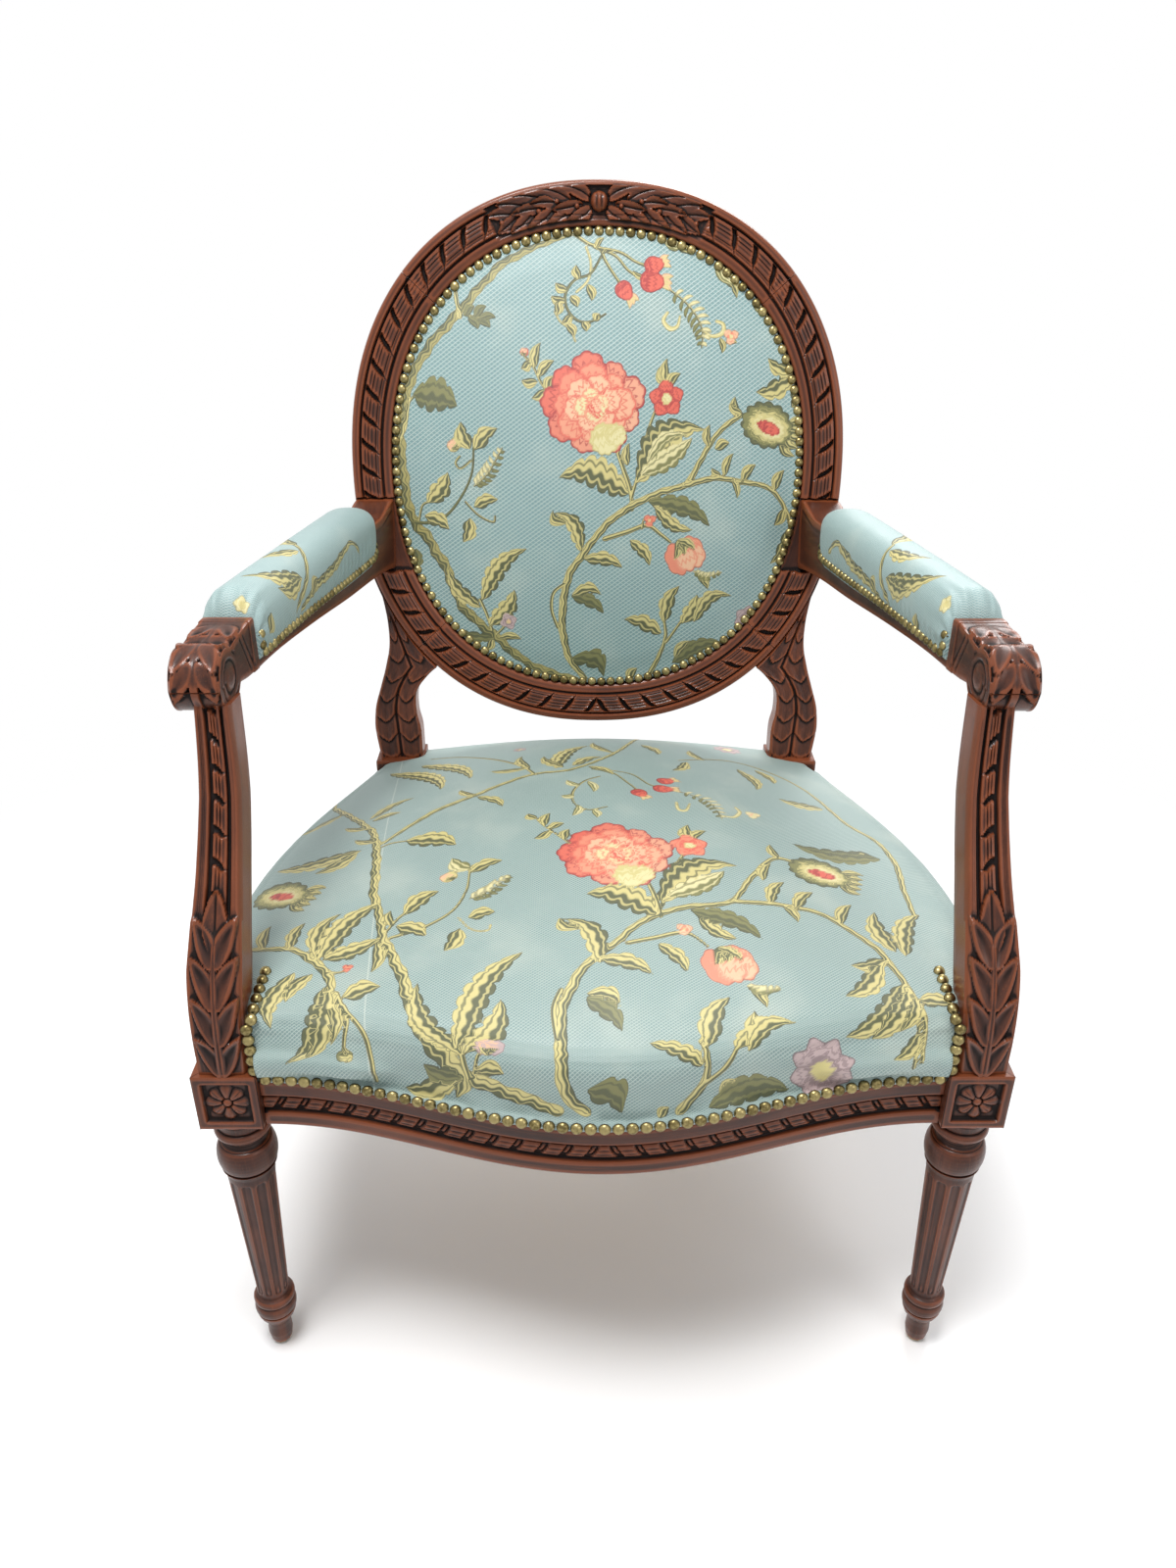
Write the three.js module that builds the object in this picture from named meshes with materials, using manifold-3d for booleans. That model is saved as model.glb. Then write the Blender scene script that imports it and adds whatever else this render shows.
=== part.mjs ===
// A neoclassical open armchair: carved walnut frame, oval upholstered back, stuffed seat and arm pads.
// Millimetres, +Z up, the front of the chair faces -Y. Left is -X and right is +X, seen from the front.
// While it is built, the front legs stand on the line y = 0; the finished chair is centred on its box.
import * as THREE from "three";
import { mergeVertices } from "three/addons/utils/BufferGeometryUtils.js";
import Module from "manifold-3d";

const wasm = await Module();
wasm.setup();

// Overall sizes
const frontLegSpacing = 600; // between the axes of the front legs
const rearLegSpacing = 448; // between the axes of the rear legs
const seatFrameDepth = 485; // from the front leg axes to the rear leg axes
const railTop = 341; // height of the top of the seat rails
const railHeight = 52;
const railThickness = 32;
const frontRailBow = 54; // how far the middle of the front rail stands forward of its ends
const sideRailBow = 33; // how far the middle of a side rail stands out of the straight line
const sideRailSkew = 0.88; // below 1, the fullest part of the side lies ahead of its middle
const backTilt = 9.5; // degrees that the back leans from upright

// Joints and fits
const gap = 0.3; // between pieces that touch
const weld = 0.001; // points of one solid that lie closer than this are one point
const overrun = 3; // how far a cutting solid runs past the face that it cuts
const tenonThickness = 12;
const tenonHeight = 34;
const tenonLength = 22;
const dowelRadius = 6;
const dowelLength = 16;

// Front legs
const frontBlockWidth = 52;
const frontBlockHeight = 55;
const frontBlockTop = 347;
const railSetback = 6; // of the rail's face behind the block's face
const legRadius = 25; // at the widest turning
const shaftBottom = 67;
const shaftTop = 215;
const shaftBottomRadius = 14;
const shaftTopRadius = 19.9;
const fluteCount = 10;
const fluteDepth = 2.4;
const fluteEnd = 7; // the length in which a flute runs out
const fluteStop = 6; // plain wood between a flute's end and the turning
const panelInset = 7; // from the block's edge to the sunk panel
const panelDepth = 4;
const rosetteRadius = 17.5;
const rosetteHeight = 3.2;
const rosettePetals = 8;
const rosetteNotchShare = 0.62; // radius between two petals, as a share of the rosette's
const pointsPerPetal = 3;

// Glides
const glideRadius = 8;
const glideHeight = 3;
const glidePinRadius = 1.5;
const glidePinLength = 14;
const pinClearance = 0.3;
const glideFootShare = 0.7; // radius of the glide where it touches the floor
const glideEdgeShare = 0.5; // height at which the glide reaches its full radius

// Rear legs
const rearBlockWidth = 54;
const rearBlockDepth = 44;
const rearBlockTop = 372;
const rearRake = 48; // how far the rear feet stand behind their blocks
const rearRailThickness = 28;

// Rail moulding
const railMouldingDepth = 7; // from the deepest groove to the proudest bead
const coverRabbetHeight = 9; // the step at the top of a rail that takes the cover's edge
const coverRabbetDepth = 4;

// Oval back
const ovalHalfWidth = 259.5;
const ovalHalfHeight = 276.7;
const ovalFootHeight = 41.3; // from the blocks of the rear legs to the oval, along the back
const ovalFullness = 2.215; // 2 is a true ellipse, and more is a squarer oval
const ringWidth = 62;
const ringThickness = 32;
const ledgeWidth = 20; // of the ledge inside the moulding that the covers are nailed to
const ledgeDrop = 5; // of the front ledge below the moulding's inner edge
const rearLedgeDrop = 4;
const joinAngle = 48; // degrees from the vertical axis to the joints of the ring
const ringTenonLength = 16;
const ringTenonWidth = 26;
const ringTenonThickness = 10;

// Stiles under the oval
const stileThickness = 30;
const stileBevel = 3;
const stileRunOut = 109.8; // degrees from the top of the oval to where a stile's outer line meets it
const stileReach = 77; // from its outermost to its innermost point

// Arms
const armSpacing = 597; // between the middles of the two scrolls
const armRearInset = 16.2; // from the oval's outer edge to the middle of the arm's rear end
const armCurve = 1.15; // 1 is a straight arm in plan, and more bows it outwards
const armWidth = 38;
const armRearWidth = 40;
const armTop = 668; // at the scroll's collar
const armThickness = 42; // at the collar
const padBedDrop = 14; // from the collar down to the bed of the pad
const padBedFall = 7; // how much lower the bed lies at the back
const armFall = 33; // how much lower the underside lies at the back
const scrollRadius = 24.5;
const scrollCentreY = 80;
const scrollDrop = 26; // from the collar down to the scroll's centre
const scrollStart = 60; // degrees round the scroll, from straight back and upwards
const scrollEnd = 330;
const collarY = 130;
const collarLength = 9;
const armFlare = 20; // how much the rear end grows above and below the arm
const armFlareLength = 60; // the length in which it does
const flareRiseShare = 0.25; // of the flare, above the bed at the pad's end
const flareFallShare = 0.3; // of the flare, above its lowest point where it starts
const armEdge = 3; // bevel of the arm's edges
const armHousing = 8; // the flat on the ring, ahead of its middle plane, that takes the arm
const armHousingPlay = 1.8; // how much taller the flat is than the arm
const armTenonWidth = 12;
const armTenonHeight = 28;
const armTenonLength = 12;

// Arm posts
const postWidth = 42;
const postDepth = 38;
const postHeadSpacing = 573; // between the middles of the two posts under their scrolls
const postLeafHeight = 96;
const postLeafProud = 4;
const postChannelDepth = 3.5;
const postSeatShare = 0.9; // of the scroll's radius, from its centre down to the post's head

// Upholstery
const padHeight = 35;
const padRearHeight = 16;
const padWidth = 50;
const padEnd = 26; // the length in which a pad's end rounds off
const padStop = 32; // from a pad's rear end to the back
const seatSide = 62; // height of the seat's upright sides above the front rail
const seatRearSide = 27; // their height at the rear corners
const seatRearRise = 20; // how much higher the rear edge is in its middle
const seatFall = 1.5; // 1 is an even fall from front to rear, and more keeps the front high
const seatCrown = 42; // height of the seat's crown above its sides
const seatProud = 1.5; // how far the seat's cover stands out of the rail's face
const notchGap = 1.2; // between the seat and the legs or stiles that it is cut around
const coverClearance = 1.2; // between the edges of the back's covers and the moulding
const backCrown = 34;
const backEdgeHeight = 11;
const outerCoverThickness = 7;
const strapWidth = 58;
const strapThickness = 1.6;
const strapLift = 1.1; // how far a strap rises and dips where it is woven
const strapCount = 5;
const backStrapWidth = 50;
const backStrapCount = 3;
const hessianThickness = 1;
const strapSeat = 18; // how far a strap lies on the rail
const backStrapSeat = 10.8; // how far a strap lies on the ledge of the back
const backStrapReachShare = 0.62; // of the opening, that the back's straps spread over
const strapEdgeShare = 0.9; // of the opening's half, past which no strap's edge lies

// Corner blocks glued inside the seat frame
const cornerBlockReach = 62;
const cornerBlockHeight = 36;

// Crest of the back: two leafy sprigs that cross under a ball
const crestReach = 118; // from its middle to the tips
const crestBallRadius = 8.5;
const crestLeafLength = 31;
const crestLeafWidth = 13;
const crestLeafProud = 4; // of the moulding's face
const crestLeafCount = 5; // in each of a sprig's two rows

// Outlines, as shares of the sizes that they follow
const leafOutlineShares = [
  // share of a leaf's length from its stem, share of its half width
  [0, 0.15], [0.25, 0.75], [0.5, 1], [0.8, 0.55], [1, 0], [0.8, -0.55], [0.5, -1], [0.25, -0.75],
  [0, -0.15],
];
const crestRowShares = [0.42, 0.1, 0.58, 0.92]; // of the moulding's width: the two rows' stems and tips
const crestStepShares = [0.1, 0.78]; // of the crest's reach: where the first and last leaf start
const ringRearShares = [[0.08, -1], [0, -0.8]]; // the rounded rear edge, in the terms of ringFaceShares
const armPadShares = [
  // share of the pad's width from its middle, share of its height
  [-0.42, 0], [-0.5, 0.18], [-0.5, 0.45], [-0.42, 0.76], [-0.22, 0.95], [0, 1],
  [0.22, 0.95], [0.42, 0.76], [0.5, 0.45], [0.5, 0.18], [0.42, 0],
];
const padEndShares = [0, 0.25, 0.6, 1]; // of the length in which a pad's end rounds off
const padEndFillShare = 0.45; // height of the pad's very end
const padEndWidthShare = 0.8;
const backEdgeShares = [[0, 0.4], [0.35, 0.85]]; // of the back pad's edge height: inwards, forwards
const outerCoverShares = [[0, 0.5], [1, 0.7]]; // of the ledge inwards, of the drop and thickness
const legTurningShares = [
  // share of the leg's height, share of its widest radius
  [1, 0.82], [0.975, 0.96], [0.955, 0.93], [0.936, 0.68], [0.9, 0.62], [0.879, 0.66],
  [0.866, 0.82], [0.848, 0.88], [0.812, 1], [0.772, 0.97], [0.746, 0.88], [0.73, 0.76],
];
const footTurningShares = [
  [0.228, 0.54], [0.222, 0.69], [0.21, 0.73], [0.198, 0.69], [0.19, 0.74], [0.158, 0.74],
  [0.138, 0.68], [0.093, 0.42], [0.04, 0.44], [0, 0.36],
];
const fluteShares = [0.24, 0.36, 0.64, 0.76]; // of a flute's pitch: where its walls begin and end
const railFaceShares = [
  // share of the rail's height up from its bottom, share of the moulding's depth outwards
  [0, 0.55], [0.05, 0.8], [0.2, 0.8], [0.26, 0.2], [0.31, 0.6], [0.44, 1], [0.57, 0.6],
  [0.62, 0], [0.67, 0.8], [0.8, 0.95],
];
const ringFaceShares = [
  // share of the moulding's width from the outer edge, share of the half thickness forwards
  [0, 0.55], [0.05, 0.86], [0.18, 0.95], [0.22, 0.72], [0.28, 0.9], [0.48, 1.06],
  [0.68, 0.9], [0.75, 0.7], [1, 0.62],
];
const stileOuterShares = [
  // share of the stile's height, share of its reach inwards from the line from block to ring
  [0, 0.06], [0.12, 0], [0.19, -0.01], [0.28, 0.01], [0.39, 0.09], [0.5, 0.175], [0.62, 0.227],
  [0.8, 0.174], [1, 0.03],
];
const stileInnerShares = [
  [0, 0.68], [0.15, 0.66], [0.24, 0.6], [0.33, 0.6], [0.39, 0.65], [0.46, 0.82], [0.5, 0.965],
];
const postLineShares = [
  // share of the post's height, share of its backward sweep
  [0, 0], [0.12, 0.01], [0.22, 0.07], [0.34, 0.24], [0.48, 0.48], [0.62, 0.7], [0.78, 0.88],
  [1, 1],
];
const postWidthShares = [
  // share of the post's height, share of its greatest width
  [0, 0.9], [0.12, 0.95], [0.28, 1], [0.36, 0.93], [0.5, 0.82], [0.7, 0.74], [1, 0.6],
];
const postLeanShares = [
  // share of the post's height, share of the way inwards from its foot to its head
  [0, 0], [0.28, 0.2], [0.5, 0.6], [0.7, 0.9], [1, 1],
];
const postFaceShares = [
  // share of the post's half width outwards, share of the channel's depth forwards
  [1, -0.7], [0.93, 0], [0.5, 0], [0.45, -1], [0.34, -1], [0.3, -0.25], [-0.04, 0.1],
  [-0.38, -0.25], [-0.42, -1], [-0.53, -1], [-0.58, 0], [-0.82, -0.1], [-1, -1],
];
const leafFaceShares = [
  [1, -0.6], [0.97, 0.4], [0.7, 0.75], [0.5, 0.6], [0.34, 0.55], [0.14, 0.9], [0, 1],
  [-0.14, 0.9], [-0.34, 0.55], [-0.5, 0.6], [-0.7, 0.75], [-0.97, 0.4], [-1, -0.6],
];
const seatSideShares = [
  // share of the seat's half breadth left, share of the side's height
  [1, 0.35], [0.998, 0.6], [0.98, 0.84], [0.945, 1],
];
const crownShares = [0.88, 0.74, 0.55, 0.3]; // shares of the half breadth at the crown's rings
const armUndersideShares = [
  // share of the way from the scroll to the back, share of the arm's fall
  [0.12, 0.02], [0.25, 0.12], [0.45, 0.4], [0.65, 0.72], [0.82, 0.93],
];

// Derived places
const legHeight = frontBlockTop - frontBlockHeight;
const frontX = frontLegSpacing / 2;
const rearX = rearLegSpacing / 2;
const railBottom = railTop - railHeight;
const frontEndX = frontX - frontBlockWidth / 2;
const frontFaceY = -(frontBlockWidth / 2 - railSetback);
const sideFrontY = frontBlockWidth / 2;
const sideRearY = seatFrameDepth - rearBlockDepth / 2;
const sideFrontX = frontX + frontBlockWidth / 2 - railSetback;
const sideRearX = rearX + rearBlockWidth / 2 - railSetback;
const rearFaceY = seatFrameDepth + rearBlockDepth / 2 - railSetback / 2;
const mouldingWidth = ringWidth - ledgeWidth;
const ringFront = ringThickness / 2;
const ovalCentreHeight = ovalFootHeight + ovalHalfHeight; // above the blocks, along the back
const scrollCentreZ = armTop - scrollDrop;
const frontLedge = ringFront * ringFaceShares.at(-1)[1] - ledgeDrop;
const rearLedge = -ringFront + rearLedgeDrop;
const strapBed = railTop + gap;
const strapMiddle = strapBed + strapThickness / 2 + strapLift + gap;
const hessianBottom = strapMiddle + strapLift + strapThickness / 2 + gap;
const seatBottom = hessianBottom + hessianThickness + gap;

// Resolution of curved forms
const turnSides = 14;
const glideSides = 10;
const clearanceSteps = 8;
const frontRailSteps = 14;
const sideRailSteps = 10;
const ringSteps = 48;
const rearEdgeSteps = 8;
const scrollSteps = 20;
const postSteps = 12;

const material = (colour, roughness, metalness = 0) =>
  new THREE.MeshStandardMaterial({ color: colour, roughness, metalness });
const walnut = material(0x5a2d1c, 0.4);
const frameBeech = material(0x8a6240, 0.75);
const brocade = material(0x86aeb0, 0.8);
const jute = material(0xb39a6d, 0.95);
const hessianCloth = material(0x9c8257, 0.95);
const brass = material(0xb59f70, 0.35, 1);

const rad = THREE.MathUtils.degToRad;
const halfTurn = 180;
const point = (x, y, z) => new THREE.Vector3(x, y, z);

// Solids

function solidOf(geometry) {
  const bare = new THREE.BufferGeometry();
  const source = geometry.index ? geometry.toNonIndexed() : geometry;
  bare.setAttribute("position", source.getAttribute("position"));
  const merged = mergeVertices(bare, weld);
  const mesh = new wasm.Mesh({
    numProp: 3,
    vertProperties: merged.attributes.position.array,
    triVerts: new Uint32Array(merged.index.array),
  });
  return new wasm.Manifold(mesh);
}

function geometryOf(solid) {
  const mesh = solid.getMesh();
  const geometry = new THREE.BufferGeometry();
  geometry.setAttribute("position", new THREE.BufferAttribute(mesh.vertProperties, 3));
  geometry.setIndex(new THREE.BufferAttribute(mesh.triVerts, 1));
  return geometry;
}

// Joins solids into one and cuts others out of it.
function carve(added, removed = []) {
  let solid = solidOf(added[0]);
  for (const piece of added.slice(1)) solid = solid.add(solidOf(piece));
  for (const piece of removed) solid = solid.subtract(solidOf(piece));
  return geometryOf(solid);
}

function signedVolume(positions, index) {
  const corner = (i) => new THREE.Vector3().fromArray(positions, index[i] * 3);
  let volume = 0;
  for (let i = 0; i < index.length; i += 3) {
    volume += corner(i).dot(corner(i + 1).cross(corner(i + 2)));
  }
  return volume;
}

// A closed solid through sections, each a list of the same number of points. The end sections
// are closed with the triangles of the flat outline that the sections follow.
function loft(sections, outline) {
  const count = outline.length;
  const positions = sections.flat().flatMap((p) => [p.x, p.y, p.z]);
  const index = [];
  for (let s = 0; s < sections.length - 1; s += 1) {
    for (let i = 0; i < count; i += 1) {
      const a = s * count + i;
      const b = s * count + ((i + 1) % count);
      index.push(a, b, b + count, a, b + count, a + count);
    }
  }
  const clockwise = THREE.ShapeUtils.isClockWise(outline);
  const faces = THREE.ShapeUtils.triangulateShape(clockwise ? [...outline].reverse() : outline, []);
  const last = (sections.length - 1) * count;
  for (const face of faces) {
    const [a, b, c] = face.map((i) => (clockwise ? count - 1 - i : i));
    if (clockwise) index.push(a, b, c, last + a, last + c, last + b);
    else index.push(a, c, b, last + a, last + b, last + c);
  }
  if (signedVolume(positions, index) < 0) index.reverse();
  const geometry = new THREE.BufferGeometry();
  geometry.setAttribute("position", new THREE.Float32BufferAttribute(positions, 3));
  geometry.setIndex(index);
  return geometry;
}

// A closed solid from rings of points, with a point at either end.
function capped(rings, bottom, top) {
  const count = rings[0].length;
  const all = [...rings.flat(), bottom, top];
  const positions = all.flatMap((p) => [p.x, p.y, p.z]);
  const index = [];
  const last = (rings.length - 1) * count;
  for (let i = 0; i < count; i += 1) {
    const next = (i + 1) % count;
    for (let r = 0; r < rings.length - 1; r += 1) {
      const a = r * count + i;
      const b = r * count + next;
      index.push(a, b, b + count, a, b + count, a + count);
    }
    index.push(all.length - 2, next, i, all.length - 1, last + i, last + next);
  }
  if (signedVolume(positions, index) < 0) index.reverse();
  const geometry = new THREE.BufferGeometry();
  geometry.setAttribute("position", new THREE.Float32BufferAttribute(positions, 3));
  geometry.setIndex(index);
  return geometry;
}

function box(width, depth, height, x, y, z) {
  return new THREE.BoxGeometry(width, depth, height).translate(x, y, z);
}

function upright(radius, bottom, top, x = 0, y = 0) {
  const height = top - bottom;
  return new THREE.CylinderGeometry(radius, radius, height, turnSides)
    .rotateX(Math.PI / 2)
    .translate(x, y, bottom + height / 2);
}

function alongX(radius, from, to, y, z, sides = scrollSteps) {
  return new THREE.CylinderGeometry(radius, radius, to - from, sides)
    .rotateZ(Math.PI / 2)
    .translate((from + to) / 2, y, z);
}

// The value at a place between the rows [place, value] of a table, by straight steps.
function between(table, place) {
  const next = table.findIndex(([at]) => at >= place);
  if (next <= 0) return next === 0 ? table[0][1] : table.at(-1)[1];
  const [fromAt, from] = table[next - 1];
  const [toAt, to] = table[next];
  return THREE.MathUtils.lerp(from, to, (place - fromAt) / (toAt - fromAt));
}

const steps = (count) => Array.from({ length: count + 1 }, (_, i) => i / count);

// Lines of the seat frame in plan

function frontFace(x) {
  const share = Math.min(Math.abs(x) / frontEndX, 1);
  return frontFaceY - frontRailBow * (0.5 + 0.5 * Math.cos(Math.PI * share));
}

function sideFace(y) {
  const share = THREE.MathUtils.clamp((y - sideFrontY) / (sideRearY - sideFrontY), 0, 1);
  const straight = THREE.MathUtils.lerp(sideFrontX, sideRearX, share);
  return straight + sideRailBow * Math.sin(Math.PI * share ** sideRailSkew);
}

// Outline of a moulded rail in section: outwards from its face line, and up.
function railSection(grow = 0) {
  const face = railFaceShares.map(([up, out]) =>
    new THREE.Vector2((out - 1) * railMouldingDepth + grow, railBottom + up * railHeight));
  const rabbet = railTop - coverRabbetHeight;
  return [
    ...face,
    new THREE.Vector2(grow, rabbet),
    new THREE.Vector2(grow - coverRabbetDepth, rabbet),
    new THREE.Vector2(grow - coverRabbetDepth, railTop + grow),
    new THREE.Vector2(-railThickness - grow, railTop + grow),
    new THREE.Vector2(-railThickness - grow, railBottom - grow),
    new THREE.Vector2(face[0].x, railBottom - grow),
  ].filter((p, i, all) => i === 0 || p.distanceTo(all[i - 1]) > gap / 10);
}

function frontRailBody(grow = 0) {
  const outline = railSection(grow);
  const end = frontEndX - gap;
  const sections = steps(frontRailSteps).map((share) => {
    const x = THREE.MathUtils.lerp(-end, end, share);
    return outline.map((p) => point(x, frontFace(x) - p.x, p.y));
  });
  return loft(sections, outline);
}

function sideRailBody(side, grow = 0) {
  const outline = railSection(grow);
  const sections = steps(sideRailSteps).map((share) => {
    const y = THREE.MathUtils.lerp(sideFrontY + gap, sideRearY - gap, share);
    return outline.map((p) => point(side * (sideFace(y) + p.x), y, p.y));
  });
  return loft(sections, outline);
}

// Tenons of the seat rails. Grown by the gap, the same boxes cut the mortises.
const tenonZ = (railTop - coverRabbetHeight + railBottom) / 2;

function frontTenon(side, grow = 0) {
  const y = frontFaceY + railThickness / 2;
  const length = tenonLength + overrun + grow;
  const x = side * (frontEndX - overrun + length / 2);
  return box(length, tenonThickness + grow * 2, tenonHeight + grow * 2, x, y, tenonZ);
}

function sideFrontTenon(side, grow = 0) {
  const length = tenonLength + overrun + grow;
  const x = side * (sideFrontX - railThickness / 2);
  const y = sideFrontY + overrun - length / 2;
  return box(tenonThickness + grow * 2, length, tenonHeight + grow * 2, x, y, tenonZ);
}

function sideRearTenon(side, grow = 0) {
  const length = tenonLength / 2 + overrun + grow;
  const x = side * (sideRearX - railThickness / 2);
  const y = sideRearY - overrun + length / 2;
  return box(tenonThickness + grow * 2, length, tenonHeight + grow * 2, x, y, tenonZ);
}

const rearRailY = rearFaceY - rearRailThickness / 2;

function rearTenon(side, grow = 0) {
  const length = tenonLength + overrun + grow;
  const x = side * (rearX - rearBlockWidth / 2 - overrun + length / 2);
  return box(length, tenonThickness + grow * 2, tenonHeight + grow * 2, x, rearRailY, tenonZ);
}

function frontRail() {
  return carve([frontRailBody(), frontTenon(-1), frontTenon(1)]);
}

function sideRail(side) {
  return carve([sideRailBody(side), sideFrontTenon(side), sideRearTenon(side)]);
}

function rearRail() {
  const length = rearLegSpacing - rearBlockWidth - gap * 2;
  const bar = box(length, rearRailThickness, railHeight, 0, rearRailY, railTop - railHeight / 2);
  const step = box(length + overrun, coverRabbetDepth * 2, coverRabbetHeight * 2, 0, rearFaceY, railTop);
  return carve([carve([bar], [step]), rearTenon(-1), rearTenon(1)]);
}

// Legs, built about an axis at x = 0, y = 0

function turning(shares) {
  const foot = glideHeight + gap;
  const profile = shares.map(([up, out]) =>
    new THREE.Vector2(out * legRadius, foot + up * (legHeight - foot)));
  const closed = [
    new THREE.Vector2(0, profile[0].y),
    ...profile,
    new THREE.Vector2(0, profile.at(-1).y),
  ];
  closed.reverse();
  return new THREE.LatheGeometry(closed, turnSides).rotateX(Math.PI / 2);
}

function fluteRing(radius, depth, z) {
  const ring = [];
  for (let flute = 0; flute < fluteCount; flute += 1) {
    fluteShares.forEach((share, i) => {
      const angle = ((flute + share - 0.5) / fluteCount) * Math.PI * 2 - Math.PI / 2;
      const deep = i === 1 || i === 2 ? depth : 0;
      ring.push(point(Math.cos(angle) * (radius - deep), Math.sin(angle) * (radius - deep), z));
    });
  }
  return ring;
}

function flutedShaft() {
  const radiusAt = (z) =>
    THREE.MathUtils.mapLinear(z, shaftBottom, shaftTop, shaftBottomRadius, shaftTopRadius);
  const levels = [
    [shaftBottom - overrun, 0],
    [shaftBottom + fluteStop / 2, 0],
    [shaftBottom + fluteStop / 2 + fluteEnd, fluteDepth],
    [shaftTop - fluteStop - fluteEnd, fluteDepth],
    [shaftTop - fluteStop, 0],
    [shaftTop + overrun, 0],
  ];
  const rings = levels.map(([z, depth]) => fluteRing(radiusAt(z), depth, z));
  const outline = rings[0].map((p) => new THREE.Vector2(p.x, p.y));
  return loft(rings, outline);
}

function turnedLeg() {
  return carve([turning(legTurningShares), flutedShaft(), turning(footTurningShares)]);
}

// A rosette of rounded petals, standing on the plane z = 0.
function rosette() {
  const shape = new THREE.Shape();
  const points = rosettePetals * pointsPerPetal;
  for (let i = 0; i < points; i += 1) {
    const angle = (i / points) * Math.PI * 2;
    const lobe = Math.abs(Math.cos((angle * rosettePetals) / 2));
    const radius = rosetteRadius * THREE.MathUtils.lerp(rosetteNotchShare, 1, lobe);
    const x = Math.cos(angle) * radius;
    const y = Math.sin(angle) * radius;
    if (i === 0) shape.moveTo(x, y);
    else shape.lineTo(x, y);
  }
  return new THREE.ExtrudeGeometry(shape, {
    depth: rosetteHeight + overrun,
    bevelEnabled: false,
  }).translate(0, 0, -overrun);
}

// The square block over a front leg, with a sunk panel and rosette in its two outer faces.
function frontBlock(side) {
  const half = frontBlockWidth / 2;
  const middle = frontBlockTop - frontBlockHeight / 2;
  const opening = frontBlockWidth - panelInset * 2;
  const high = frontBlockHeight - panelInset * 2;
  const body = box(frontBlockWidth, frontBlockWidth, frontBlockHeight, 0, 0, middle);
  const front = box(opening, panelDepth * 2, high, 0, -half, middle);
  const outer = box(panelDepth * 2, opening, high, side * half, 0, middle);
  const frontRosette = rosette().rotateX(Math.PI / 2).translate(0, -half + panelDepth, middle);
  const outerRosette = rosette()
    .rotateY((side * Math.PI) / 2)
    .translate(side * (half - panelDepth), 0, middle);
  return carve([carve([body], [front, outer]), frontRosette, outerRosette]);
}

function frontLeg(side) {
  const shift = -side * frontX;
  const mortises = [frontTenon(side, gap), sideFrontTenon(side, gap)].map((tenon) =>
    tenon.translate(shift, 0, 0));
  const socket = upright(dowelRadius + gap, frontBlockTop - dowelLength - gap, frontBlockTop + overrun);
  return carve([turnedLeg(), frontBlock(side)], [...mortises, socket, glideHole()]);
}

function glideHole(y = 0) {
  const top = glideHeight + glidePinLength + pinClearance;
  return upright(glidePinRadius + pinClearance, glideHeight - overrun, top, 0, y);
}

function glide() {
  const profile = [
    new THREE.Vector2(0, 0),
    new THREE.Vector2(glideRadius * glideFootShare, 0),
    new THREE.Vector2(glideRadius, glideHeight * glideEdgeShare),
    new THREE.Vector2(glideRadius, glideHeight),
    new THREE.Vector2(glidePinRadius, glideHeight),
    new THREE.Vector2(glidePinRadius, glideHeight + glidePinLength),
    new THREE.Vector2(0, glideHeight + glidePinLength),
  ];
  return new THREE.LatheGeometry(profile, glideSides).rotateX(Math.PI / 2);
}

// Leans a leg back from its block, keeping every level section flat.
function rake(geometry) {
  const lean = -rearRake / legHeight;
  const matrix = new THREE.Matrix4().makeShear(0, 0, 0, 0, 0, 0);
  matrix.elements[9] = lean;
  matrix.elements[13] = -lean * legHeight;
  return geometry.applyMatrix4(matrix);
}

// Frame of the oval back, built in its own plane: x across, z up along the back, -y forwards

const backPlane = new THREE.Matrix4()
  .makeTranslation(0, seatFrameDepth, rearBlockTop)
  .multiply(new THREE.Matrix4().makeRotationX(-rad(backTilt)));

// A point of the ring, at an angle from the top, so far inwards from its outer edge.
function ovalPoint(angle, inwards, forwards) {
  const full = (share) => Math.sign(share) * Math.abs(share) ** (2 / ovalFullness);
  return point(
    full(Math.sin(angle)) * (ovalHalfWidth - inwards),
    -forwards,
    ovalCentreHeight + full(Math.cos(angle)) * (ovalHalfHeight - inwards),
  );
}

function ringSection() {
  const face = ringFaceShares.map(([across, forward]) =>
    new THREE.Vector2(across * mouldingWidth, forward * ringFront));
  return [
    ...face,
    new THREE.Vector2(mouldingWidth, frontLedge),
    new THREE.Vector2(ringWidth, frontLedge),
    new THREE.Vector2(ringWidth, rearLedge),
    new THREE.Vector2(mouldingWidth, rearLedge),
    new THREE.Vector2(mouldingWidth, -ringFront),
    ...ringRearShares.map(([across, forward]) =>
      new THREE.Vector2(across * mouldingWidth, forward * ringFront)),
  ];
}

// A stretch of the moulded ring between two angles, in degrees from the top.
function ringStretch(from, to) {
  const outline = ringSection();
  const count = Math.max(2, Math.round((Math.abs(to - from) / 360) * ringSteps));
  const sections = steps(count).map((share) => {
    const angle = rad(THREE.MathUtils.lerp(from, to, share));
    return outline.map((p) => ovalPoint(angle, p.x, p.y));
  });
  return loft(sections, outline);
}

// The angle that the gap takes up along the ring.
const gapAngle = THREE.MathUtils.radToDeg(gap / ovalHalfWidth);

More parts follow.
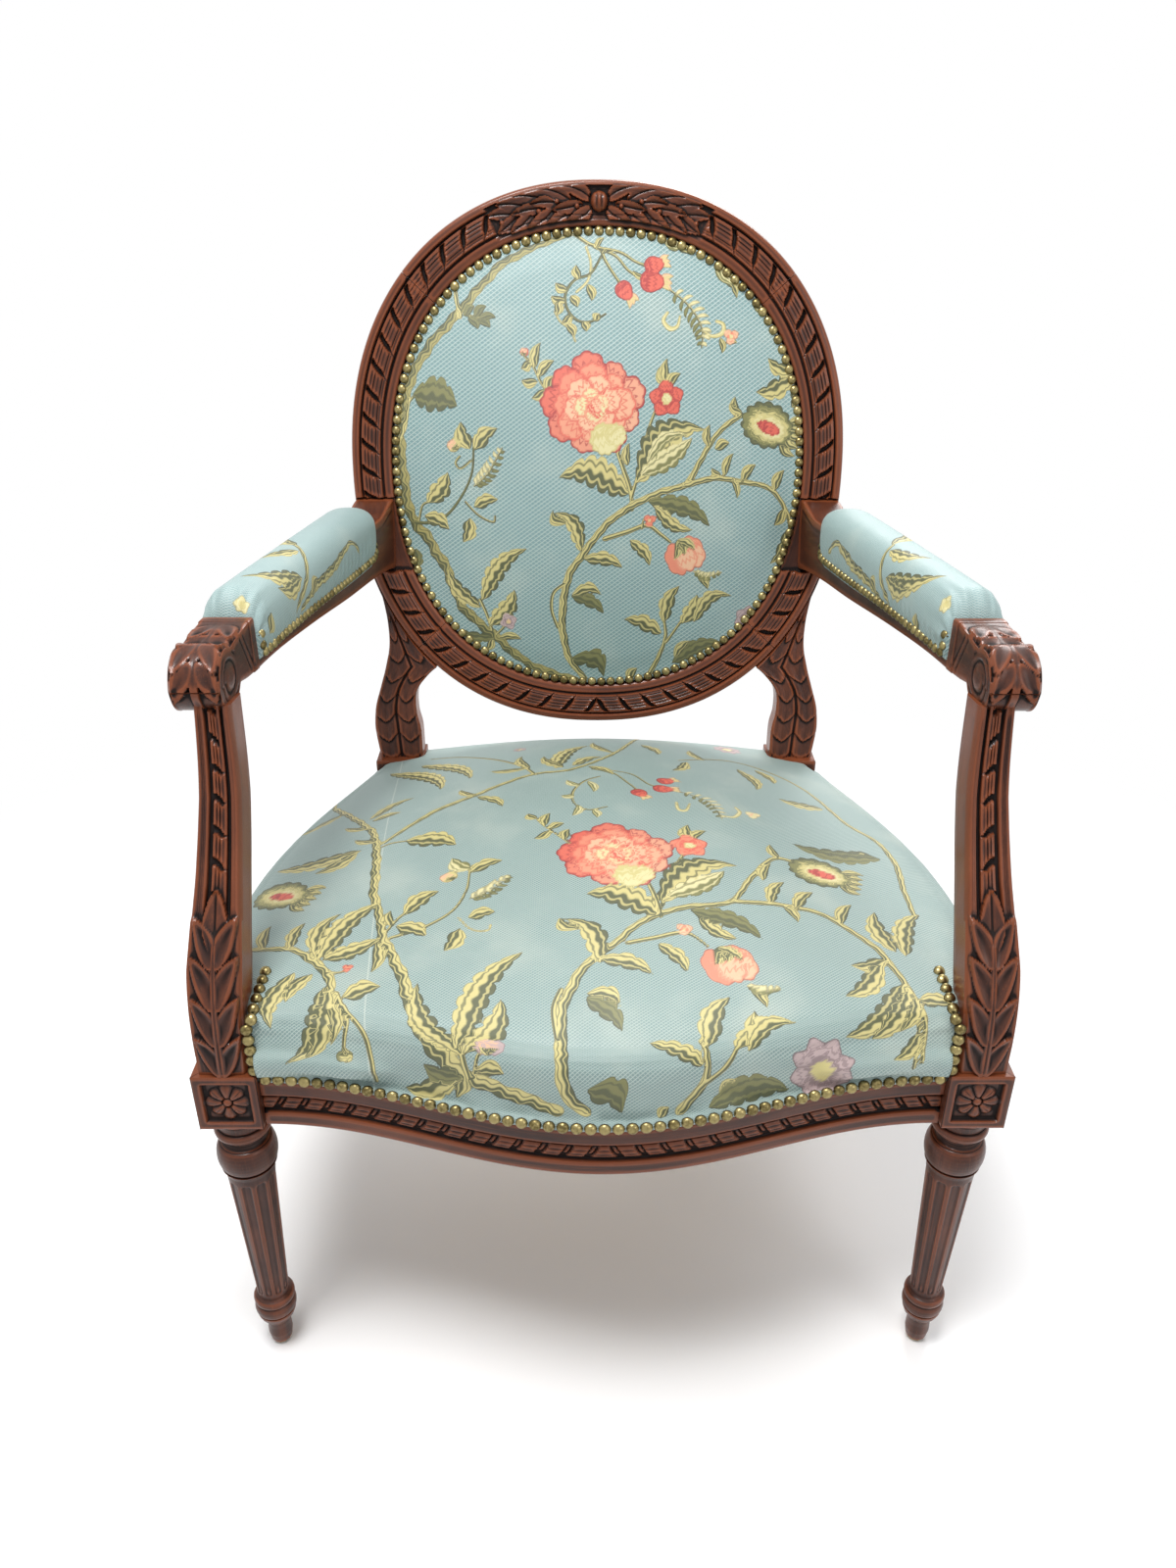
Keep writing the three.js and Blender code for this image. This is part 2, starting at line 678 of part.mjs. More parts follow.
// A tenon across the joint at an angle of the ring. Grown, it cuts the mortise.
function ringTenon(angle, grow = 0) {
  const turned = rad(angle);
  const middle = ovalPoint(turned, ringWidth / 2, (frontLedge + rearLedge) / 2);
  const along = new THREE.Vector3()
    .subVectors(ovalPoint(turned + rad(1), ringWidth / 2, 0), ovalPoint(turned - rad(1), ringWidth / 2, 0));
  const lean = Math.atan2(along.z, along.x);
  return new THREE.BoxGeometry(
    (ringTenonLength + grow) * 2,
    ringTenonThickness + grow * 2,
    ringTenonWidth + grow * 2,
  ).rotateY(-lean).translate(middle.x, middle.y, middle.z);
}

function topRail() {
  const body = ringStretch(-joinAngle + gapAngle, joinAngle - gapAngle);
  return carve([body, ringTenon(-joinAngle), ringTenon(joinAngle), ...crest()]);
}

// The angle of the ring's outer edge at a distance from its middle line.
const ringAngle = (x) =>
  Math.sign(x) * Math.asin(Math.min(Math.abs(x / ovalHalfWidth), 1) ** (ovalFullness / 2));

// A carved leaf on the face of the ring: from and to are [distance along, share of the moulding].
function crestLeaf(side, from, to) {
  const face = ringFront * ringFaceShares[0][1];
  const width = crestLeafWidth / mouldingWidth / 2;
  const lean = [to[0] - from[0], (to[1] - from[1]) * mouldingWidth];
  const long = Math.hypot(...lean);
  const at = (run, off, forwards) => {
    const x = from[0] + run * lean[0] - off * width * mouldingWidth * (lean[1] / long);
    const across = from[1] + run * (to[1] - from[1]) + off * width * (lean[0] / long);
    return ovalPoint(ringAngle(side * x), across * mouldingWidth, forwards);
  };
  const rings = [face, ringFront].map((forwards) =>
    leafOutlineShares.map(([run, off]) => at(run, off, forwards)));
  return capped(rings, at(0.5, 0, face), at(0.5, 0, ringFront + crestLeafProud));
}

function crest() {
  const [upperStem, upperTip, lowerStem, lowerTip] = crestRowShares;
  const [first, last] = crestStepShares;
  const leaves = [-1, 1].flatMap((side) =>
    steps(crestLeafCount - 1).flatMap((share) => {
      const from = crestReach * THREE.MathUtils.lerp(first, last, share);
      const to = Math.min(from + crestLeafLength, crestReach);
      return [
        crestLeaf(side, [from, upperStem], [to, upperTip]),
        crestLeaf(side, [from, lowerStem], [to, lowerTip]),
      ];
    }));
  const middle = ovalPoint(0, mouldingWidth / 2, ringFront);
  const ball = new THREE.SphereGeometry(crestBallRadius, glideSides, clearanceSteps)
    .translate(middle.x, middle.y, middle.z);
  return [...leaves, ball];
}

function bottomRail() {
  const low = halfTurn - joinAngle;
  const body = ringStretch(low + gapAngle, halfTurn + joinAngle - gapAngle);
  return carve([body, ringTenon(low), ringTenon(-low)]);
}

// The carved stile between the rear block and the ring, as a flat outline.
function stileOutline(side) {
  const outermost = rearX + rearBlockWidth / 2;
  const meeting = ovalPoint(rad(stileRunOut), 0, 0);
  const place = ([up, inwards]) => {
    const line = THREE.MathUtils.lerp(outermost, meeting.x, up);
    return new THREE.Vector2(side * (line - inwards * stileReach), up * meeting.z);
  };
  const outer = new THREE.SplineCurve(stileOuterShares.map(place)).getPoints(stileOuterShares.length * 2);
  const inner = new THREE.SplineCurve(stileInnerShares.map(place)).getPoints(stileInnerShares.length * 2);
  return [...outer, ...inner.reverse()];
}

function stile(side) {
  const shape = new THREE.Shape(stileOutline(side));
  return new THREE.ExtrudeGeometry(shape, {
    depth: stileThickness - stileBevel * 2,
    bevelThickness: stileBevel,
    bevelSize: stileBevel,
    bevelOffset: -stileBevel,
    bevelSegments: 1,
  })
    .translate(0, 0, -stileThickness / 2 + stileBevel)
    .rotateX(Math.PI / 2);
}

// The oval opening that the covers fill, as a prism.
function openingPrism(inwards, rear, front) {
  const rings = [rear, front].map((forwards) =>
    steps(ringSteps).slice(1).map((share) => ovalPoint(share * Math.PI * 2, inwards, forwards)));
  const outline = rings[0].map((p) => new THREE.Vector2(p.x, p.z));
  return loft(rings, outline);
}

// The place on the ring's face where an arm is housed, in the plane of the back.
const armRearTop = armTop - padBedDrop - padBedFall + armFlare / 2;
const armRearBottom = armTop - armThickness - armFall - armFlare / 2;
const armRearZ = (armRearTop + armRearBottom) / 2;
const armHousingUp =
  (armRearZ - rearBlockTop - armHousing * Math.sin(rad(backTilt))) / Math.cos(rad(backTilt));

// Between the middles of the arms' rear ends, by the oval's width at their height.
const housingRise = Math.min(Math.abs(armHousingUp - ovalCentreHeight) / ovalHalfHeight, 1);
const armRearSpacing =
  2 * (ovalHalfWidth * (1 - housingRise ** ovalFullness) ** (1 / ovalFullness) - armRearInset);

function armTenon(side, grow = 0) {
  const length = armTenonLength + grow + overrun;
  return box(
    armTenonWidth + grow * 2,
    length,
    armTenonHeight + grow * 2,
    side * (armRearSpacing / 2),
    -armHousing - overrun + length / 2,
    armHousingUp,
  );
}

function armHousingCut(side) {
  const depth = ringThickness;
  return box(
    armRearWidth + ringWidth,
    depth,
    (armRearTop - armRearBottom) / Math.cos(rad(backTilt)) + armHousingPlay,
    side * (armRearSpacing / 2),
    -armHousing - depth / 2,
    armHousingUp,
  );
}

function rearLeg(side) {
  const blockHeight = rearBlockTop - legHeight;
  const block = box(rearBlockWidth, rearBlockDepth, blockHeight, 0, 0, rearBlockTop - blockHeight / 2);
  const lower = carve([rake(turnedLeg()), block], [glideHole(rearRake)])
    .translate(side * rearX, seatFrameDepth, 0);
  const from = side * joinAngle;
  const to = side * (halfTurn - joinAngle);
  const foot = stile(side).translate(0, 0, -stileBevel / 2);
  const root = box(
    rearBlockWidth - stileBevel * 4, stileThickness - stileBevel * 2, overrun * 2, side * rearX, 0, 0);
  const upper = carve(
    [ringStretch(from + side * gapAngle, to - side * gapAngle), foot, root],
    [
      openingPrism(mouldingWidth, frontLedge, ringThickness),
      openingPrism(mouldingWidth, -ringThickness, rearLedge),
      openingPrism(ringWidth, -ringThickness, ringThickness),
      bottomRailClearance(side),
      ringTenon(side * joinAngle, gap),
      ringTenon(side * (halfTurn - joinAngle), gap),
      armHousingCut(side),
      armTenon(side, gap),
    ],
  ).applyMatrix4(backPlane);
  const mortises = [sideRearTenon(side, gap), rearTenon(side, gap)];
  return carve([lower, upper], mortises);
}

// The part of the stile that would stand in the way of the bottom rail.
function bottomRailClearance(side) {
  const from = side * (halfTurn - joinAngle);
  const rings = steps(clearanceSteps).map((share) => {
    const angle = rad(THREE.MathUtils.lerp(from, side * halfTurn, share));
    return [
      ovalPoint(angle, -gap, ringThickness),
      ovalPoint(angle, ringWidth + gap, ringThickness),
      ovalPoint(angle, ringWidth + gap, -ringThickness),
      ovalPoint(angle, -gap, -ringThickness),
    ];
  });
  const outline = [[0, 1], [1, 1], [1, 0], [0, 0]].map(([x, y]) => new THREE.Vector2(x, y));
  return loft(rings, outline);
}

// Arms, built about x = 0 as flat profiles and then bent to their line in plan

const armRearY = seatFrameDepth
  + Math.sin(rad(backTilt)) * armHousingUp
  - Math.cos(rad(backTilt)) * armHousing;

// How far along the arm a point lies, from the scroll at 0 to the back at 1.
const alongArm = (y) =>
  THREE.MathUtils.clamp((y - scrollCentreY) / (armRearY - scrollCentreY), 0, 1);
const armMiddle = (y) =>
  THREE.MathUtils.lerp(armSpacing, armRearSpacing, alongArm(y) ** armCurve) / 2;
const armBed = (y) => armTop - padBedDrop - padBedFall * alongArm(y);

// Moves and widens a profile that was extruded about x = 0, by functions of its points.
function bend(geometry, move) {
  const place = geometry.getAttribute("position");
  for (let i = 0; i < place.count; i += 1) {
    const p = move(new THREE.Vector3().fromBufferAttribute(place, i));
    place.setXYZ(i, p.x, p.y, p.z);
  }
  return geometry;
}

// The arm seen from the side: scroll, collar, bed of the pad, and the flare at the back.
function armProfile() {
  const shape = new THREE.Shape();
  const lean = Math.tan(rad(backTilt));
  const rearEnd = (z) => armRearY - gap + (z - armRearZ) * lean;
  const length = armRearY - scrollCentreY;
  const underside = (share, fall) => [
    scrollCentreY + share * length,
    armTop - armThickness - fall * armFall,
  ];
  shape.moveTo(rearEnd(armRearTop), armRearTop);
  const bedEnd = armRearY - armFlare - padStop / 2;
  shape.lineTo(bedEnd + armFlare, armBed(bedEnd) + armFlare * flareRiseShare);
  shape.lineTo(bedEnd, armBed(bedEnd));
  for (const share of steps(4).slice(1, -1)) {
    const y = THREE.MathUtils.lerp(bedEnd, collarY + collarLength, share);
    shape.lineTo(y, armBed(y));
  }
  shape.lineTo(collarY + collarLength, armBed(collarY));
  shape.lineTo(collarY + collarLength, armTop);
  shape.lineTo(collarY, armTop);
  const turns = (scrollEnd - scrollStart) / (halfTurn * 2);
  for (const share of steps(Math.round(scrollSteps * turns))) {
    const angle = rad(THREE.MathUtils.lerp(scrollStart, scrollEnd, share));
    shape.lineTo(
      scrollCentreY + Math.cos(angle) * scrollRadius,
      scrollCentreZ + Math.sin(angle) * scrollRadius,
    );
  }
  for (const [share, fall] of armUndersideShares) shape.lineTo(...underside(share, fall));
  shape.lineTo(armRearY - armFlare, armRearBottom + armFlare * flareFallShare);
  shape.lineTo(rearEnd(armRearBottom), armRearBottom);
  return shape;
}

function arm(side) {
  const flat = new THREE.ExtrudeGeometry(armProfile(), {
    depth: armWidth - armEdge * 2,
    bevelThickness: armEdge,
    bevelSize: armEdge,
    bevelOffset: -armEdge,
    bevelSegments: 1,
  }).translate(0, 0, -armWidth / 2 + armEdge);
  // The profile was drawn with y and z as its x and y.
  const standing = bend(flat, (p) => point(p.z, p.x, p.y));
  const flareFrom = armRearY - armFlareLength;
  const wood = bend(standing, (p) => {
    const flare = THREE.MathUtils.clamp((p.y - flareFrom) / (armRearY - flareFrom), 0, 1);
    const width = THREE.MathUtils.lerp(1, armRearWidth / armWidth, flare);
    return point(side * (armMiddle(p.y) + p.x * width), p.y, p.z);
  });
  const tenon = armTenon(side).applyMatrix4(backPlane);
  const x = side * postHeadX;
  const socketTop = postTop + dowelLength + gap;
  const socket = upright(dowelRadius + gap, postTop - overrun, socketTop, x, scrollCentreY);
  return carve([side > 0 ? wood : turnOver(wood), tenon], [socket]);
}

// Restores outward faces after a mirror.
function turnOver(geometry) {
  const flat = geometry.index ? geometry.toNonIndexed() : geometry;
  const place = flat.getAttribute("position");
  const a = new THREE.Vector3();
  const b = new THREE.Vector3();
  for (let i = 0; i < place.count; i += 3) {
    a.fromBufferAttribute(place, i + 1);
    b.fromBufferAttribute(place, i + 2);
    place.setXYZ(i + 1, b.x, b.y, b.z);
    place.setXYZ(i + 2, a.x, a.y, a.z);
  }
  return flat;
}

// Arm posts

const postBottom = frontBlockTop + gap;
const postTop = scrollCentreZ - scrollRadius * postSeatShare;
const postFrontY = -frontBlockWidth / 2 + postLeafProud;
const postHeadX = postHeadSpacing / 2;

// The post in section: x outwards and y forwards.
function postOutline(shares, proud, half) {
  return [
    new THREE.Vector2(half - armEdge, -postDepth / 2),
    new THREE.Vector2(half, -postDepth / 2 + armEdge),
    ...shares.map(([across, forward]) =>
      new THREE.Vector2(across * half, postDepth / 2 + forward * proud)),
    new THREE.Vector2(-half, -postDepth / 2 + armEdge),
    new THREE.Vector2(-half + armEdge, -postDepth / 2),
  ];
}

function armPost(side) {
  const rise = scrollCentreZ - postBottom;
  const line = new THREE.SplineCurve(
    postLineShares.map(([up, back]) =>
      new THREE.Vector2(
        postFrontY + postDepth / 2 + back * (scrollCentreY - postFrontY - postDepth / 2),
        postBottom + up * rise,
      )),
  );
  const sections = steps(postSteps).map((share) => {
    const at = line.getPoint(share);
    const run = line.getTangent(share);
    if (share === 0) run.set(0, 1);
    const up = (at.y - postBottom) / rise;
    const half = (between(postWidthShares, up) * postWidth) / 2;
    const leaf = at.y - postBottom < postLeafHeight;
    const outline = leaf
      ? postOutline(leafFaceShares, postLeafProud, half)
      : postOutline(postFaceShares, postChannelDepth, half);
    const middle = THREE.MathUtils.lerp(frontX, postHeadX, between(postLeanShares, up));
    return outline.map((p) =>
      point(side * (middle + p.x), at.x - p.y * run.y, at.y + p.y * run.x));
  });
  const outline = postOutline(postFaceShares, postChannelDepth, postWidth / 2);
  const wood = loft(sections, outline);
  const reach = armWidth;
  const x = side * postHeadX;
  const sides = scrollSteps * 2;
  const scroll = alongX(scrollRadius + gap, x - reach, x + reach, scrollCentreY, scrollCentreZ, sides);
  const foot = upright(dowelRadius, postBottom - dowelLength, postBottom + overrun, side * frontX);
  const head = upright(dowelRadius, postTop - overrun * 2, postTop + dowelLength - overrun, x, scrollCentreY);
  return carve([carve([wood], [scroll]), foot, head]);
}

// Corner blocks

function cornerBlock(side, rear) {
  const z = railBottom + cornerBlockHeight / 2 + coverRabbetDepth;
  const cornerX = rear ? rearX : frontX;
  const cornerY = rear ? seatFrameDepth : 0;
  const inwards = rear ? -1 : 1;
  const shape = new THREE.Shape();
  const reach = cornerBlockReach + frontBlockWidth / 2;
  shape.moveTo(side * cornerX, cornerY);
  shape.lineTo(side * (cornerX - reach), cornerY);
  shape.lineTo(side * (cornerX - reach), cornerY + inwards * railThickness);
  shape.lineTo(side * (cornerX - railThickness), cornerY + inwards * reach);
  shape.lineTo(side * cornerX, cornerY + inwards * reach);
  const prism = new THREE.ExtrudeGeometry(shape, { depth: cornerBlockHeight, bevelEnabled: false })
    .translate(0, 0, z - cornerBlockHeight / 2);
  const legBox = rear
    ? box(rearBlockWidth + gap * 2, rearBlockDepth + gap * 2, railHeight * 2, side * cornerX, cornerY, z)
    : box(frontBlockWidth + gap * 2, frontBlockWidth + gap * 2, railHeight * 2, side * cornerX, 0, z);
  const outside = outsideOfRails(side, z);
  const rail = rear
    ? box(rearLegSpacing, rearRailThickness + gap * 2, railHeight * 2, 0, rearRailY, z)
    : innerSolid(side, z);
  return carve([prism], [legBox, outside, rail]);
}

// Everything outside the inner faces of one side rail, as a prism.
function outsideOfRails(side, z) {
  const rings = [z - railHeight, z + railHeight].map((level) => {
    const inner = steps(sideRailSteps).map((share) => {
      const y = THREE.MathUtils.lerp(sideFrontY + gap, sideRearY - gap, share);
      return point(side * (sideFace(y) - railThickness - gap), y, level);
    });
    const far = side * (frontX + frontBlockWidth + sideRailBow);
    return [
      point(inner[0].x, -frontBlockWidth, level),
      ...inner,
      point(inner.at(-1).x, seatFrameDepth + rearBlockDepth, level),
      point(far, seatFrameDepth + rearBlockDepth, level),
      point(far, -frontBlockWidth, level),
    ];
  });
  const outline = rings[0].map((p) => new THREE.Vector2(p.x, p.y));
  return loft(rings, outline);
}

// Everything in front of the inner face of the front rail, as a prism.
function innerSolid(side, z) {
  const rings = [z - railHeight, z + railHeight].map((level) => {
    const end = frontEndX - gap;
    const inner = steps(frontRailSteps).map((share) => {
      const x = THREE.MathUtils.lerp(-end, end, share);
      return point(x, frontFace(x) + railThickness + gap, level);
    });
    return [
      ...inner,
      point(frontX + frontBlockWidth, inner.at(-1).y, level),
      point(frontX + frontBlockWidth, -frontBlockWidth - frontRailBow, level),
      point(-frontX - frontBlockWidth, -frontBlockWidth - frontRailBow, level),
      point(-frontX - frontBlockWidth, inner[0].y, level),
    ];
  });
  const outline = rings[0].map((p) => new THREE.Vector2(p.x, p.y));
  return loft(rings, outline);
}

// Upholstery

// The seat's outline in plan, around the outer faces of the rails, moved outwards by an amount.
// It has its corners where the rails have theirs, so that it can lie close to them.
function seatOutline(out) {
  const end = frontEndX - gap;
  const front = steps(frontRailSteps).map((share) => {
    const x = THREE.MathUtils.lerp(-end, end, share);
    return point(x, frontFace(x) - out, 0);
  });
  const side = steps(sideRailSteps).map((share) => {
    const y = THREE.MathUtils.lerp(sideFrontY + gap, sideRearY - gap, share);
    return point(sideFace(y) + out, y, 0);
  });
  const right = [
    point(sideFace(0) + out, frontFaceY - out, 0),
    ...side,
    point(sideFace(sideRearY) + out, rearFaceY + out, 0),
  ];
  const left = [...right].reverse().map((p) => point(-p.x, p.y, 0));
  const corner = right.at(-1);
  const rear = steps(rearEdgeSteps).slice(1, -1).map((share) =>
    point(THREE.MathUtils.lerp(corner.x, -corner.x, share), corner.y, 0));
  return [...front, ...right, ...rear, ...left];
}

function seatCushion() {
  const middle = point(0, (frontFaceY + rearFaceY) / 2, 0);
  const ring = (out, share, z) =>
    seatOutline(out).map((p) => p.clone().sub(middle).multiplyScalar(share).add(middle).setZ(z));
  const lipTop = railTop - coverRabbetHeight + gap;
  const lip = -coverRabbetDepth + gap;
  const side = (p) => {
    const back = THREE.MathUtils.clamp((p.y - frontFaceY) / (rearFaceY - frontFaceY), 0, 1) ** seatFall;
    const rear = seatRearSide + seatRearRise * Math.cos(Math.min(Math.abs(p.x) / rearX, 1) * (Math.PI / 2));
    return THREE.MathUtils.lerp(seatSide, rear, back);
  };
  const crown = (share) => seatCrown * Math.cos((share / seatSideShares.at(-1)[0]) * (Math.PI / 2));
  const upper = (out, share, up, raised) =>
    ring(out, share, 0).map((p) => p.setZ(seatBottom + up * side(p) + raised));
  const rings = [
    ring(-railThickness, 1, seatBottom),
    ring(lip, 1, seatBottom),
    ring(lip, 1, lipTop),
    ring(seatProud, 1, lipTop),
    ...seatSideShares.map(([share, up]) => upper(seatProud, share, up, 0)),
    ...crownShares.map((share) => upper(0, share, 1, crown(share))),
  ];
  const bottom = middle.clone().setZ(seatBottom);
  const top = middle.clone().setZ(seatBottom + side(middle) + seatCrown);
  const notchTop = seatBottom + seatSide + seatCrown + overrun;
  const tall = notchTop - railBottom;
  const notchZ = railBottom + tall / 2;
  const notches = [-1, 1].flatMap((side) => {
    const wide = frontBlockWidth + notchGap * 2;
    const outwards = frontBlockWidth;
    const rearWide = rearBlockWidth + notchGap * 2 + outwards;
    const rearDeep = rearBlockDepth + outwards;
    return [
      box(wide + outwards, wide + outwards, tall,
        side * (frontX + outwards / 2), -outwards / 2, notchZ),
      box(rearWide, rearDeep, tall,
        side * (rearX + outwards / 2), sideRearY - notchGap + rearDeep / 2, notchZ),
    ];
  });
  return carve([capped(rings, bottom, top)], notches);
}

// A flat or woven strap from one point to another, with the lifts of its middle line.
function strap(from, to, lifts, width, lie) {
  const along = new THREE.Vector3().subVectors(to, from);
  const across = new THREE.Vector3().crossVectors(lie, along).setLength(width / 2);
  const up = lie.clone().setLength(strapThickness / 2);
  const outline = [[-1, -1], [1, -1], [1, 1], [-1, 1]];
  const sections = lifts.map(([share, lift]) => {
    const middle = from.clone().addScaledVector(along, share).addScaledVector(lie, lift);
    return outline.map(([a, b]) =>
      middle.clone().addScaledVector(across, a).addScaledVector(up, b));
  });
  return loft(sections, outline.map(([x, y]) => new THREE.Vector2(x, y)));
}

// Where a strap passes over and under the straps that cross it, as [share, lift] rows.
function weave(places, from, to, first, width, endLift) {
  const share = (place) => (place - from) / (to - from);
  const flat = width / 2 + strapThickness;
  const rows = places.flatMap((place, i) => {
    const lift = (i + first) % 2 === 0 ? strapLift : -strapLift;
    return [[share(place - flat), lift], [share(place + flat), lift]];
  });
  return [[0, endLift], ...rows, [1, endLift]];
}

const strapPlaces = (count, from, to) =>
  Array.from({ length: count }, (_, i) => THREE.MathUtils.lerp(from, to, (i + 0.5) / count));

const strapEndLift = strapBed + strapThickness / 2 - strapMiddle;
const longReach = rearX - rearBlockWidth / 2;
const longPlaces = strapPlaces(strapCount, -longReach, longReach);
const crossPlaces = strapPlaces(strapCount, sideFrontY, sideRearY);

function longStrap(i) {
  const x = longPlaces[i];
  const from = frontFace(x) + railThickness - strapSeat;
  const to = rearFaceY - rearRailThickness + strapSeat - coverRabbetDepth;
  const lifts = weave(crossPlaces, from, to, i, strapWidth, strapEndLift);
  return strap(point(x, from, strapMiddle), point(x, to, strapMiddle), lifts, strapWidth, point(0, 0, 1));
}

function crossStrap(i) {
  const y = crossPlaces[i];
  const half = Math.min(sideFace(y - strapWidth / 2), sideFace(y + strapWidth / 2))
    - railThickness + strapSeat;
  const lifts = weave(longPlaces, -half, half, i + 1, strapWidth, strapEndLift);
  return strap(point(-half, y, strapMiddle), point(half, y, strapMiddle), lifts, strapWidth, point(0, 0, 1));
}

function seatHessian() {
  const inset = -(railThickness - strapSeat);
  const rings = [0, hessianThickness].map((up) =>
    seatOutline(inset).map((p) => p.setZ(hessianBottom + up)));
  const outline = rings[0].map((p) => new THREE.Vector2(p.x, p.y));
  const tall = (hessianThickness + overrun) * 2;
  const front = frontBlockWidth + notchGap * 2;
  const cuts = [-1, 1].flatMap((side) => [
    box(front, front, tall, side * frontX, 0, hessianBottom),
    box(rearBlockWidth + notchGap * 2, rearBlockDepth + notchGap * 2, tall,
      side * rearX, seatFrameDepth, hessianBottom),
  ]);
  return carve([loft(rings, outline)], cuts);
}

function ovalRing(inwards, forwards) {
  return steps(ringSteps / 2).slice(1).map((share) => ovalPoint(share * Math.PI * 2, inwards, forwards));
}

// The front pad of the back: it is nailed to the ledge and crowned towards the sitter.
function backPad() {
  const edge = mouldingWidth + coverClearance;
  const bed = frontLedge + gap;
  const middle = ovalCentreHeight;
  const inner = ovalHalfWidth - edge - backEdgeHeight;
  const crown = crownShares.map((share) => ovalRing(
    ovalHalfWidth - inner * share,
    bed + backEdgeHeight + backCrown * Math.cos(share * (Math.PI / 2)),
  ));
  const rings = [
    ovalRing(ringWidth, bed + strapThickness * 2 + strapLift * 2),
    ovalRing(ringWidth - strapSeat, bed + strapThickness * 2 + strapLift * 2),
    ovalRing(ringWidth - strapSeat, bed),
    ovalRing(edge, bed),
    ...backEdgeShares.map(([inwards, forwards]) =>
      ovalRing(edge + inwards * backEdgeHeight, bed + forwards * backEdgeHeight)),
    ...crown,
  ];
  const back = point(0, -(bed + strapThickness * 2 + strapLift * 2), middle);
  const front = point(0, -(bed + backEdgeHeight + backCrown), middle);
  return capped(rings, back, front);
}

// The cloth over the outside of the back, nailed to the rear ledge.
function outerCover() {
  const edge = mouldingWidth + coverClearance;
  const bed = rearLedge - gap;
  const [edgeDrop, fullDrop] = outerCoverShares;
  const rings = [
    ovalRing(edge, bed),
    ovalRing(edge + edgeDrop[0] * ledgeWidth, bed - edgeDrop[1] * rearLedgeDrop),
    ovalRing(edge + fullDrop[0] * ledgeWidth, bed - fullDrop[1] * outerCoverThickness),
  ];
  const rear = point(0, -bed, ovalCentreHeight);
  const face = point(0, -(bed - outerCoverThickness), ovalCentreHeight);
  return capped(rings, rear, face);
}

function backStrap(i, upwards) {
  const halfWidth = ovalHalfWidth - ringWidth;
  const halfHeight = ovalHalfHeight - ringWidth;
  const spread = upwards ? halfWidth : halfHeight;
  const other = upwards ? halfHeight : halfWidth;
  const places = strapPlaces(backStrapCount, -spread * backStrapReachShare, spread * backStrapReachShare);
  const crossing = strapPlaces(backStrapCount, -other * backStrapReachShare, other * backStrapReachShare);
  const place = places[i];
  const edge = Math.abs(place) + backStrapWidth / 2;
  const out = Math.min(edge / (spread + backStrapSeat), strapEdgeShare);
  const half = other * Math.sqrt(1 - out ** 2) + backStrapSeat / 2;
  const bed = frontLedge + gap + strapThickness / 2;
  const middle = bed + strapLift + gap;
  const lifts = weave(crossing, -half, half, upwards ? i : i + 1, backStrapWidth, bed - middle);
  const end = (reach) => (upwards ? [place, reach] : [reach, place]);
  const [from, to] = [-half, half].map(end).map(([x, rise]) => point(x, -middle, ovalCentreHeight + rise));
  return strap(from, to, lifts, backStrapWidth, point(0, -1, 0));
}

// The stuffed pad on an arm, rounded off at both ends.
function armPad(side) {
  const from = collarY + collarLength + gap;
  const to = armRearY - armFlare - padStop;
  const round = (share) => Math.sqrt(Math.max(1 - (1 - Math.min(share, 1)) ** 2, 0));
  const outline = armPadShares.map(([x, y]) => new THREE.Vector2(x, y));
  const length = to - from;
  const ends = padEndShares.map((share) => share * padEnd);
  const farEnds = ends.map((place) => length - place).reverse();
  const stations = [...ends, length / 3, length / 2, (length * 2) / 3, ...farEnds];
  const sections = stations.map((along) => {
    const y = from + along;
    const fill = Math.max(round(Math.min(along, length - along) / padEnd), padEndFillShare);
    return outline.map((p) =>
      point(
        side * armMiddle(y) + p.x * padWidth * THREE.MathUtils.lerp(padEndWidthShare, 1, fill),
        y,
        armBed(y) + gap + p.y * THREE.MathUtils.lerp(padHeight, padRearHeight, along / length) * fill,
      ));
  });
  return loft(sections, outline);
}

// Assembly

const chair = new THREE.Group();
const frame = new THREE.Group();
chair.add(frame);

const back = new THREE.Group();
back.position.set(0, seatFrameDepth, rearBlockTop);
back.rotation.x = -rad(backTilt);
frame.add(back);

function add(parent, name, geometry, finish) {
  const mesh = new THREE.Mesh(geometry, finish);
  mesh.name = name;
  parent.add(mesh);
  return mesh;
}

for (const [word, side] of [["left", -1], ["right", 1]]) {
  add(frame, `front_leg_${word}`, frontLeg(side), walnut).position.x = side * frontX;
  add(frame, `rear_leg_${word}`, rearLeg(side), walnut);
  add(frame, `side_rail_${word}`, sideRail(side), walnut);
  add(frame, `arm_${word}`, arm(side), walnut);
  add(frame, `arm_post_${word}`, armPost(side), walnut);
  add(frame, `arm_pad_${word}`, armPad(side), brocade);
  add(frame, `front_corner_block_${word}`, cornerBlock(side, false), frameBeech);
  add(frame, `rear_corner_block_${word}`, cornerBlock(side, true), frameBeech);
  add(frame, `front_glide_${word}`, glide(), brass).position.x = side * frontX;
  add(frame, `rear_glide_${word}`, glide(), brass).position.set(side * rearX, seatFrameDepth + rearRake, 0);
}

add(frame, "front_rail", frontRail(), walnut);
add(frame, "rear_rail", rearRail(), walnut);
add(back, "back_top_rail", topRail(), walnut);
add(back, "back_bottom_rail", bottomRail(), walnut);
add(back, "back_pad", backPad(), brocade);
add(back, "back_outer_cover", outerCover(), brocade);
add(frame, "seat_cushion", seatCushion(), brocade);
add(frame, "seat_hessian", seatHessian(), hessianCloth);

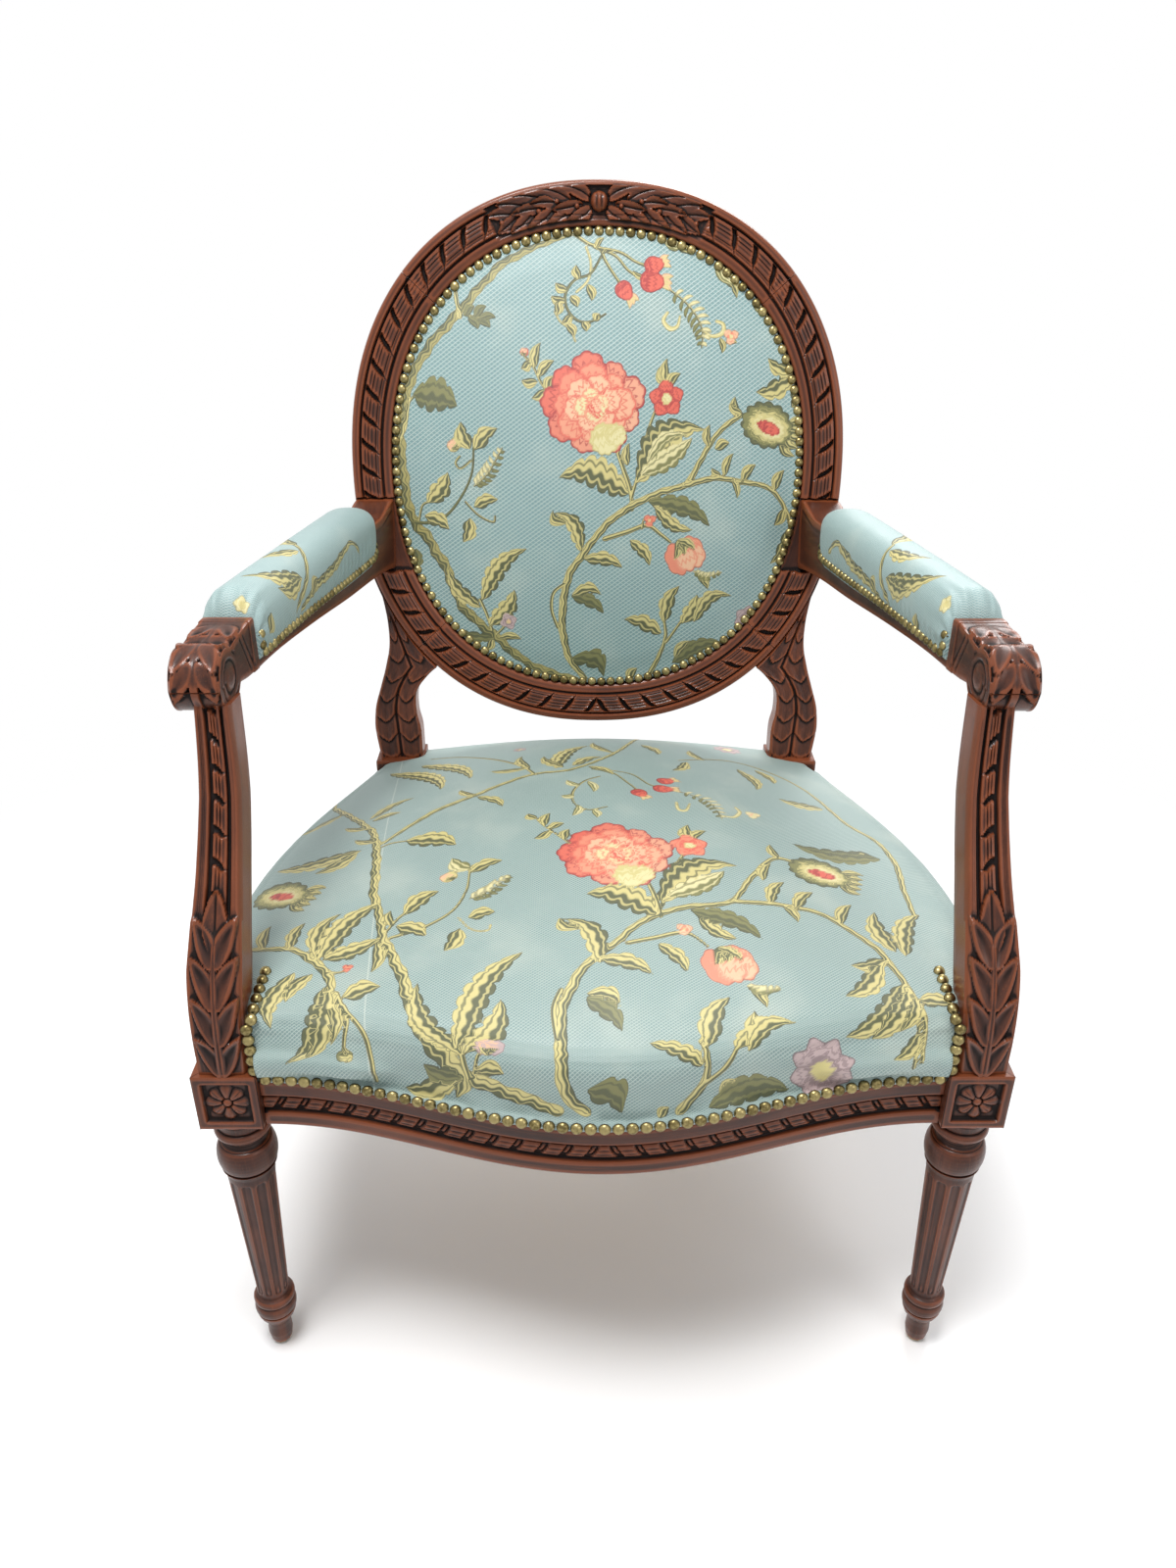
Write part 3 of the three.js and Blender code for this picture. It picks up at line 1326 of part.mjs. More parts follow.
for (let i = 0; i < strapCount; i += 1) {
  add(frame, `seat_long_strap_${i + 1}`, longStrap(i), jute);
  add(frame, `seat_cross_strap_${i + 1}`, crossStrap(i), jute);
}
for (let i = 0; i < backStrapCount; i += 1) {
  add(back, `back_upright_strap_${i + 1}`, backStrap(i, true), jute);
  add(back, `back_level_strap_${i + 1}`, backStrap(i, false), jute);
}

// The chair stands on z = 0 with the middle of its box over the origin.
chair.updateMatrixWorld(true);
const whole = new THREE.Box3().setFromObject(chair, true);
frame.position.set(-(whole.min.x + whole.max.x) / 2, -(whole.min.y + whole.max.y) / 2, -whole.min.z);

export default chair;
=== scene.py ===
"""A neoclassical open armchair: carved walnut frame, oval back, brocade covers and brass nails.

Sizes are in millimetres, in the drawing's own frame: the front legs stand on y = 0, the chair
faces -y, and x > 0 is the right side seen from the front. make_piece() turns them into metres.
"""
import math

import bpy
import numpy as np
from mathutils import Matrix, Vector


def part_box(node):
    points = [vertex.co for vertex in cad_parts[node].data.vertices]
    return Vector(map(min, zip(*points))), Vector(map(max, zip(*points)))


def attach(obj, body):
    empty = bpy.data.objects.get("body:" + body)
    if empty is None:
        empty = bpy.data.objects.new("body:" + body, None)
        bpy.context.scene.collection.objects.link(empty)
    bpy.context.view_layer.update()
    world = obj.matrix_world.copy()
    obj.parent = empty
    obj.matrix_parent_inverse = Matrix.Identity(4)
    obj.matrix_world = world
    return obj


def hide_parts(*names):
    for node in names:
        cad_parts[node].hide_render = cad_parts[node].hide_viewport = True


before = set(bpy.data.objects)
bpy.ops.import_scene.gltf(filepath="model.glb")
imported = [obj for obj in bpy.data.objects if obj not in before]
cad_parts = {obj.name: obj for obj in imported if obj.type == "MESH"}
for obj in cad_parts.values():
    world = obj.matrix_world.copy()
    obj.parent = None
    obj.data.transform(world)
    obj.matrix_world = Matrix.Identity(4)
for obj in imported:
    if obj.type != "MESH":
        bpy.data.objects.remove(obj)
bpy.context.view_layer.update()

MM = 0.001
foot_low, foot_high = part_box("front_glide_left")
SHIFT = np.array([0.0, (foot_low.y + foot_high.y) / 2, 0.0])  # from the drawing to the frame
SIDES = (("left", -1), ("right", 1))


def placed(name, data):
    """A new object of the scene."""
    made = bpy.data.objects.new(name, data)
    bpy.context.scene.collection.objects.link(made)
    return made


def drawn(points):
    """The frame's points, in metres, in the drawing's millimetres."""
    return np.array(points) / MM - SHIFT / MM


# ---- camera
PHOTO_WIDTH, PHOTO_HEIGHT = 1200, 1600  # pixels
SENSOR = 36
PITCH = math.radians(28.8)
YAW = math.radians(-0.46)
ROLL = math.radians(0.25)
EYE = np.array([-18.9, -726.0, 996.0])
FOCUS = 1200  # pixels of the photograph

sight = np.array([-math.sin(YAW) * math.cos(PITCH), math.cos(YAW) * math.cos(PITCH), -math.sin(PITCH)])
level = np.cross(sight, [0, 0, 1])
level /= np.linalg.norm(level)
upward = np.cross(level, sight)
across = level * math.cos(ROLL) + upward * math.sin(ROLL)
upright = upward * math.cos(ROLL) - level * math.sin(ROLL)

lens = bpy.data.cameras.new("camera")
lens.sensor_width = SENSOR
lens.lens = SENSOR * FOCUS / PHOTO_HEIGHT
lens.clip_start = 0.05
camera = placed("camera", lens)
turn = Matrix([list(row) for row in np.stack([across, upright, -sight], 1)])
camera.matrix_world = Matrix.Translation(Vector(EYE * MM + SHIFT)) @ turn.to_4x4()
bpy.context.scene.camera = camera


# ---- finishes
class Tone:
    """A value or colour inside a finish. Sums and products of values add the nodes for them."""

    def __init__(self, nodes, socket):
        self.nodes = nodes
        self.socket = socket

    def math(self, operation, *others):
        sockets = dict(enumerate([self, *others]))
        return self.nodes.node("ShaderNodeMath", {"operation": operation}, sockets)

    def __add__(self, other):
        return self.math("ADD", other)

    def __sub__(self, other):
        return self.math("SUBTRACT", other)

    def __rsub__(self, other):
        return self.nodes.node("ShaderNodeMath", {"operation": "SUBTRACT"}, {0: other, 1: self})

    def __mul__(self, other):
        return self.math("MULTIPLY", other)

    def __truediv__(self, other):
        return self.math("DIVIDE", other)

    def __pow__(self, other):
        return self.math("POWER", other)

    __radd__ = __add__
    __rmul__ = __mul__

    def __abs__(self):
        return self.math("ABSOLUTE")

    def folded(self):
        """Up and down between 0 and a half."""
        return self.math("PINGPONG", 0.5)

    def held(self, low=0.0, high=1.0):
        return self.math("MAXIMUM", low).math("MINIMUM", high)

    def spread(self, low, high, to_low=0.0, to_high=1.0):
        return self.nodes.node("ShaderNodeMapRange", {"interpolation_type": "SMOOTHSTEP"}, {
            "Value": self, "From Min": low, "From Max": high, "To Min": to_low, "To Max": to_high})

    def stretched(self, *factors):
        return self.nodes.node("ShaderNodeVectorMath", {"operation": "MULTIPLY"}, {0: self, 1: factors})


class Nodes:
    """The shader nodes of a material or of the world."""

    def __init__(self, owner):
        owner.use_nodes = True
        self.tree = owner.node_tree

    def node(self, kind, settings, sockets, out=0):
        """Any node, from its type, its settings and what its sockets get."""
        made = self.tree.nodes.new(kind)
        for key, value in settings.items():
            setattr(made, key, value)
        for key, value in sockets.items():
            port = made.inputs[key] if isinstance(key, int) else next(
                i for i in made.inputs if key in (i.identifier, i.name))
            if isinstance(value, Tone):
                self.tree.links.new(value.socket, port)
            else:
                port.default_value = value
        found = made.outputs[out] if isinstance(out, int) else next(
            o for o in made.outputs if out in (o.identifier, o.name))
        return Tone(self, found)

    def background(self):
        """1 for the rays that show the white background: the camera's, glossy and clear ones."""
        direct, glossy, clear = [self.node("ShaderNodeLightPath", {}, {}, f"Is {kind} Ray")
                                 for kind in ("Camera", "Glossy", "Transmission")]
        return (direct + glossy + clear).held()

    def end(self, name, share, first, second):
        """Lead a mix of two shaders to the output of that name."""
        mixed = self.node("ShaderNodeMixShader", {}, {0: share, 1: first, 2: second})
        self.tree.links.new(mixed.socket, self.tree.nodes[name].inputs["Surface"])


class Finish(Nodes):
    """A material with one shader, which its nodes feed."""

    def __init__(self, name, **constants):
        self.material = bpy.data.materials.new(name)
        super().__init__(self.material)
        self.shader = self.tree.nodes["Principled BSDF"]
        for key, value in constants.items():
            self.shader.inputs[key.replace("_", " ")].default_value = value

    def stored(self, name, out="Fac"):
        """A value kept with each point of the mesh."""
        return self.node("ShaderNodeAttribute", {"attribute_name": name}, {}, out)

    def place(self):
        return self.node("ShaderNodeTexCoord", {}, {}, "Object")

    def parts(self, vector):
        made = self.node("ShaderNodeSeparateXYZ", {}, {"Vector": vector})
        return [Tone(self, socket) for socket in made.socket.node.outputs]

    def joined(self, x, y, z):
        return self.node("ShaderNodeCombineXYZ", {}, {"X": x, "Y": y, "Z": z})

    def noise(self, vector, scale, detail=2.0, roughness=0.5):
        return self.node("ShaderNodeTexNoise", {}, {
            "Vector": vector, "Scale": scale, "Detail": detail, "Roughness": roughness})

    def mix(self, first, second, share):
        return self.node("ShaderNodeMix", {"data_type": "RGBA"}, {
            "Factor_Float": share, "A_Color": first, "B_Color": second}, "Result_Color")

    def layered(self, colour, *layers):
        """A colour with others laid over it, each by its own share."""
        for over, share in layers:
            colour = self.mix(colour, over, share)
        return colour

    def lit(self, colour, factor):
        """The colour times a value."""
        return self.node("ShaderNodeVectorMath", {"operation": "SCALE"}, {
            "Vector": colour, "Scale": factor})

    def bump(self, height, distance, strength=1.0):
        return self.node("ShaderNodeBump", {}, {
            "Height": height, "Distance": distance, "Strength": strength})

    def feed(self, **sockets):
        for key, value in sockets.items():
            self.tree.links.new(value.socket, self.shader.inputs[key.replace("_", " ")])
        return self.material


def paint(red, green, blue):
    """A colour given as it looks, from 0 to 255, as the shader wants it."""
    shares = [value / 255 for value in (red, green, blue)]
    return (*[s / 12.92 if s <= 0.04045 else ((s + 0.055) / 1.055) ** 2.4 for s in shares], 1.0)


def walnut_finish():
    """Red-brown polished wood: wax and painted shade in the hollows, rubbed edges with a painted highlight.
    """
    f = Finish("polished_walnut", Coat_Roughness=0.16, Specular_IOR_Level=0.24)
    grain = f.stored("grain", "Vector")  # metres along, up and across the fibres
    hollow = f.stored("hollow")
    bands = f.noise(grain.stretched(5, 55, 55), 1.0, 3.0, 0.6)
    fibres = f.noise(grain.stretched(22, 900, 900), 1.0, 4.0, 0.6)
    pores = f.noise(grain.stretched(60, 2600, 2600), 1.0, 2.0, 0.5)
    cloud = f.noise(f.place(), 16.0, 3.0, 0.55)
    # Painted shade and highlight: hollows go darker as wax and shade, raised edges lighter as wear and
    # highlight.
    wear_and_highlight = (hollow * -1.0).spread(0.05, 0.7)
    wax_and_shade = hollow.spread(0.05, 0.6)
    colour = f.layered(
        paint(52, 27, 19),
        (paint(95, 50, 31), bands.spread(0.3, 0.72)),
        (paint(136, 72, 40), fibres.spread(0.5, 0.78) * 0.4),
        (paint(44, 20, 14), cloud.spread(0.45, 0.75) * 0.6),
        (paint(34, 15, 11), pores.spread(0.6, 0.7) * 0.5),
        # Rubbed wear with a painted highlight on the edges, then wax with painted shade in the hollows.
        (paint(150, 80, 46), wear_and_highlight * 0.5),
        (paint(13, 6, 5), wax_and_shade * 0.95))
    relief = fibres * 0.5 + pores.spread(0.58, 0.7) * -0.6
    return f.feed(
        Base_Color=colour,
        Roughness=(0.32 + cloud * 0.14 + wax_and_shade * 0.3 - wear_and_highlight * 0.06).held(0.2, 0.9),
        Coat_Weight=(0.2 - wax_and_shade * 0.18).held(),
        Normal=f.bump(relief, 0.0002, 0.35),
    )


def beech_finish():
    """Plain unfinished wood of the hidden blocks, with saw marks."""
    f = Finish("plain_beech")
    place = f.place()
    rings = f.noise(place.stretched(16, 16, 160), 1.0, 3.0)
    flecks = f.noise(place.stretched(140, 900, 900), 1.0, 2.0)
    colour = f.layered(paint(150, 112, 76), (paint(186, 148, 106), rings.spread(0.35, 0.7)),
                       (paint(110, 76, 50), flecks.spread(0.6, 0.72) * 0.6))
    return f.feed(Base_Color=colour, Roughness=0.7 + rings * 0.15,
                  Normal=f.bump(flecks + rings * 0.5, 0.0004, 0.5))


def brass_finish():
    """Aged brass of the nail heads, darker towards each head's rim with painted shade, and duller there."""
    f = Finish("antique_brass")
    tone = f.stored("tone")
    # Painted shade: each head darkens towards its rim, where it meets the cloth.
    rim = f.stored("rim")
    blotch = f.noise(f.place(), 420.0, 3.0)
    colour = f.layered(paint(158, 144, 98), (paint(100, 88, 54), (blotch + tone * 0.4).spread(0.3, 0.8)),
                       (paint(40, 32, 20), rim.spread(0.2, 1.0) * 0.9))
    return f.feed(Base_Color=colour, Metallic=0.97 - rim * 0.25,
                  Roughness=(0.26 + blotch * 0.12 + rim * 0.3).held(),
                  Normal=f.bump(blotch, 0.0002, 0.4))


def glide_finish():
    """Worn metal of the domed feet under the legs."""
    f = Finish("glide_metal", IOR=1.5)
    scratch = f.noise(f.place().stretched(1, 1, 9), 240.0, 3.0)
    colour = f.mix(paint(168, 150, 108), paint(112, 98, 66), scratch.spread(0.3, 0.7))
    return f.feed(Base_Color=colour, Metallic=scratch * 0.06 + 0.94, Roughness=scratch * 0.3 + 0.3,
                  Normal=f.bump(scratch, 0.0002, 0.3))


def brocade_finish(name, ground, cell):
    """Woven furnishing cloth: a diamond lattice ground, its cells to a scale, with ribbed figures."""
    f = Finish(name, Sheen_Weight=0.12, Sheen_Roughness=0.4, Specular_IOR_Level=0.8)
    u, v, seam = f.parts(f.stored("cloth", "Vector"))
    depth = f.stored("depth")
    figure = depth.spread(-0.3, 0.3)
    tone = f.stored("tone")
    half = tone.spread(-0.14, 0.14)
    vein = abs(abs(tone) - 0.55).spread(0.05, 0.15, 0.75, 0.0)
    tint = f.mix(f.stored("dark", "Vector"), f.stored("light", "Vector"), half + (1.0 - half * 2.0) * vein)
    across_cells, up_cells = u / (6.2 * cell), v / (4.5 * cell)
    rising = (across_cells - up_cells).folded().spread(0.04, 0.2, 1.0, 0.0)
    falling = (across_cells + up_cells).folded().spread(0.04, 0.2, 0.6, 0.0)
    lattice = rising.math("MAXIMUM", falling)
    threads = f.noise(f.joined(u * 0.9, v * 3.4, 0.0), 1.0, 2.0, 0.6)
    slubs = f.noise(f.joined(u * 0.05, v * 0.9, 0.0), 1.0, 2.0)
    ribs = (v * 1.15 + u * 0.35).folded() * 2.0
    # Painted sheen: broad pale blotches of light on the ground, and a slow swell of brightness over the
    # cloth.
    sheen_blotches = f.noise(f.joined(u * 0.012, v * 0.012, 0.0), 1.0, 3.0)
    satin = f.layered(
        ground,
        (paint(206, 206, 188), sheen_blotches.spread(0.48, 0.75) * 0.22),
        (paint(222, 232, 224), lattice * 0.5),
        (paint(236, 236, 220), abs(seam).spread(0.3, 0.9, 0.28, 0.0)))
    outline = figure - depth.spread(0.1, 1.2)
    colour = f.mix(satin, f.lit(tint, 1.0 - (1.0 - ribs) * 0.2 - outline * 0.5), figure)
    colour = f.lit(colour, 0.84 + threads * 0.22 + slubs * 0.08)
    # Painted sheen: the same blotches brighten the colour a little.
    colour = f.lit(colour, 0.95 + sheen_blotches * 0.1)
    height = (1.0 - figure) * lattice * 0.6 + figure * (ribs * 0.35 + 0.55) + threads * 0.3
    return f.feed(Base_Color=colour, Roughness=(0.42 + threads * 0.14).held(),
                  Normal=f.bump(height, 0.00045, 0.75))


def webbing_finish():
    """Jute straps in plain weave."""
    f = Finish("jute_webbing")
    place = f.place()
    x, y, z = f.parts(place)
    weave = ((x * 420).folded() + (y * 420 + z * 420).folded()).held()
    hairs = f.noise(place, 900.0, 2.0)
    colour = f.mix(paint(150, 124, 80), paint(196, 170, 122), weave * 0.6 + hairs * 0.4)
    return f.feed(Base_Color=colour, Roughness=0.85 + hairs * 0.1,
                  Normal=f.bump(weave + hairs * 0.5, 0.0006, 0.8))


def hessian_finish():
    """Coarse open sacking."""
    f = Finish("hessian_cloth")
    place = f.place()
    x, y, z = f.parts(place)
    weave = (x * 330).folded() * ((y + z) * 330).folded() * 4.0
    hairs = f.noise(place, 700.0, 2.0)
    colour = f.mix(paint(96, 78, 50), paint(164, 138, 96), weave.held() * 0.7 + hairs * 0.3)
    return f.feed(Base_Color=colour, Roughness=0.9 + hairs * 0.08,
                  Normal=f.bump(weave + hairs * 0.4, 0.0005, 0.9))


WALNUT = walnut_finish()
BEECH = beech_finish()
BRASS = brass_finish()
GLIDE = glide_finish()
# One cloth covers seat, back and arms: its ground colours differ between them as painted light and shade,
# lightest on the arms.
SEAT_BROCADE = brocade_finish("woven_brocade_seat", paint(122, 147, 143), 0.6)
BACK_BROCADE = brocade_finish("woven_brocade_back", paint(119, 151, 151), 1.0)
ARM_BROCADE = brocade_finish("woven_brocade_arms", paint(134, 163, 163), 0.5)
JUTE = webbing_finish()
HESSIAN = hessian_finish()


# ---- making meshes
def net(rows, columns, round_columns=True, start=0):
    """The four-sided faces of points laid out row by row, closed round the columns or not."""
    r = np.arange(rows - 1)[:, None] * columns
    c = np.arange(columns if round_columns else columns - 1)[None]
    following = (c + 1) % columns
    corners = [r + c, r + following, r + columns + following, r + columns + c]
    return np.stack(corners, -1).reshape(-1, 4) + start


def rim_of(rows, columns):
    """The outermost points of a grid, in order round it."""
    index = np.arange(rows * columns).reshape(rows, columns)
    return np.concatenate([index[0, :-1], index[:-1, -1], index[-1, :0:-1], index[:0:-1, 0]])


def tube(sections):
    """A closed body through sections, each a ring of as many points, with its ends closed."""
    rows, columns = sections.shape[:2]
    points = [sections.reshape(-1, 3), sections[0].mean(0)[None], sections[-1].mean(0)[None]]
    ring = np.arange(columns)
    following = (ring + 1) % columns
    first, last = rows * columns, rows * columns + 1
    end = (rows - 1) * columns
    caps = [np.stack([following, ring, np.full(columns, first)], -1),
            np.stack([end + ring, end + following, np.full(columns, last)], -1)]
    return np.concatenate(points), [net(rows, columns), np.concatenate(caps)]


def timber(sections, grain=(2, 0, 1)):
    """A tube of wood. grain names the axes along its fibres, then across them."""
    points, faces = tube(sections)
    return points, faces, points[:, grain]


def join(*bodies):
    """Several bodies, each (points, faces, grain), as one."""
    points, faces, grain, start = [], [], [], 0
    for body_points, body_faces, body_grain in bodies:
        points.append(body_points)
        faces += [f + start for f in facing_out(body_points, body_faces)]
        grain.append(body_grain)
        start += len(body_points)
    return np.concatenate(points), faces, np.concatenate(grain)


def volume(points, faces):
    """Six times the volume inside some faces, under 0 if they look inwards."""
    total = 0.0
    for corners in faces:
        for second, third in [(1, 2), (2, 3)][: corners.shape[1] - 2]:
            a, b, c = (points[corners[:, k]] for k in (0, second, third))
            total += np.einsum("ij,ij->i", a, np.cross(b, c)).sum()
    return total


def facing_out(points, faces):
    """The faces, turned round if they look inwards."""
    return faces if volume(points, faces) > 0 else [corners[:, ::-1] for corners in faces]


def make_piece(name, points, faces, material, slot=None, nodes=(), sharp=38, **stored):
    """One mesh of the chair, riding on its frame. stored holds values for each point."""
    mesh = bpy.data.meshes.new(name)
    mesh.vertices.add(len(points))
    mesh.vertices.foreach_set("co", (np.asarray(points) * MM + SHIFT).astype(np.float32).ravel())
    corners = np.concatenate([f.ravel() for f in faces]).astype(np.int32)
    counts = np.concatenate([np.full(len(f), f.shape[1]) for f in faces])
    mesh.loops.add(len(corners))
    mesh.loops.foreach_set("vertex_index", corners)
    mesh.polygons.add(len(counts))
    mesh.polygons.foreach_set("loop_start", np.concatenate([[0], np.cumsum(counts)[:-1]]).astype(np.int32))
    mesh.update(calc_edges=True)
    mesh.validate()
    mesh.polygons.foreach_set("use_smooth", np.ones(len(mesh.polygons), bool))
    mesh.set_sharp_from_angle(angle=math.radians(sharp))
    for key, values in stored.items():
        values = np.asarray(values, np.float32)
        kind, field = {1: ("FLOAT", "value"), 3: ("FLOAT_VECTOR", "vector"), 4: ("FLOAT_COLOR", "color")}[
            1 if values.ndim == 1 else values.shape[1]]
        mesh.attributes.new(key, kind, "POINT").data.foreach_set(field, values.ravel())
    mesh.materials.append(material)
    piece = placed(name, mesh)
    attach(piece, "root")
    if nodes:
        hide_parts(*nodes)
    return piece


def read(items, field, kind=np.float32, width=3):
    """One field of all items, as a row of numbers for each."""
    values = np.zeros(len(items) * width, kind)
    items.foreach_get(field, values)
    return values.reshape(-1, width)


def hollows(mesh, passes=14, depth=0.0007):
    """How deep each point lies in a hollow, from 0 to 1, or stands on an edge, down to -1."""
    count = len(mesh.vertices)
    place = read(mesh.vertices, "co").astype(float)
    normal = read(mesh.vertex_normals, "vector")
    a, b = read(mesh.edges, "vertices", np.int32, 2).T
    near = np.maximum(np.bincount(a, minlength=count) + np.bincount(b, minlength=count), 1)
    soft = place.copy()
    for _ in range(passes):
        for k in range(3):
            total = np.bincount(a, soft[b, k], count) + np.bincount(b, soft[a, k], count)
            soft[:, k] = 0.5 * soft[:, k] + 0.5 * total / near
    return np.clip(np.einsum("ij,ij->i", soft - place, normal) / depth, -1, 1)


def wooden(name, body, *nodes):
    """A carved walnut piece, from (points, faces, grain)."""
    points, faces, grain = join(body)
    piece = make_piece(name, points, faces, WALNUT, "walnut", nodes, grain=grain * MM)
    deep = hollows(piece.data)
    piece.data.attributes.new("hollow", "FLOAT", "POINT").data.foreach_set("value", deep.astype(np.float32))
    return piece


def curve(points, count):
    """A smooth line through points, at evenly shared steps."""
    points = np.asarray(points, float)
    place = np.linspace(0, len(points) - 1, count)
    i = np.minimum(place.astype(int), len(points) - 2)
    t = (place - i)[:, None]
    p0, p1 = points[np.maximum(i - 1, 0)], points[i]
    p2, p3 = points[i + 1], points[np.minimum(i + 2, len(points) - 1)]
    pull1, pull2 = (p2 - p0) / 2, (p3 - p1) / 2
    return ((2 * p1 - 2 * p2 + pull1 + pull2) * t**3 + (-3 * p1 + 3 * p2 - 2 * pull1 - pull2) * t**2
            + pull1 * t + p1)


def distances(steps):
    """How far along a line each of its points lies, from the lengths of its steps."""
    return np.concatenate([[0], np.cumsum(steps)])


def along(rows, place):
    """The value at a place between the rows (place, value), by straight steps."""
    places, values = zip(*rows)
    return np.interp(place, places, values)


def soft_step(low, high, value):
    """0 up to low, 1 from high on, and smooth between them."""
    t = np.clip((value - low) / (high - low), 0, 1)
    return t * t * (3 - 2 * t)


def ridge(value, middle, half):
    """1 at the middle, falling off softly on both sides."""
    return np.exp(-(((value - middle) / half) ** 2))


def dome(value, middle, half):
    """A half-round of height 1 over the middle, 0 beyond half."""
    return np.sqrt(np.clip(1 - ((value - middle) / half) ** 2, 0, 1))


def reeded_bars(run, off, pitch, half, slant, cut, reeds):
    """Relief of a reeded bar cut by slanting gouges, deep at the outer end and fine at the inner."""
    share = off / half
    phase = (run - off * slant) / pitch
    gap = (phase - np.floor(phase) - 0.5) * pitch + 0.9 * np.sin(share * np.pi)
    wide = 2.7 - 1.9 * soft_step(0.15, 0.7, share)
    deep = cut * (1 - 0.8 * soft_step(0.2, 0.75, share))
    notch = np.exp(-((np.abs(gap) / wide) ** 4)) * (np.abs(share) < 1)
    lip = 0.5 * ridge(np.abs(gap) - wide, 0.9, 0.7)
    lines = sum(ridge(share, place, 0.055) for place in reeds)
    return dome(share, 0, 1.2) * 2.0 + 0.7 + lip - 0.9 * lines * (1 - notch) - notch * deep


def bars_and_beads(run, off, pitch, half, slant, cut):
    """Relief of short reeded bars with a small slanting bead between each two."""
    share = off / half
    phase = (run + off * slant) / pitch
    gap = (phase - np.floor(phase) - 0.5) * pitch
    bar = soft_step(0, 1.0, np.abs(gap) - 2.5) * dome(share, 0, 1.08)
    lines = sum(ridge(share, place, 0.15) for place in (-0.4, 0.3))
    bead = dome(gap, 0, 1.9) * dome(share, 0.1, 0.6)
    return np.maximum(bar * (3.6 - 0.9 * lines), bead * 2.6) - cut


# ---- seat frame
RAIL_TOP, RAIL_SHOULDER, RAIL_BOTTOM, RAIL_THICKNESS = 341, 336, 289, 32
CARVED_BAND, HALF_BAND = 312.2, 5.9  # height and half width of the carved strip
FRONT_CORNER, FRONT_BOW = -20, 54  # the front rail's face at its ends, and its bow at the middle
FRONT_END = 274  # where the front rail meets the leg blocks
SIDE_FRONT, SIDE_REAR, SIDE_BOW = 26, 463, 33
WIDE_FRONT, WIDE_REAR = 320, 245  # half the width over the side rails' ends
FRONT_LEG, REAR_LEG, FRAME_DEPTH = 300, 224, 485
REAR_FACE = 504


def front_face(x):
    """The front rail's serpentine face in plan."""
    share = np.minimum(np.abs(x) / FRONT_END, 1)
    return FRONT_CORNER - FRONT_BOW * (0.5 + 0.5 * np.cos(np.pi * share))


def side_face(y):
    """A side rail's bowed face in plan."""
    share = np.clip((y - SIDE_FRONT) / (SIDE_REAR - SIDE_FRONT), 0, 1)
    return WIDE_FRONT + (WIDE_REAR - WIDE_FRONT) * share + SIDE_BOW * np.sin(np.pi * share**0.88)


def rail_relief(run, z, mirror=True):
    """How far a rail's outer face stands out, for the place along it and the height."""
    low = along([(289, -4.2), (290, -2.4), (291.5, -1.6), (301.6, -1.4), (303, -2.2), (303.8, -6.2),
                 (305.8, -6.2), (306.6, -5.8), (317.8, -5.8), (318.6, -6.6), (320.2, -6.6), (321, -3.0),
                 (322.2, -1.0), (328, -0.8), (334.8, -0.8), (335.8, -1.2)], z)
    bar = bars_and_beads(np.abs(run) if mirror else run, z - CARVED_BAND, 19.3, 5.8, 0.6, 1.5)
    return np.where(np.abs(z - CARVED_BAND) < HALF_BAND, low + 1.2 + np.maximum(bar, -2.2), low)


def lengthwise(runs, sections):
    """Each point's run along a tube of such sections, for the grain."""
    return np.concatenate([np.repeat(runs, sections.shape[1]), runs[[0, -1]]])


def capped(values):
    """A value for each point of a tube, with zeros for the middles of its two ends."""
    return np.concatenate([values.ravel(), [0, 0]])


def rail_body(line, outward, runs, mirror):
    """A moulded rail along a line in plan, with the way outwards at each place."""
    z_face = np.concatenate([np.linspace(RAIL_BOTTOM, 302, 11), np.linspace(303, 323, 30),
                             np.linspace(324, RAIL_SHOULDER, 11)])
    out = rail_relief(runs[:, None], z_face[None], mirror)
    rest_out = np.array([-4, -4, -12, -22, -RAIL_THICKNESS, -RAIL_THICKNESS, -RAIL_THICKNESS, -22, -12])
    rest_up = np.array([RAIL_SHOULDER, *[RAIL_TOP] * 4, 315, *[RAIL_BOTTOM] * 3])
    offsets = np.concatenate([out, np.tile(rest_out, (len(runs), 1))], 1)
    heights = np.tile(np.concatenate([z_face, rest_up]), (len(runs), 1))
    sections = np.stack([line[:, None, 0] + outward[:, None, 0] * offsets,
                         line[:, None, 1] + outward[:, None, 1] * offsets, heights], -1)
    points, faces = tube(sections)
    return points, faces, np.stack([lengthwise(runs, sections), points[:, 2], capped(offsets)], 1)


def front_rail():
    x = np.linspace(-FRONT_END + 0.3, FRONT_END - 0.3, 470)
    line = np.stack([x, front_face(x)], 1)
    return rail_body(line, np.tile([0.0, -1.0], (len(x), 1)), x, True)


def side_rail(side):
    y = np.linspace(SIDE_FRONT + 0.3, SIDE_REAR - 0.3, 380)
    line = np.stack([side * side_face(y), y], 1)
    return rail_body(line, np.tile([float(side), 0.0], (len(y), 1)), y, False)


def rear_rail():
    x = np.linspace(-REAR_LEG + 27.3, REAR_LEG - 27.3, 60)
    z = np.array([RAIL_BOTTOM, 289.8, 291, 300, 312, 324, 335, RAIL_SHOULDER, RAIL_SHOULDER,
                  *[RAIL_TOP] * 4, 315, 290.5, RAIL_BOTTOM])
    out = np.array([-1.5, -0.5, 0, 0, 0, 0, 0, -0.3, -4, -4, -10, -20, -28, -28, -28, -27])
    sections = np.stack(np.broadcast_arrays(x[:, None], (REAR_FACE + out)[None], z[None]), -1)
    return timber(sections.astype(float), (0, 1, 2))


# ---- legs
BLOCK_BOTTOM, FRONT_BLOCK_TOP, REAR_BLOCK_TOP = 292, 347, 372


def bead(low, high, inner, outer, count=7):
    """Points of a half-round between two heights of a turning."""
    angle = np.linspace(-np.pi / 2, np.pi / 2, count)
    middle, half = (low + high) / 2, (high - low) / 2
    return [(middle + half * math.sin(a), inner + (outer - inner) * math.cos(a)) for a in angle]


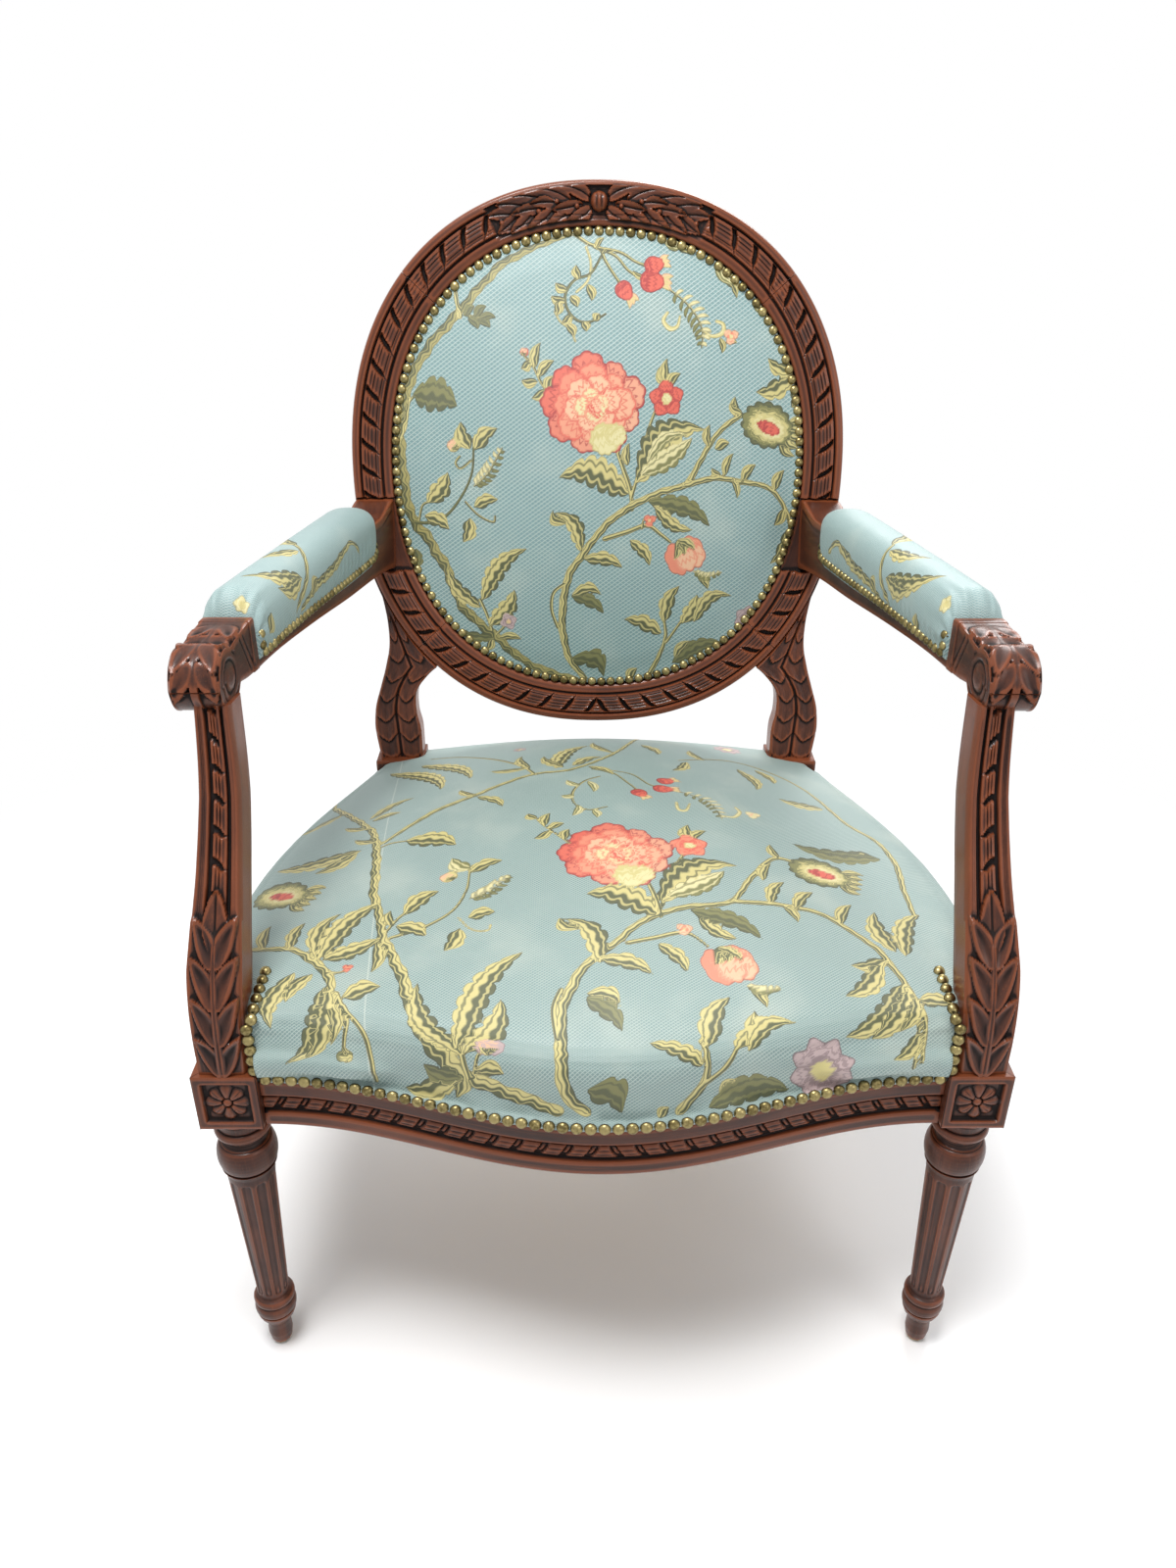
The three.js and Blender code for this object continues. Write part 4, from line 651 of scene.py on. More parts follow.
LEG_FOOT = [(3.3, 8.6), (5, 9.6), (14, 11), (24, 10.6), (30, 10.9), (34, 13), (38, 15.6), (42.6, 17.2),
            (44.5, 17.2), (45, 16.0), *bead(45.6, 57.4, 16.4, 18.7), (58, 16.2),
            *bead(58.6, 66.6, 16.2, 18.4), (67.2, 15.4), (68.4, 14.2)]
LEG_HEAD = [(227, 20.6), (229.6, 21.2), (231.2, 22.4), (232, 23.0), *bead(232.6, 259, 20.4, 25.2, 12),
            (259.6, 20.4), (260.6, 18.2), (263, 16.8), (266, 16.8), (268.4, 17.6), (269, 20),
            *bead(269.6, 278.6, 20.2, 23.6), (279.4, 20.6), (286.6, 21.4), (291, 24.6), (292.4, 25)]


def turned_leg(fluted, rake=0.0):
    """A turned leg about x = 0, y = 0, leaning back by rake at its foot."""
    shaft = [(z, 14 + (z - 67) / 148 * 5.9) for z in np.linspace(69, 226, 110 if fluted else 30)]
    knots = np.array(LEG_FOOT + shaft + LEG_HEAD, float)
    z = np.unique(np.concatenate([knots[:, 0], np.arange(knots[0, 0], knots[-1, 0], 1.3)]))
    radius = np.interp(z, *knots.T)[:, None]
    z = z[:, None]
    turns = 150 if fluted else 72
    angle = np.arange(turns) / turns * 2 * np.pi
    reach = radius * np.ones(turns)
    if fluted:
        pitch = 2 * np.pi / 10
        arc = ((angle + np.pi / 2 + pitch / 2) % pitch - pitch / 2) * radius
        half = radius * 0.205
        past = np.maximum(z - 216, 0) + np.maximum(77 - z, 0)  # beyond the flute's straight length
        flute = np.sqrt(np.clip(1 - (arc / half) ** 4 - (past / half) ** 2, 0, 1))
        bud = ridge(arc, 0, 1.7) * ridge(z, 79, 5) * (z > 70)
        reach = reach - 1.5 * flute + 1.2 * bud * (flute > 0)
    y = np.sin(angle) * reach + rake * (1 - z / BLOCK_BOTTOM)
    return timber(np.stack([np.cos(angle) * reach, y, z * np.ones(turns)], -1))


def rosette(x, z):
    """Relief of a round flower with eight petals over its ground."""
    r = np.hypot(x, z)
    angle = np.arctan2(z, x)
    petal = np.abs(np.cos(4 * angle))
    reach = 12.8 + 4.6 * petal**0.6 * np.where(np.abs(np.cos(2 * angle)) > 0.7, 1.0, 0.75)
    body = dome(r - reach / 2, 1, reach / 2) * petal**0.35
    split = ridge(np.sin(4 * angle) * r / 4.0, 0, 0.32) * (r > 6) * (petal > 0.5)
    flower = 3.3 * body - 0.7 * split * body
    return np.where(r < 4.8, 4.2 * dome(r, 0, 4.2), flower * (r < reach + 1))


def block(width, depth, low, high, carved):
    """A square leg block. carved names the outer faces, as (axis, sign), that hold a sunk flower."""
    z = np.concatenate([[low, low + 0.4], np.linspace(low + 1.2, high - 1.2, 64), [high - 0.4, high]])
    corners = np.array([(-1, -1), (1, -1), (1, 1), (-1, 1)]) * (width / 2, depth / 2)
    ring, normals, offsets, is_carved = [], [], [], []
    for start, end in zip(corners, np.roll(corners, -1, 0)):
        length = np.linalg.norm(end - start)
        run = (end - start) / length
        out = np.array([run[1], -run[0]])
        axis = np.argmax(np.abs(out))
        for p in [0.3, *np.linspace(1.2, length - 1.2, 56), length - 0.3]:
            ring.append(start + run * p)
            normals.append(out)
            offsets.append(p - length / 2)
            is_carved.append((axis, np.sign(out[axis])) in carved)
    ring, normals, offsets, is_carved = map(np.array, (ring, normals, offsets, is_carved))
    z = z[:, None] * np.ones(len(ring))
    upwards = z - (low + high) / 2
    border = np.minimum(width / 2 - np.abs(offsets), (high - low) / 2 - np.abs(upwards))
    sunk = -4.0 * soft_step(7.0, 8.2, border) + 0.5 * ridge(border, 8.6, 0.5)
    sunk = sunk + np.where(border > 8, rosette(offsets, upwards), 0)
    out = np.where(is_carved, sunk, 0) - 0.7 * ridge(border, 0, 0.8)
    return timber(np.stack([ring[:, 0] + normals[:, 0] * out, ring[:, 1] + normals[:, 1] * out, z], -1))


def moved(body, x=0.0, y=0.0, z=0.0):
    points, faces, grain = body
    return points + np.array([x, y, z]), faces, grain


def front_leg(side):
    leg = turned_leg(True)
    top = block(52, 52, BLOCK_BOTTOM, FRONT_BLOCK_TOP, [(1, -1), (0, side)])
    return moved(join(leg, top), x=side * FRONT_LEG)


# ---- oval back
HALF_WIDTH, HALF_HEIGHT, OVAL_CENTRE, FULLNESS = 259.5, 276.7, 318, 2.215
TILT = math.radians(9.5)
LEDGE, REAR_LEDGE = 4.92, -12


def on_back(x, up, forwards):
    """Points of the back's own plane: across, up along it and forwards out of it."""
    y, z = -forwards, up
    x, y, z = np.broadcast_arrays(x, FRAME_DEPTH + y * math.cos(TILT) + z * math.sin(TILT),
                                  REAR_BLOCK_TOP - y * math.sin(TILT) + z * math.cos(TILT))
    return np.stack([x, y, z], -1)


def oval(angle, inwards):
    """Across and up of the oval's outer edge, or of a line inwards from it, by the angle from the top."""
    def full(share):
        return np.sign(share) * np.abs(share) ** (2 / FULLNESS)
    return (full(np.sin(angle)) * (HALF_WIDTH - inwards),
            OVAL_CENTRE + full(np.cos(angle)) * (HALF_HEIGHT - inwards))


def oval_table(inwards=0.0):
    """Angles from the top to the bottom, and how far along the oval's edge each one lies."""
    angle = np.linspace(0, np.pi, 6001)
    x, z = oval(angle, inwards)
    return angle, distances(np.hypot(np.diff(x), np.diff(z)))


EDGE_ANGLES, EDGE_RUNS = oval_table()


def oval_angles(start, end, step):
    """Evenly spaced angles between two, in degrees from the top, with their signed distances."""
    low, high = (math.copysign(np.interp(abs(math.radians(a)), EDGE_ANGLES, EDGE_RUNS), a) if abs(a) <= 180
                 else 2 * EDGE_RUNS[-1] - np.interp(math.radians(360 - a), EDGE_ANGLES, EDGE_RUNS)
                 for a in (start, end))
    runs = np.linspace(low, high, int(abs(high - low) / step) + 1)
    folded = np.where(np.abs(runs) > EDGE_RUNS[-1], 2 * EDGE_RUNS[-1] - np.abs(runs), np.abs(runs))
    angles = np.interp(folded, EDGE_RUNS, EDGE_ANGLES)
    signs = np.where(np.abs(runs) > EDGE_RUNS[-1], -np.sign(runs), np.sign(runs))
    return angles * np.where(signs == 0, 1, signs), folded * np.where(signs == 0, 1, signs)


def pointed_leaf(x, y, base, tip, half, lift, bow=0.0, dished=False):
    """A smooth pointed leaf that rises to its edges and tip, with a cut midrib or a dished middle."""
    run = np.subtract(tip, base)
    length = np.hypot(*run)
    t = ((x - base[0]) * run[0] + (y - base[1]) * run[1]) / length**2
    off = ((y - base[1]) * run[0] - (x - base[0]) * run[1]) / length
    inside = (t > 0) & (t < 1)
    t = np.clip(t, 0, 1)
    off = off + bow * 4 * t * (1 - t)
    width = half * (np.sin(np.pi * t**0.8) ** 0.75 + 0.12 * (1 - t))
    share = off / np.maximum(width, 0.01)
    if dished:
        hollow = np.sin(np.pi * t) * (1 - np.minimum(share**2, 1)) ** 1.5
        height = lift * (0.7 + 0.35 * t) * (1 - 0.8 * hollow) * (1 - 0.8 * np.minimum(share**2, 1) ** 3)
    else:
        height = lift * (0.45 + 0.6 * t) * (0.62 + 0.25 * np.abs(share) - 0.3 * share)
        height = height - 1.1 * ridge(off, 0, 0.8)
    return np.where(inside & (np.abs(share) < 1), np.maximum(height, 0.4), 0)


CREST_LEAVES = [  # base and tip, run out from the ball and in from the edge; half width, lift, bow
    (92, 21, 121, 13, 5.5, 4.2, 1.0), (90, 23, 117, 31, 5.5, 4.2, -1.0), (74, 20, 108, 7, 6.4, 5.0, 2.0),
    (72, 24, 104, 35, 6.4, 5.0, -2.0), (60, 22, 96, 20, 5.0, 6.2, 0.8), (52, 19, 88, 5.4, 6.8, 6.0, 2.6),
    (50, 25, 84, 37, 6.8, 6.0, -2.6), (38, 21, 74, 16, 5.6, 7.0, 1.4), (30, 19, 64, 4.4, 7.0, 6.8, 3.0),
    (30, 25, 62, 38, 7.0, 6.6, -3.0), (18, 22, 52, 25, 5.4, 7.8, -1.2), (8, 18, 40, 5.0, 7.0, 7.4, 3.0),
    (8, 26, 38, 37.5, 7.0, 7.2, -3.0)]


def crest_relief(run, w):
    """Two leafy sprigs that meet under a ribbed ball, over the ring's lowered face."""
    height = np.full_like(run, -3.6)
    x = np.abs(run)
    for base_x, base_w, tip_x, tip_w, half, lift, bow in CREST_LEAVES:
        leaf = pointed_leaf(x, w, (base_x, base_w), (tip_x, tip_w), half, lift, bow)
        height = np.where(leaf > 0, leaf, height)
    for k in range(5):
        berry = 5.6 * dome(np.hypot(x - 24 - 21 * k, w - 21 - 3.0 * (-1) ** k), 0, 2.9)
        height = np.maximum(height, berry)
    r = np.hypot(run, w - 20)
    ribs = 1.1 * np.cos(np.clip(run / 8.8, -1, 1) * 9.5)
    ball = (10.5 + ribs) * dome(r, 0, 9.6)
    return np.maximum(np.where(r < 11.5, np.minimum(height, -1.0), height), ball)


def ring_relief(run, w):
    """Forward height of the ring's moulded face, for the distance from the crest and inwards."""
    base = along([(0, 8.8), (0.5, 11.4), (1.3, 13.2), (2.6, 14.4), (5.0, 15.0), (7.6, 15.2), (8.6, 14.4),
                  (9.2, 11.2), (10.4, 11.2), (10.8, 12.0), (31.0, 12.0), (31.4, 10.8), (32.4, 10.8),
                  (33.2, 12.2), (35, 12.4), (39.5, 11.4), (41.4, 10.4), (42, 9.4)], w)
    bar = 0.4 + reeded_bars(np.abs(run), w - 20.8, 28.0, 9.8, 0.8, 5.6, (-0.62, -0.28, 0.1, 0.5, 0.74))
    plain = np.where(np.abs(w - 20.8) < 9.9, base + np.maximum(bar, -2.2), base)
    ground = np.minimum(base, 11.4)
    in_crest = 1 - soft_step(116, 122, np.abs(run))
    leafy = np.where((w > 5.6) & (w < 36.5), ground + crest_relief(run, w), base)
    return plain * (1 - in_crest) + np.maximum(leafy, ground) * in_crest


ARM_REAR_TOP, ARM_REAR_BOTTOM = 657, 583
ARM_REAR_Z = (ARM_REAR_TOP + ARM_REAR_BOTTOM) / 2
HOUSING = 8  # mm; how far the housings of the arms stand forwards of the back's plane
HOUSING_UP = (ARM_REAR_Z - REAR_BLOCK_TOP - HOUSING * math.sin(TILT)) / math.cos(TILT)


def ring_stretch(start, end, step, housed=False):
    """A stretch of the moulded ring between two angles, in degrees from the top."""
    angles, runs = oval_angles(start, end, step)
    w_face = np.concatenate([np.linspace(0, 10.5, 13), np.linspace(11, 31, 24), np.linspace(31.5, 42, 11)])
    rest_w = np.array([42, 46, 52, 62, 62, 62, 52, 42, 42, 34, 20, 8, 3.4, 1.0, 0, 0, 0])
    rest_f = np.array([*[LEDGE] * 4, -4, *[REAR_LEDGE] * 3, *[-16] * 5, -14.6, -12.8, -5, 3])
    face = ring_relief(runs[:, None], w_face[None])
    w = np.tile(np.concatenate([w_face, rest_w]), (len(runs), 1))
    forwards = np.concatenate([face, np.tile(rest_f, (len(runs), 1))], 1)
    x, up = oval(angles[:, None], w)
    if housed:
        half = (ARM_REAR_TOP - ARM_REAR_BOTTOM) / math.cos(TILT) / 2 + 0.9
        forwards = np.where(np.abs(up - HOUSING_UP) < half, np.minimum(forwards, HOUSING), forwards)
    points, faces = tube(on_back(x, up, forwards))
    return points, faces, np.stack([lengthwise(runs, w), capped(w), capped(forwards)], 1)


def ring_edge(up):
    """Half width of the ring's outer edge at a height along the back."""
    rise = np.clip(np.abs(up - OVAL_CENTRE) / HALF_HEIGHT, 0, 1)
    return HALF_WIDTH * (1 - rise**FULLNESS) ** (1 / FULLNESS)


STILE_OUTER = [(0, 246.4), (26, 250.4), (41, 251), (60, 248.7), (83, 241.8), (107, 234.8), (133, 230.2),
               (171, 233.3), (214, 243.3)]
STILE_INNER = [(0, 198.6), (32, 199.4), (51, 203.3), (71, 203.3), (83, 198.6), (98, 185.6), (107, 174)]


def stile(side):
    """The carved bracket between the rear block and the ring: two rows of leaves up its front."""
    up = np.concatenate([[-6, -3], np.linspace(0, 213, 170)])
    outer = np.interp(up, *curve(STILE_OUTER, 90).T)
    inner = np.interp(up, *curve(STILE_INNER, 70).T, right=0)
    inner = np.where(up > 98, np.maximum(inner, ring_edge(up) + 0.2), inner)
    outer = np.maximum(outer, inner + 1.5)
    up, outer, inner = up[:, None], outer[:, None], inner[:, None]
    share = np.linspace(0, 1, 46)
    width = outer - inner
    thick = 15 - 5.5 * soft_step(110, 210, up)
    place = np.abs(share - 0.5) * 2  # 0 at the middle groove, 1 at the edges
    row = (place - 0.5) * 2
    phase = up / 23.0 - 0.5 * np.abs(row) ** 1.4 + 0.25
    frac = phase - np.floor(phase)
    scales = 2.3 * (1 - frac) ** 0.8 * dome(row, 0, 1.08)
    vein = 0.8 * ridge(row, 0, 0.09) * (1 - frac)
    lips = 0.5 * np.cos(np.clip(np.abs(row), 0, 1) * 2 * np.pi * 2.5) * (1 - frac)
    groove = 2.6 * ridge(place * width / 2, 0, 1.3)
    rim = 1.8 * soft_step(0.86, 0.97, place)
    front = thick - soft_step(4, 14, width) * (3.0 - scales + vein - lips * 0.4 + groove - rim)
    front = front - 2.2 * (1 - soft_step(0, 0.05, np.minimum(share, 1 - share)))
    behind = np.array([1, 1, 1, 0.8, 0.5, 0.2, 0, 0, 0])
    depth = np.array([0.45, 0, -0.75, -1, -1, -1, -0.75, 0, 0.45])
    x = outer + (inner - outer) * np.concatenate([share, behind])
    forwards = np.concatenate([front, depth * np.where(depth < 0, 15, thick)], 1)
    return timber(on_back(side * x, up * np.ones(x.shape[1]), forwards))


def rear_leg(side):
    leg = moved(turned_leg(False, 48), x=side * REAR_LEG, y=FRAME_DEPTH)
    top = moved(block(54, 44, BLOCK_BOTTOM, REAR_BLOCK_TOP, []), x=side * REAR_LEG, y=FRAME_DEPTH)
    return join(leg, top, stile(side), ring_stretch(side * 48.07, side * 131.93, 1.4, True))


# ---- arms and their posts
SCROLL_Y, SCROLL_Z, SCROLL_R = 80, 642, 24.5
COLLAR_START, COLLAR_END = 130, 139
ARM_TOP = 668
ARM_REAR_Y = FRAME_DEPTH + math.sin(TILT) * HOUSING_UP - math.cos(TILT) * HOUSING


def arm_share(y):
    """How far along an arm a place lies, from 0 at the scroll's middle to 1 at the back."""
    return np.clip((y - SCROLL_Y) / (ARM_REAR_Y - SCROLL_Y), 0, 1)


def arm_middle(y):
    """How far out an arm's middle line lies."""
    return (597 + (476 - 597) * arm_share(y) ** 1.15) / 2


def arm_bed(y):
    """Height of the wood under the pad."""
    return ARM_TOP - 14 - 7 * arm_share(y)


def arm_top_line(y):
    """Top of the arm: scroll, collar, bed under the pad and the rise at the back."""
    scroll = SCROLL_Z + np.sqrt(np.clip(SCROLL_R**2 - (y - SCROLL_Y) ** 2, 0, None))
    front = np.where(y < 92.25, scroll, along([(92.25, 663.2), (112, 666.6), (130, ARM_TOP)], y))
    collar = ARM_TOP + 0.7 * dome(y, 134.5, 5)
    bed = arm_bed(y)
    rise = bed + 10 * soft_step(ARM_REAR_Y - 42, ARM_REAR_Y - 2, y)
    return np.where(y < COLLAR_START, front, np.where(y < COLLAR_END, collar, rise))


def arm_bottom_line(y):
    """Underside of the arm: scroll, the flat over the post and the fall to the back."""
    length = ARM_REAR_Y - SCROLL_Y
    line = curve([(SCROLL_Y + s * length, 626 - f * 33) for s, f in
                  [(0.05, 0.0), (0.12, 0.02), (0.25, 0.12), (0.45, 0.4), (0.65, 0.72), (0.82, 0.93)]]
                 + [(ARM_REAR_Y - 20, 588), (ARM_REAR_Y + 8, 583)], 90)
    scroll = SCROLL_Z - np.sqrt(np.clip(SCROLL_R**2 - (y - SCROLL_Y) ** 2, 0, None))
    rest = np.where(y < 132.6, along([(101.2, 629.75), (116, 627), (132.6, 625.4)], y),
                    np.interp(y, line[:, 0], line[:, 1]))
    return np.where(y < 101.2, scroll, rest)


def scroll_leaf(x, run):
    """Acanthus relief over the scroll: run goes from the collar over the front and under."""
    height = np.full_like(run, -1.6)
    c = np.abs(x)
    for base, reach in ((66, 29), (45, 30), (24, 28), (4, 26)):
        lobe = pointed_leaf(c, run, (2.5, base), (15.5, base + reach), 7.4, 3.8, 1.2, True)
        height = np.where(lobe > 0, lobe, height)
    stem = sum(dome(c, place, 0.95) for place in (0, 2.1)) * 2.4
    height = np.where(c < 3.1, np.maximum(stem * (1 - soft_step(88, 98, run)), height), height)
    return np.where(run > 96 + c * 0.2, np.minimum(height, 0.3 + stem * 0.8), height)


def arm(side):
    """A scrolled arm, as sections that run round its top, outer side, underside and inner side."""
    angle = np.linspace(0.02, np.pi / 2, 32)
    y = np.concatenate([SCROLL_Y - SCROLL_R * np.cos(angle), np.linspace(SCROLL_Y + 1.2, 129.6, 34),
                        [129.9], np.linspace(130.2, 138.8, 9), [139.1],
                        np.linspace(140, ARM_REAR_Y, 230)])
    top, bottom = arm_top_line(y), arm_bottom_line(y)
    arc, arc_under = (distances(np.hypot(np.diff(y), np.diff(line))) for line in (top, bottom))
    collar_run = np.interp(128, y, arc)
    y, top, bottom, arc, arc_under = (row[:, None] for row in (y, top, bottom, arc, arc_under))
    half = np.where((y > COLLAR_START) & (y < COLLAR_END), 19.8, 19.0)
    half += soft_step(ARM_REAR_Y - 60, ARM_REAR_Y, y)
    tall = top - bottom
    x_top = np.concatenate([[-1, -0.985], np.linspace(-0.93, 0.93, 34), [0.985, 1]])
    x_bottom = x_top[::-1]
    level_part = np.ones(len(x_top))
    drop = np.minimum(np.array([2.6, 0.9] + [0] * 34 + [0.9, 2.6]), tall * 0.4)
    leaf = scroll_leaf(x_top * 19, (collar_run - arc) * level_part)
    under = scroll_leaf(x_bottom * 19, (collar_run + arc_under) * level_part)
    normal_y = np.clip((y - SCROLL_Y) / SCROLL_R, -1, 0)
    normal_up = np.sqrt(1 - normal_y**2)
    head = 1 - soft_step(110, 128, y)
    edge_fade = soft_step(0, 0.12, 1 - np.abs(x_top))
    lift_top = leaf * head * edge_fade
    lift_under = under * head * edge_fade[::-1] * (y < 84) * 0.8
    sides = np.linspace(0.06, 0.94, 22)
    z_side = np.where(tall < 8, top + (bottom - top) * 0.5 + (bottom - top) * 0.4 * (sides - 0.5),
                      top - 3.0 + (bottom - top + 6.0) * sides)
    y_side = y * np.ones(len(sides))
    eye_y = y - SCROLL_Y - 2
    eye = np.hypot(eye_y, z_side - SCROLL_Z)
    spiral = eye - 1.6 * np.arctan2(z_side - SCROLL_Z, eye_y) / np.pi
    carve = (-1.1 * ridge(spiral, 12.5, 1.2) + dome(eye, 0, 9.5) - 0.9 * ridge(spiral, 19.5, 0.9)
             * (y < 96)) * (tall > 8)
    slanted = y - 0.45 * (top - z_side)
    line_mark = -ridge(slanted, 108, 1.0) - ridge(slanted, 114.5, 1.0)
    fluted = -0.7 * ridge(z_side - (top - 9), 0, 1.0) * soft_step(142, 150, y)
    right_x = half + (carve + line_mark * (tall > 8) + fluted)
    xs = np.concatenate([x_top * half, right_x, x_bottom * half, -right_x[:, ::-1]], 1)
    ys = np.concatenate([y + lift_top * normal_y, y_side, y + lift_under * normal_y, y_side], 1)
    zs = np.concatenate([top - drop + lift_top * normal_up, z_side,
                         bottom + drop - lift_under * normal_up, z_side[:, ::-1]], 1)
    shear = soft_step(ARM_REAR_Y - 40, ARM_REAR_Y, y)
    ys = ys + (zs - ARM_REAR_Z) * math.tan(TILT) * shear - 0.3
    return timber(np.stack([side * (arm_middle(ys) + xs), ys, zs], -1), (1, 0, 2))


POST_BOTTOM, POST_DEPTH = 347.3, 38
POST_WIDTHS = [(0, 37.8), (0.12, 39.9), (0.28, 42), (0.36, 39.2), (0.5, 34.6), (0.7, 31), (1, 25.4)]
POST_LEAN = [(0, 0), (0.28, 0.2), (0.5, 0.6), (0.7, 0.9), (1, 1)]
POST_LINE = [(0, 0), (0.12, 0.01), (0.22, 0.07), (0.34, 0.24), (0.48, 0.48), (0.62, 0.7), (0.78, 0.88),
             (1, 1)]


def post_face(c, half, rise):
    """Relief of a post's front: c outwards from its middle, rise up from its foot."""
    share = c / half
    plain = along([(-1, -3.2), (-0.97, -1.6), (-0.9, -0.3), (-0.72, 0.1), (-0.62, -0.3), (-0.58, -1.6),
                   (-0.54, -3.6), (-0.42, -4.6), (0.31, -4.6), (0.42, -3.6), (0.46, -1.6), (0.5, -0.2),
                   (0.56, 0), (0.92, 0), (0.97, -0.8), (1, -2.2)], share)
    reeds = sum(ridge(share, place, 0.018) for place in (0.62, 0.69, 0.76, -0.655, -0.5))
    middle = c + 0.045 * half
    bar = reeded_bars(rise, -middle, 24.0, 0.335 * half, -0.5, 4.4, (-0.45, 0.05, 0.55))
    inside = np.abs(middle) < 0.335 * half
    shaft = np.where(inside, plain + 1.2 + np.maximum(bar, -1.6), plain - 0.5 * reeds)
    leaf = np.full_like(share, -2.8)
    for start in (84, 57, 29, 0):
        for sign in (-1, 1):
            lobe = pointed_leaf(sign * share * 20, rise, (2.4, start), (18.2, start + 37), 7.4, 5.4, -3.0,
                                True)
            leaf = np.where(lobe > 0, lobe - 1.2 * np.abs(share) ** 3, leaf)
    stem = 4.0 * dome(c, 0, 4.6 - 0.022 * rise) - 1.2 * ridge(c, 0, 0.7)
    leaf = np.maximum(leaf, stem * (1 - soft_step(98, 116, rise)))
    bud = pointed_leaf(c, rise, (0, 96), (0, 140), 8.8, 5.4)
    fade = soft_step(119, 125, rise + 3 * np.abs(share))
    return np.maximum(leaf * (1 - fade) + shaft * fade, np.where(bud > 0, bud - 1.2, -9))


def arm_post(side):
    """A post that rises and sweeps back to the arm, with its carved face turned to the front."""
    columns = 52  # points across the carved face
    rise_full = SCROLL_Z - POST_BOTTOM
    line = curve([(back * (SCROLL_Y + 3) - 3, POST_BOTTOM + up * rise_full) for up, back in POST_LINE], 400)
    line = line[line[:, 1] < SCROLL_Z - 14][::2]
    run = np.gradient(line, axis=0)
    run /= np.linalg.norm(run, axis=1)[:, None]
    run[0] = (0, 1)
    rise = line[:, 1] - POST_BOTTOM
    up = rise / rise_full
    half = np.interp(up, *zip(*POST_WIDTHS)) / 2
    half = np.convolve(np.pad(half, 6, mode="edge"), np.ones(13) / 13, "valid")[:, None]
    middle = (FRONT_LEG + (289.5 - FRONT_LEG) * np.interp(up, *zip(*POST_LEAN)))[:, None]
    share = np.linspace(1, -1, columns)
    c = share * half
    front = POST_DEPTH / 2 + post_face(c, half, rise[:, None] * np.ones(columns))
    front -= 3.5 * soft_step(0.8, 1.0, np.clip(-share, 0, 1)) ** 2
    back_share = np.array([-1, -1, -1, -1, -0.9, -0.5, 0, 0.5, 0.9, 1, 1, 1, 1])
    back_depth = np.array([10, 3, -6, -12.5, -16, -16, -16, -16, -16, -12.5, -6, 3, 10.0])
    x = np.concatenate([c, back_share * half], 1)
    forwards = np.concatenate([front, np.tile(back_depth, (len(up), 1))], 1)
    return timber(np.stack([side * (middle + x), line[:, :1] - forwards * run[:, 1:],
                            line[:, 1:] + forwards * run[:, :1]], -1))


wooden("front_rail_carved", front_rail(), "front_rail")
wooden("rear_rail_plain", rear_rail(), "rear_rail")
wooden("crest_rail_carved", ring_stretch(-47.93, 47.93, 1.1), "back_top_rail")
wooden("lower_back_rail_carved", ring_stretch(132.07, 227.93, 1.3), "back_bottom_rail")
for word, side in SIDES:
    wooden(f"front_leg_fluted_{word}", front_leg(side), f"front_leg_{word}")
    wooden(f"rear_leg_carved_{word}", rear_leg(side), f"rear_leg_{word}")
    wooden(f"side_rail_carved_{word}", side_rail(side), f"side_rail_{word}")
    wooden(f"arm_carved_{word}", arm(side), f"arm_{word}")
    wooden(f"arm_post_carved_{word}", arm_post(side), f"arm_post_{word}")
for name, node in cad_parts.items():
    for word, material in (("corner_block", BEECH), ("glide", GLIDE)):
        if word in name:
            node.data.materials.clear()
            node.data.materials.append(material)


# ---- woven figures
def thread(red, green, blue):
    """The colour of a thread, from the red, green and blue of a picture."""
    return np.array(paint(red, green, blue)[:3])


OLIVE, MOSS, BARK = thread(84, 88, 52), thread(128, 127, 74), thread(172, 162, 98)
STRAW, CREAM = thread(216, 203, 134), thread(232, 222, 166)
CORAL, ROSE, BLUSH = thread(226, 102, 82), thread(236, 142, 112), thread(242, 192, 154)
WINE, LILAC, DUSK = thread(180, 58, 54), thread(196, 172, 170), thread(150, 128, 128)
OUTSIDE = -4.0  # mm; the depth given to bare ground
NO_SEAM = 99.0  # mm; far from any seam
MIRROR_SUM = 1212  # pixels across of a place on one arm and its mirror place on the other


def seen_at(points):
    """Where points lie in the photograph, in its pixels."""
    away = np.asarray(points) - EYE
    deep = away @ sight
    return np.stack([PHOTO_WIDTH / 2 + FOCUS * (away @ across) / deep,
                     PHOTO_HEIGHT / 2 - FOCUS * (away @ upright) / deep], -1)


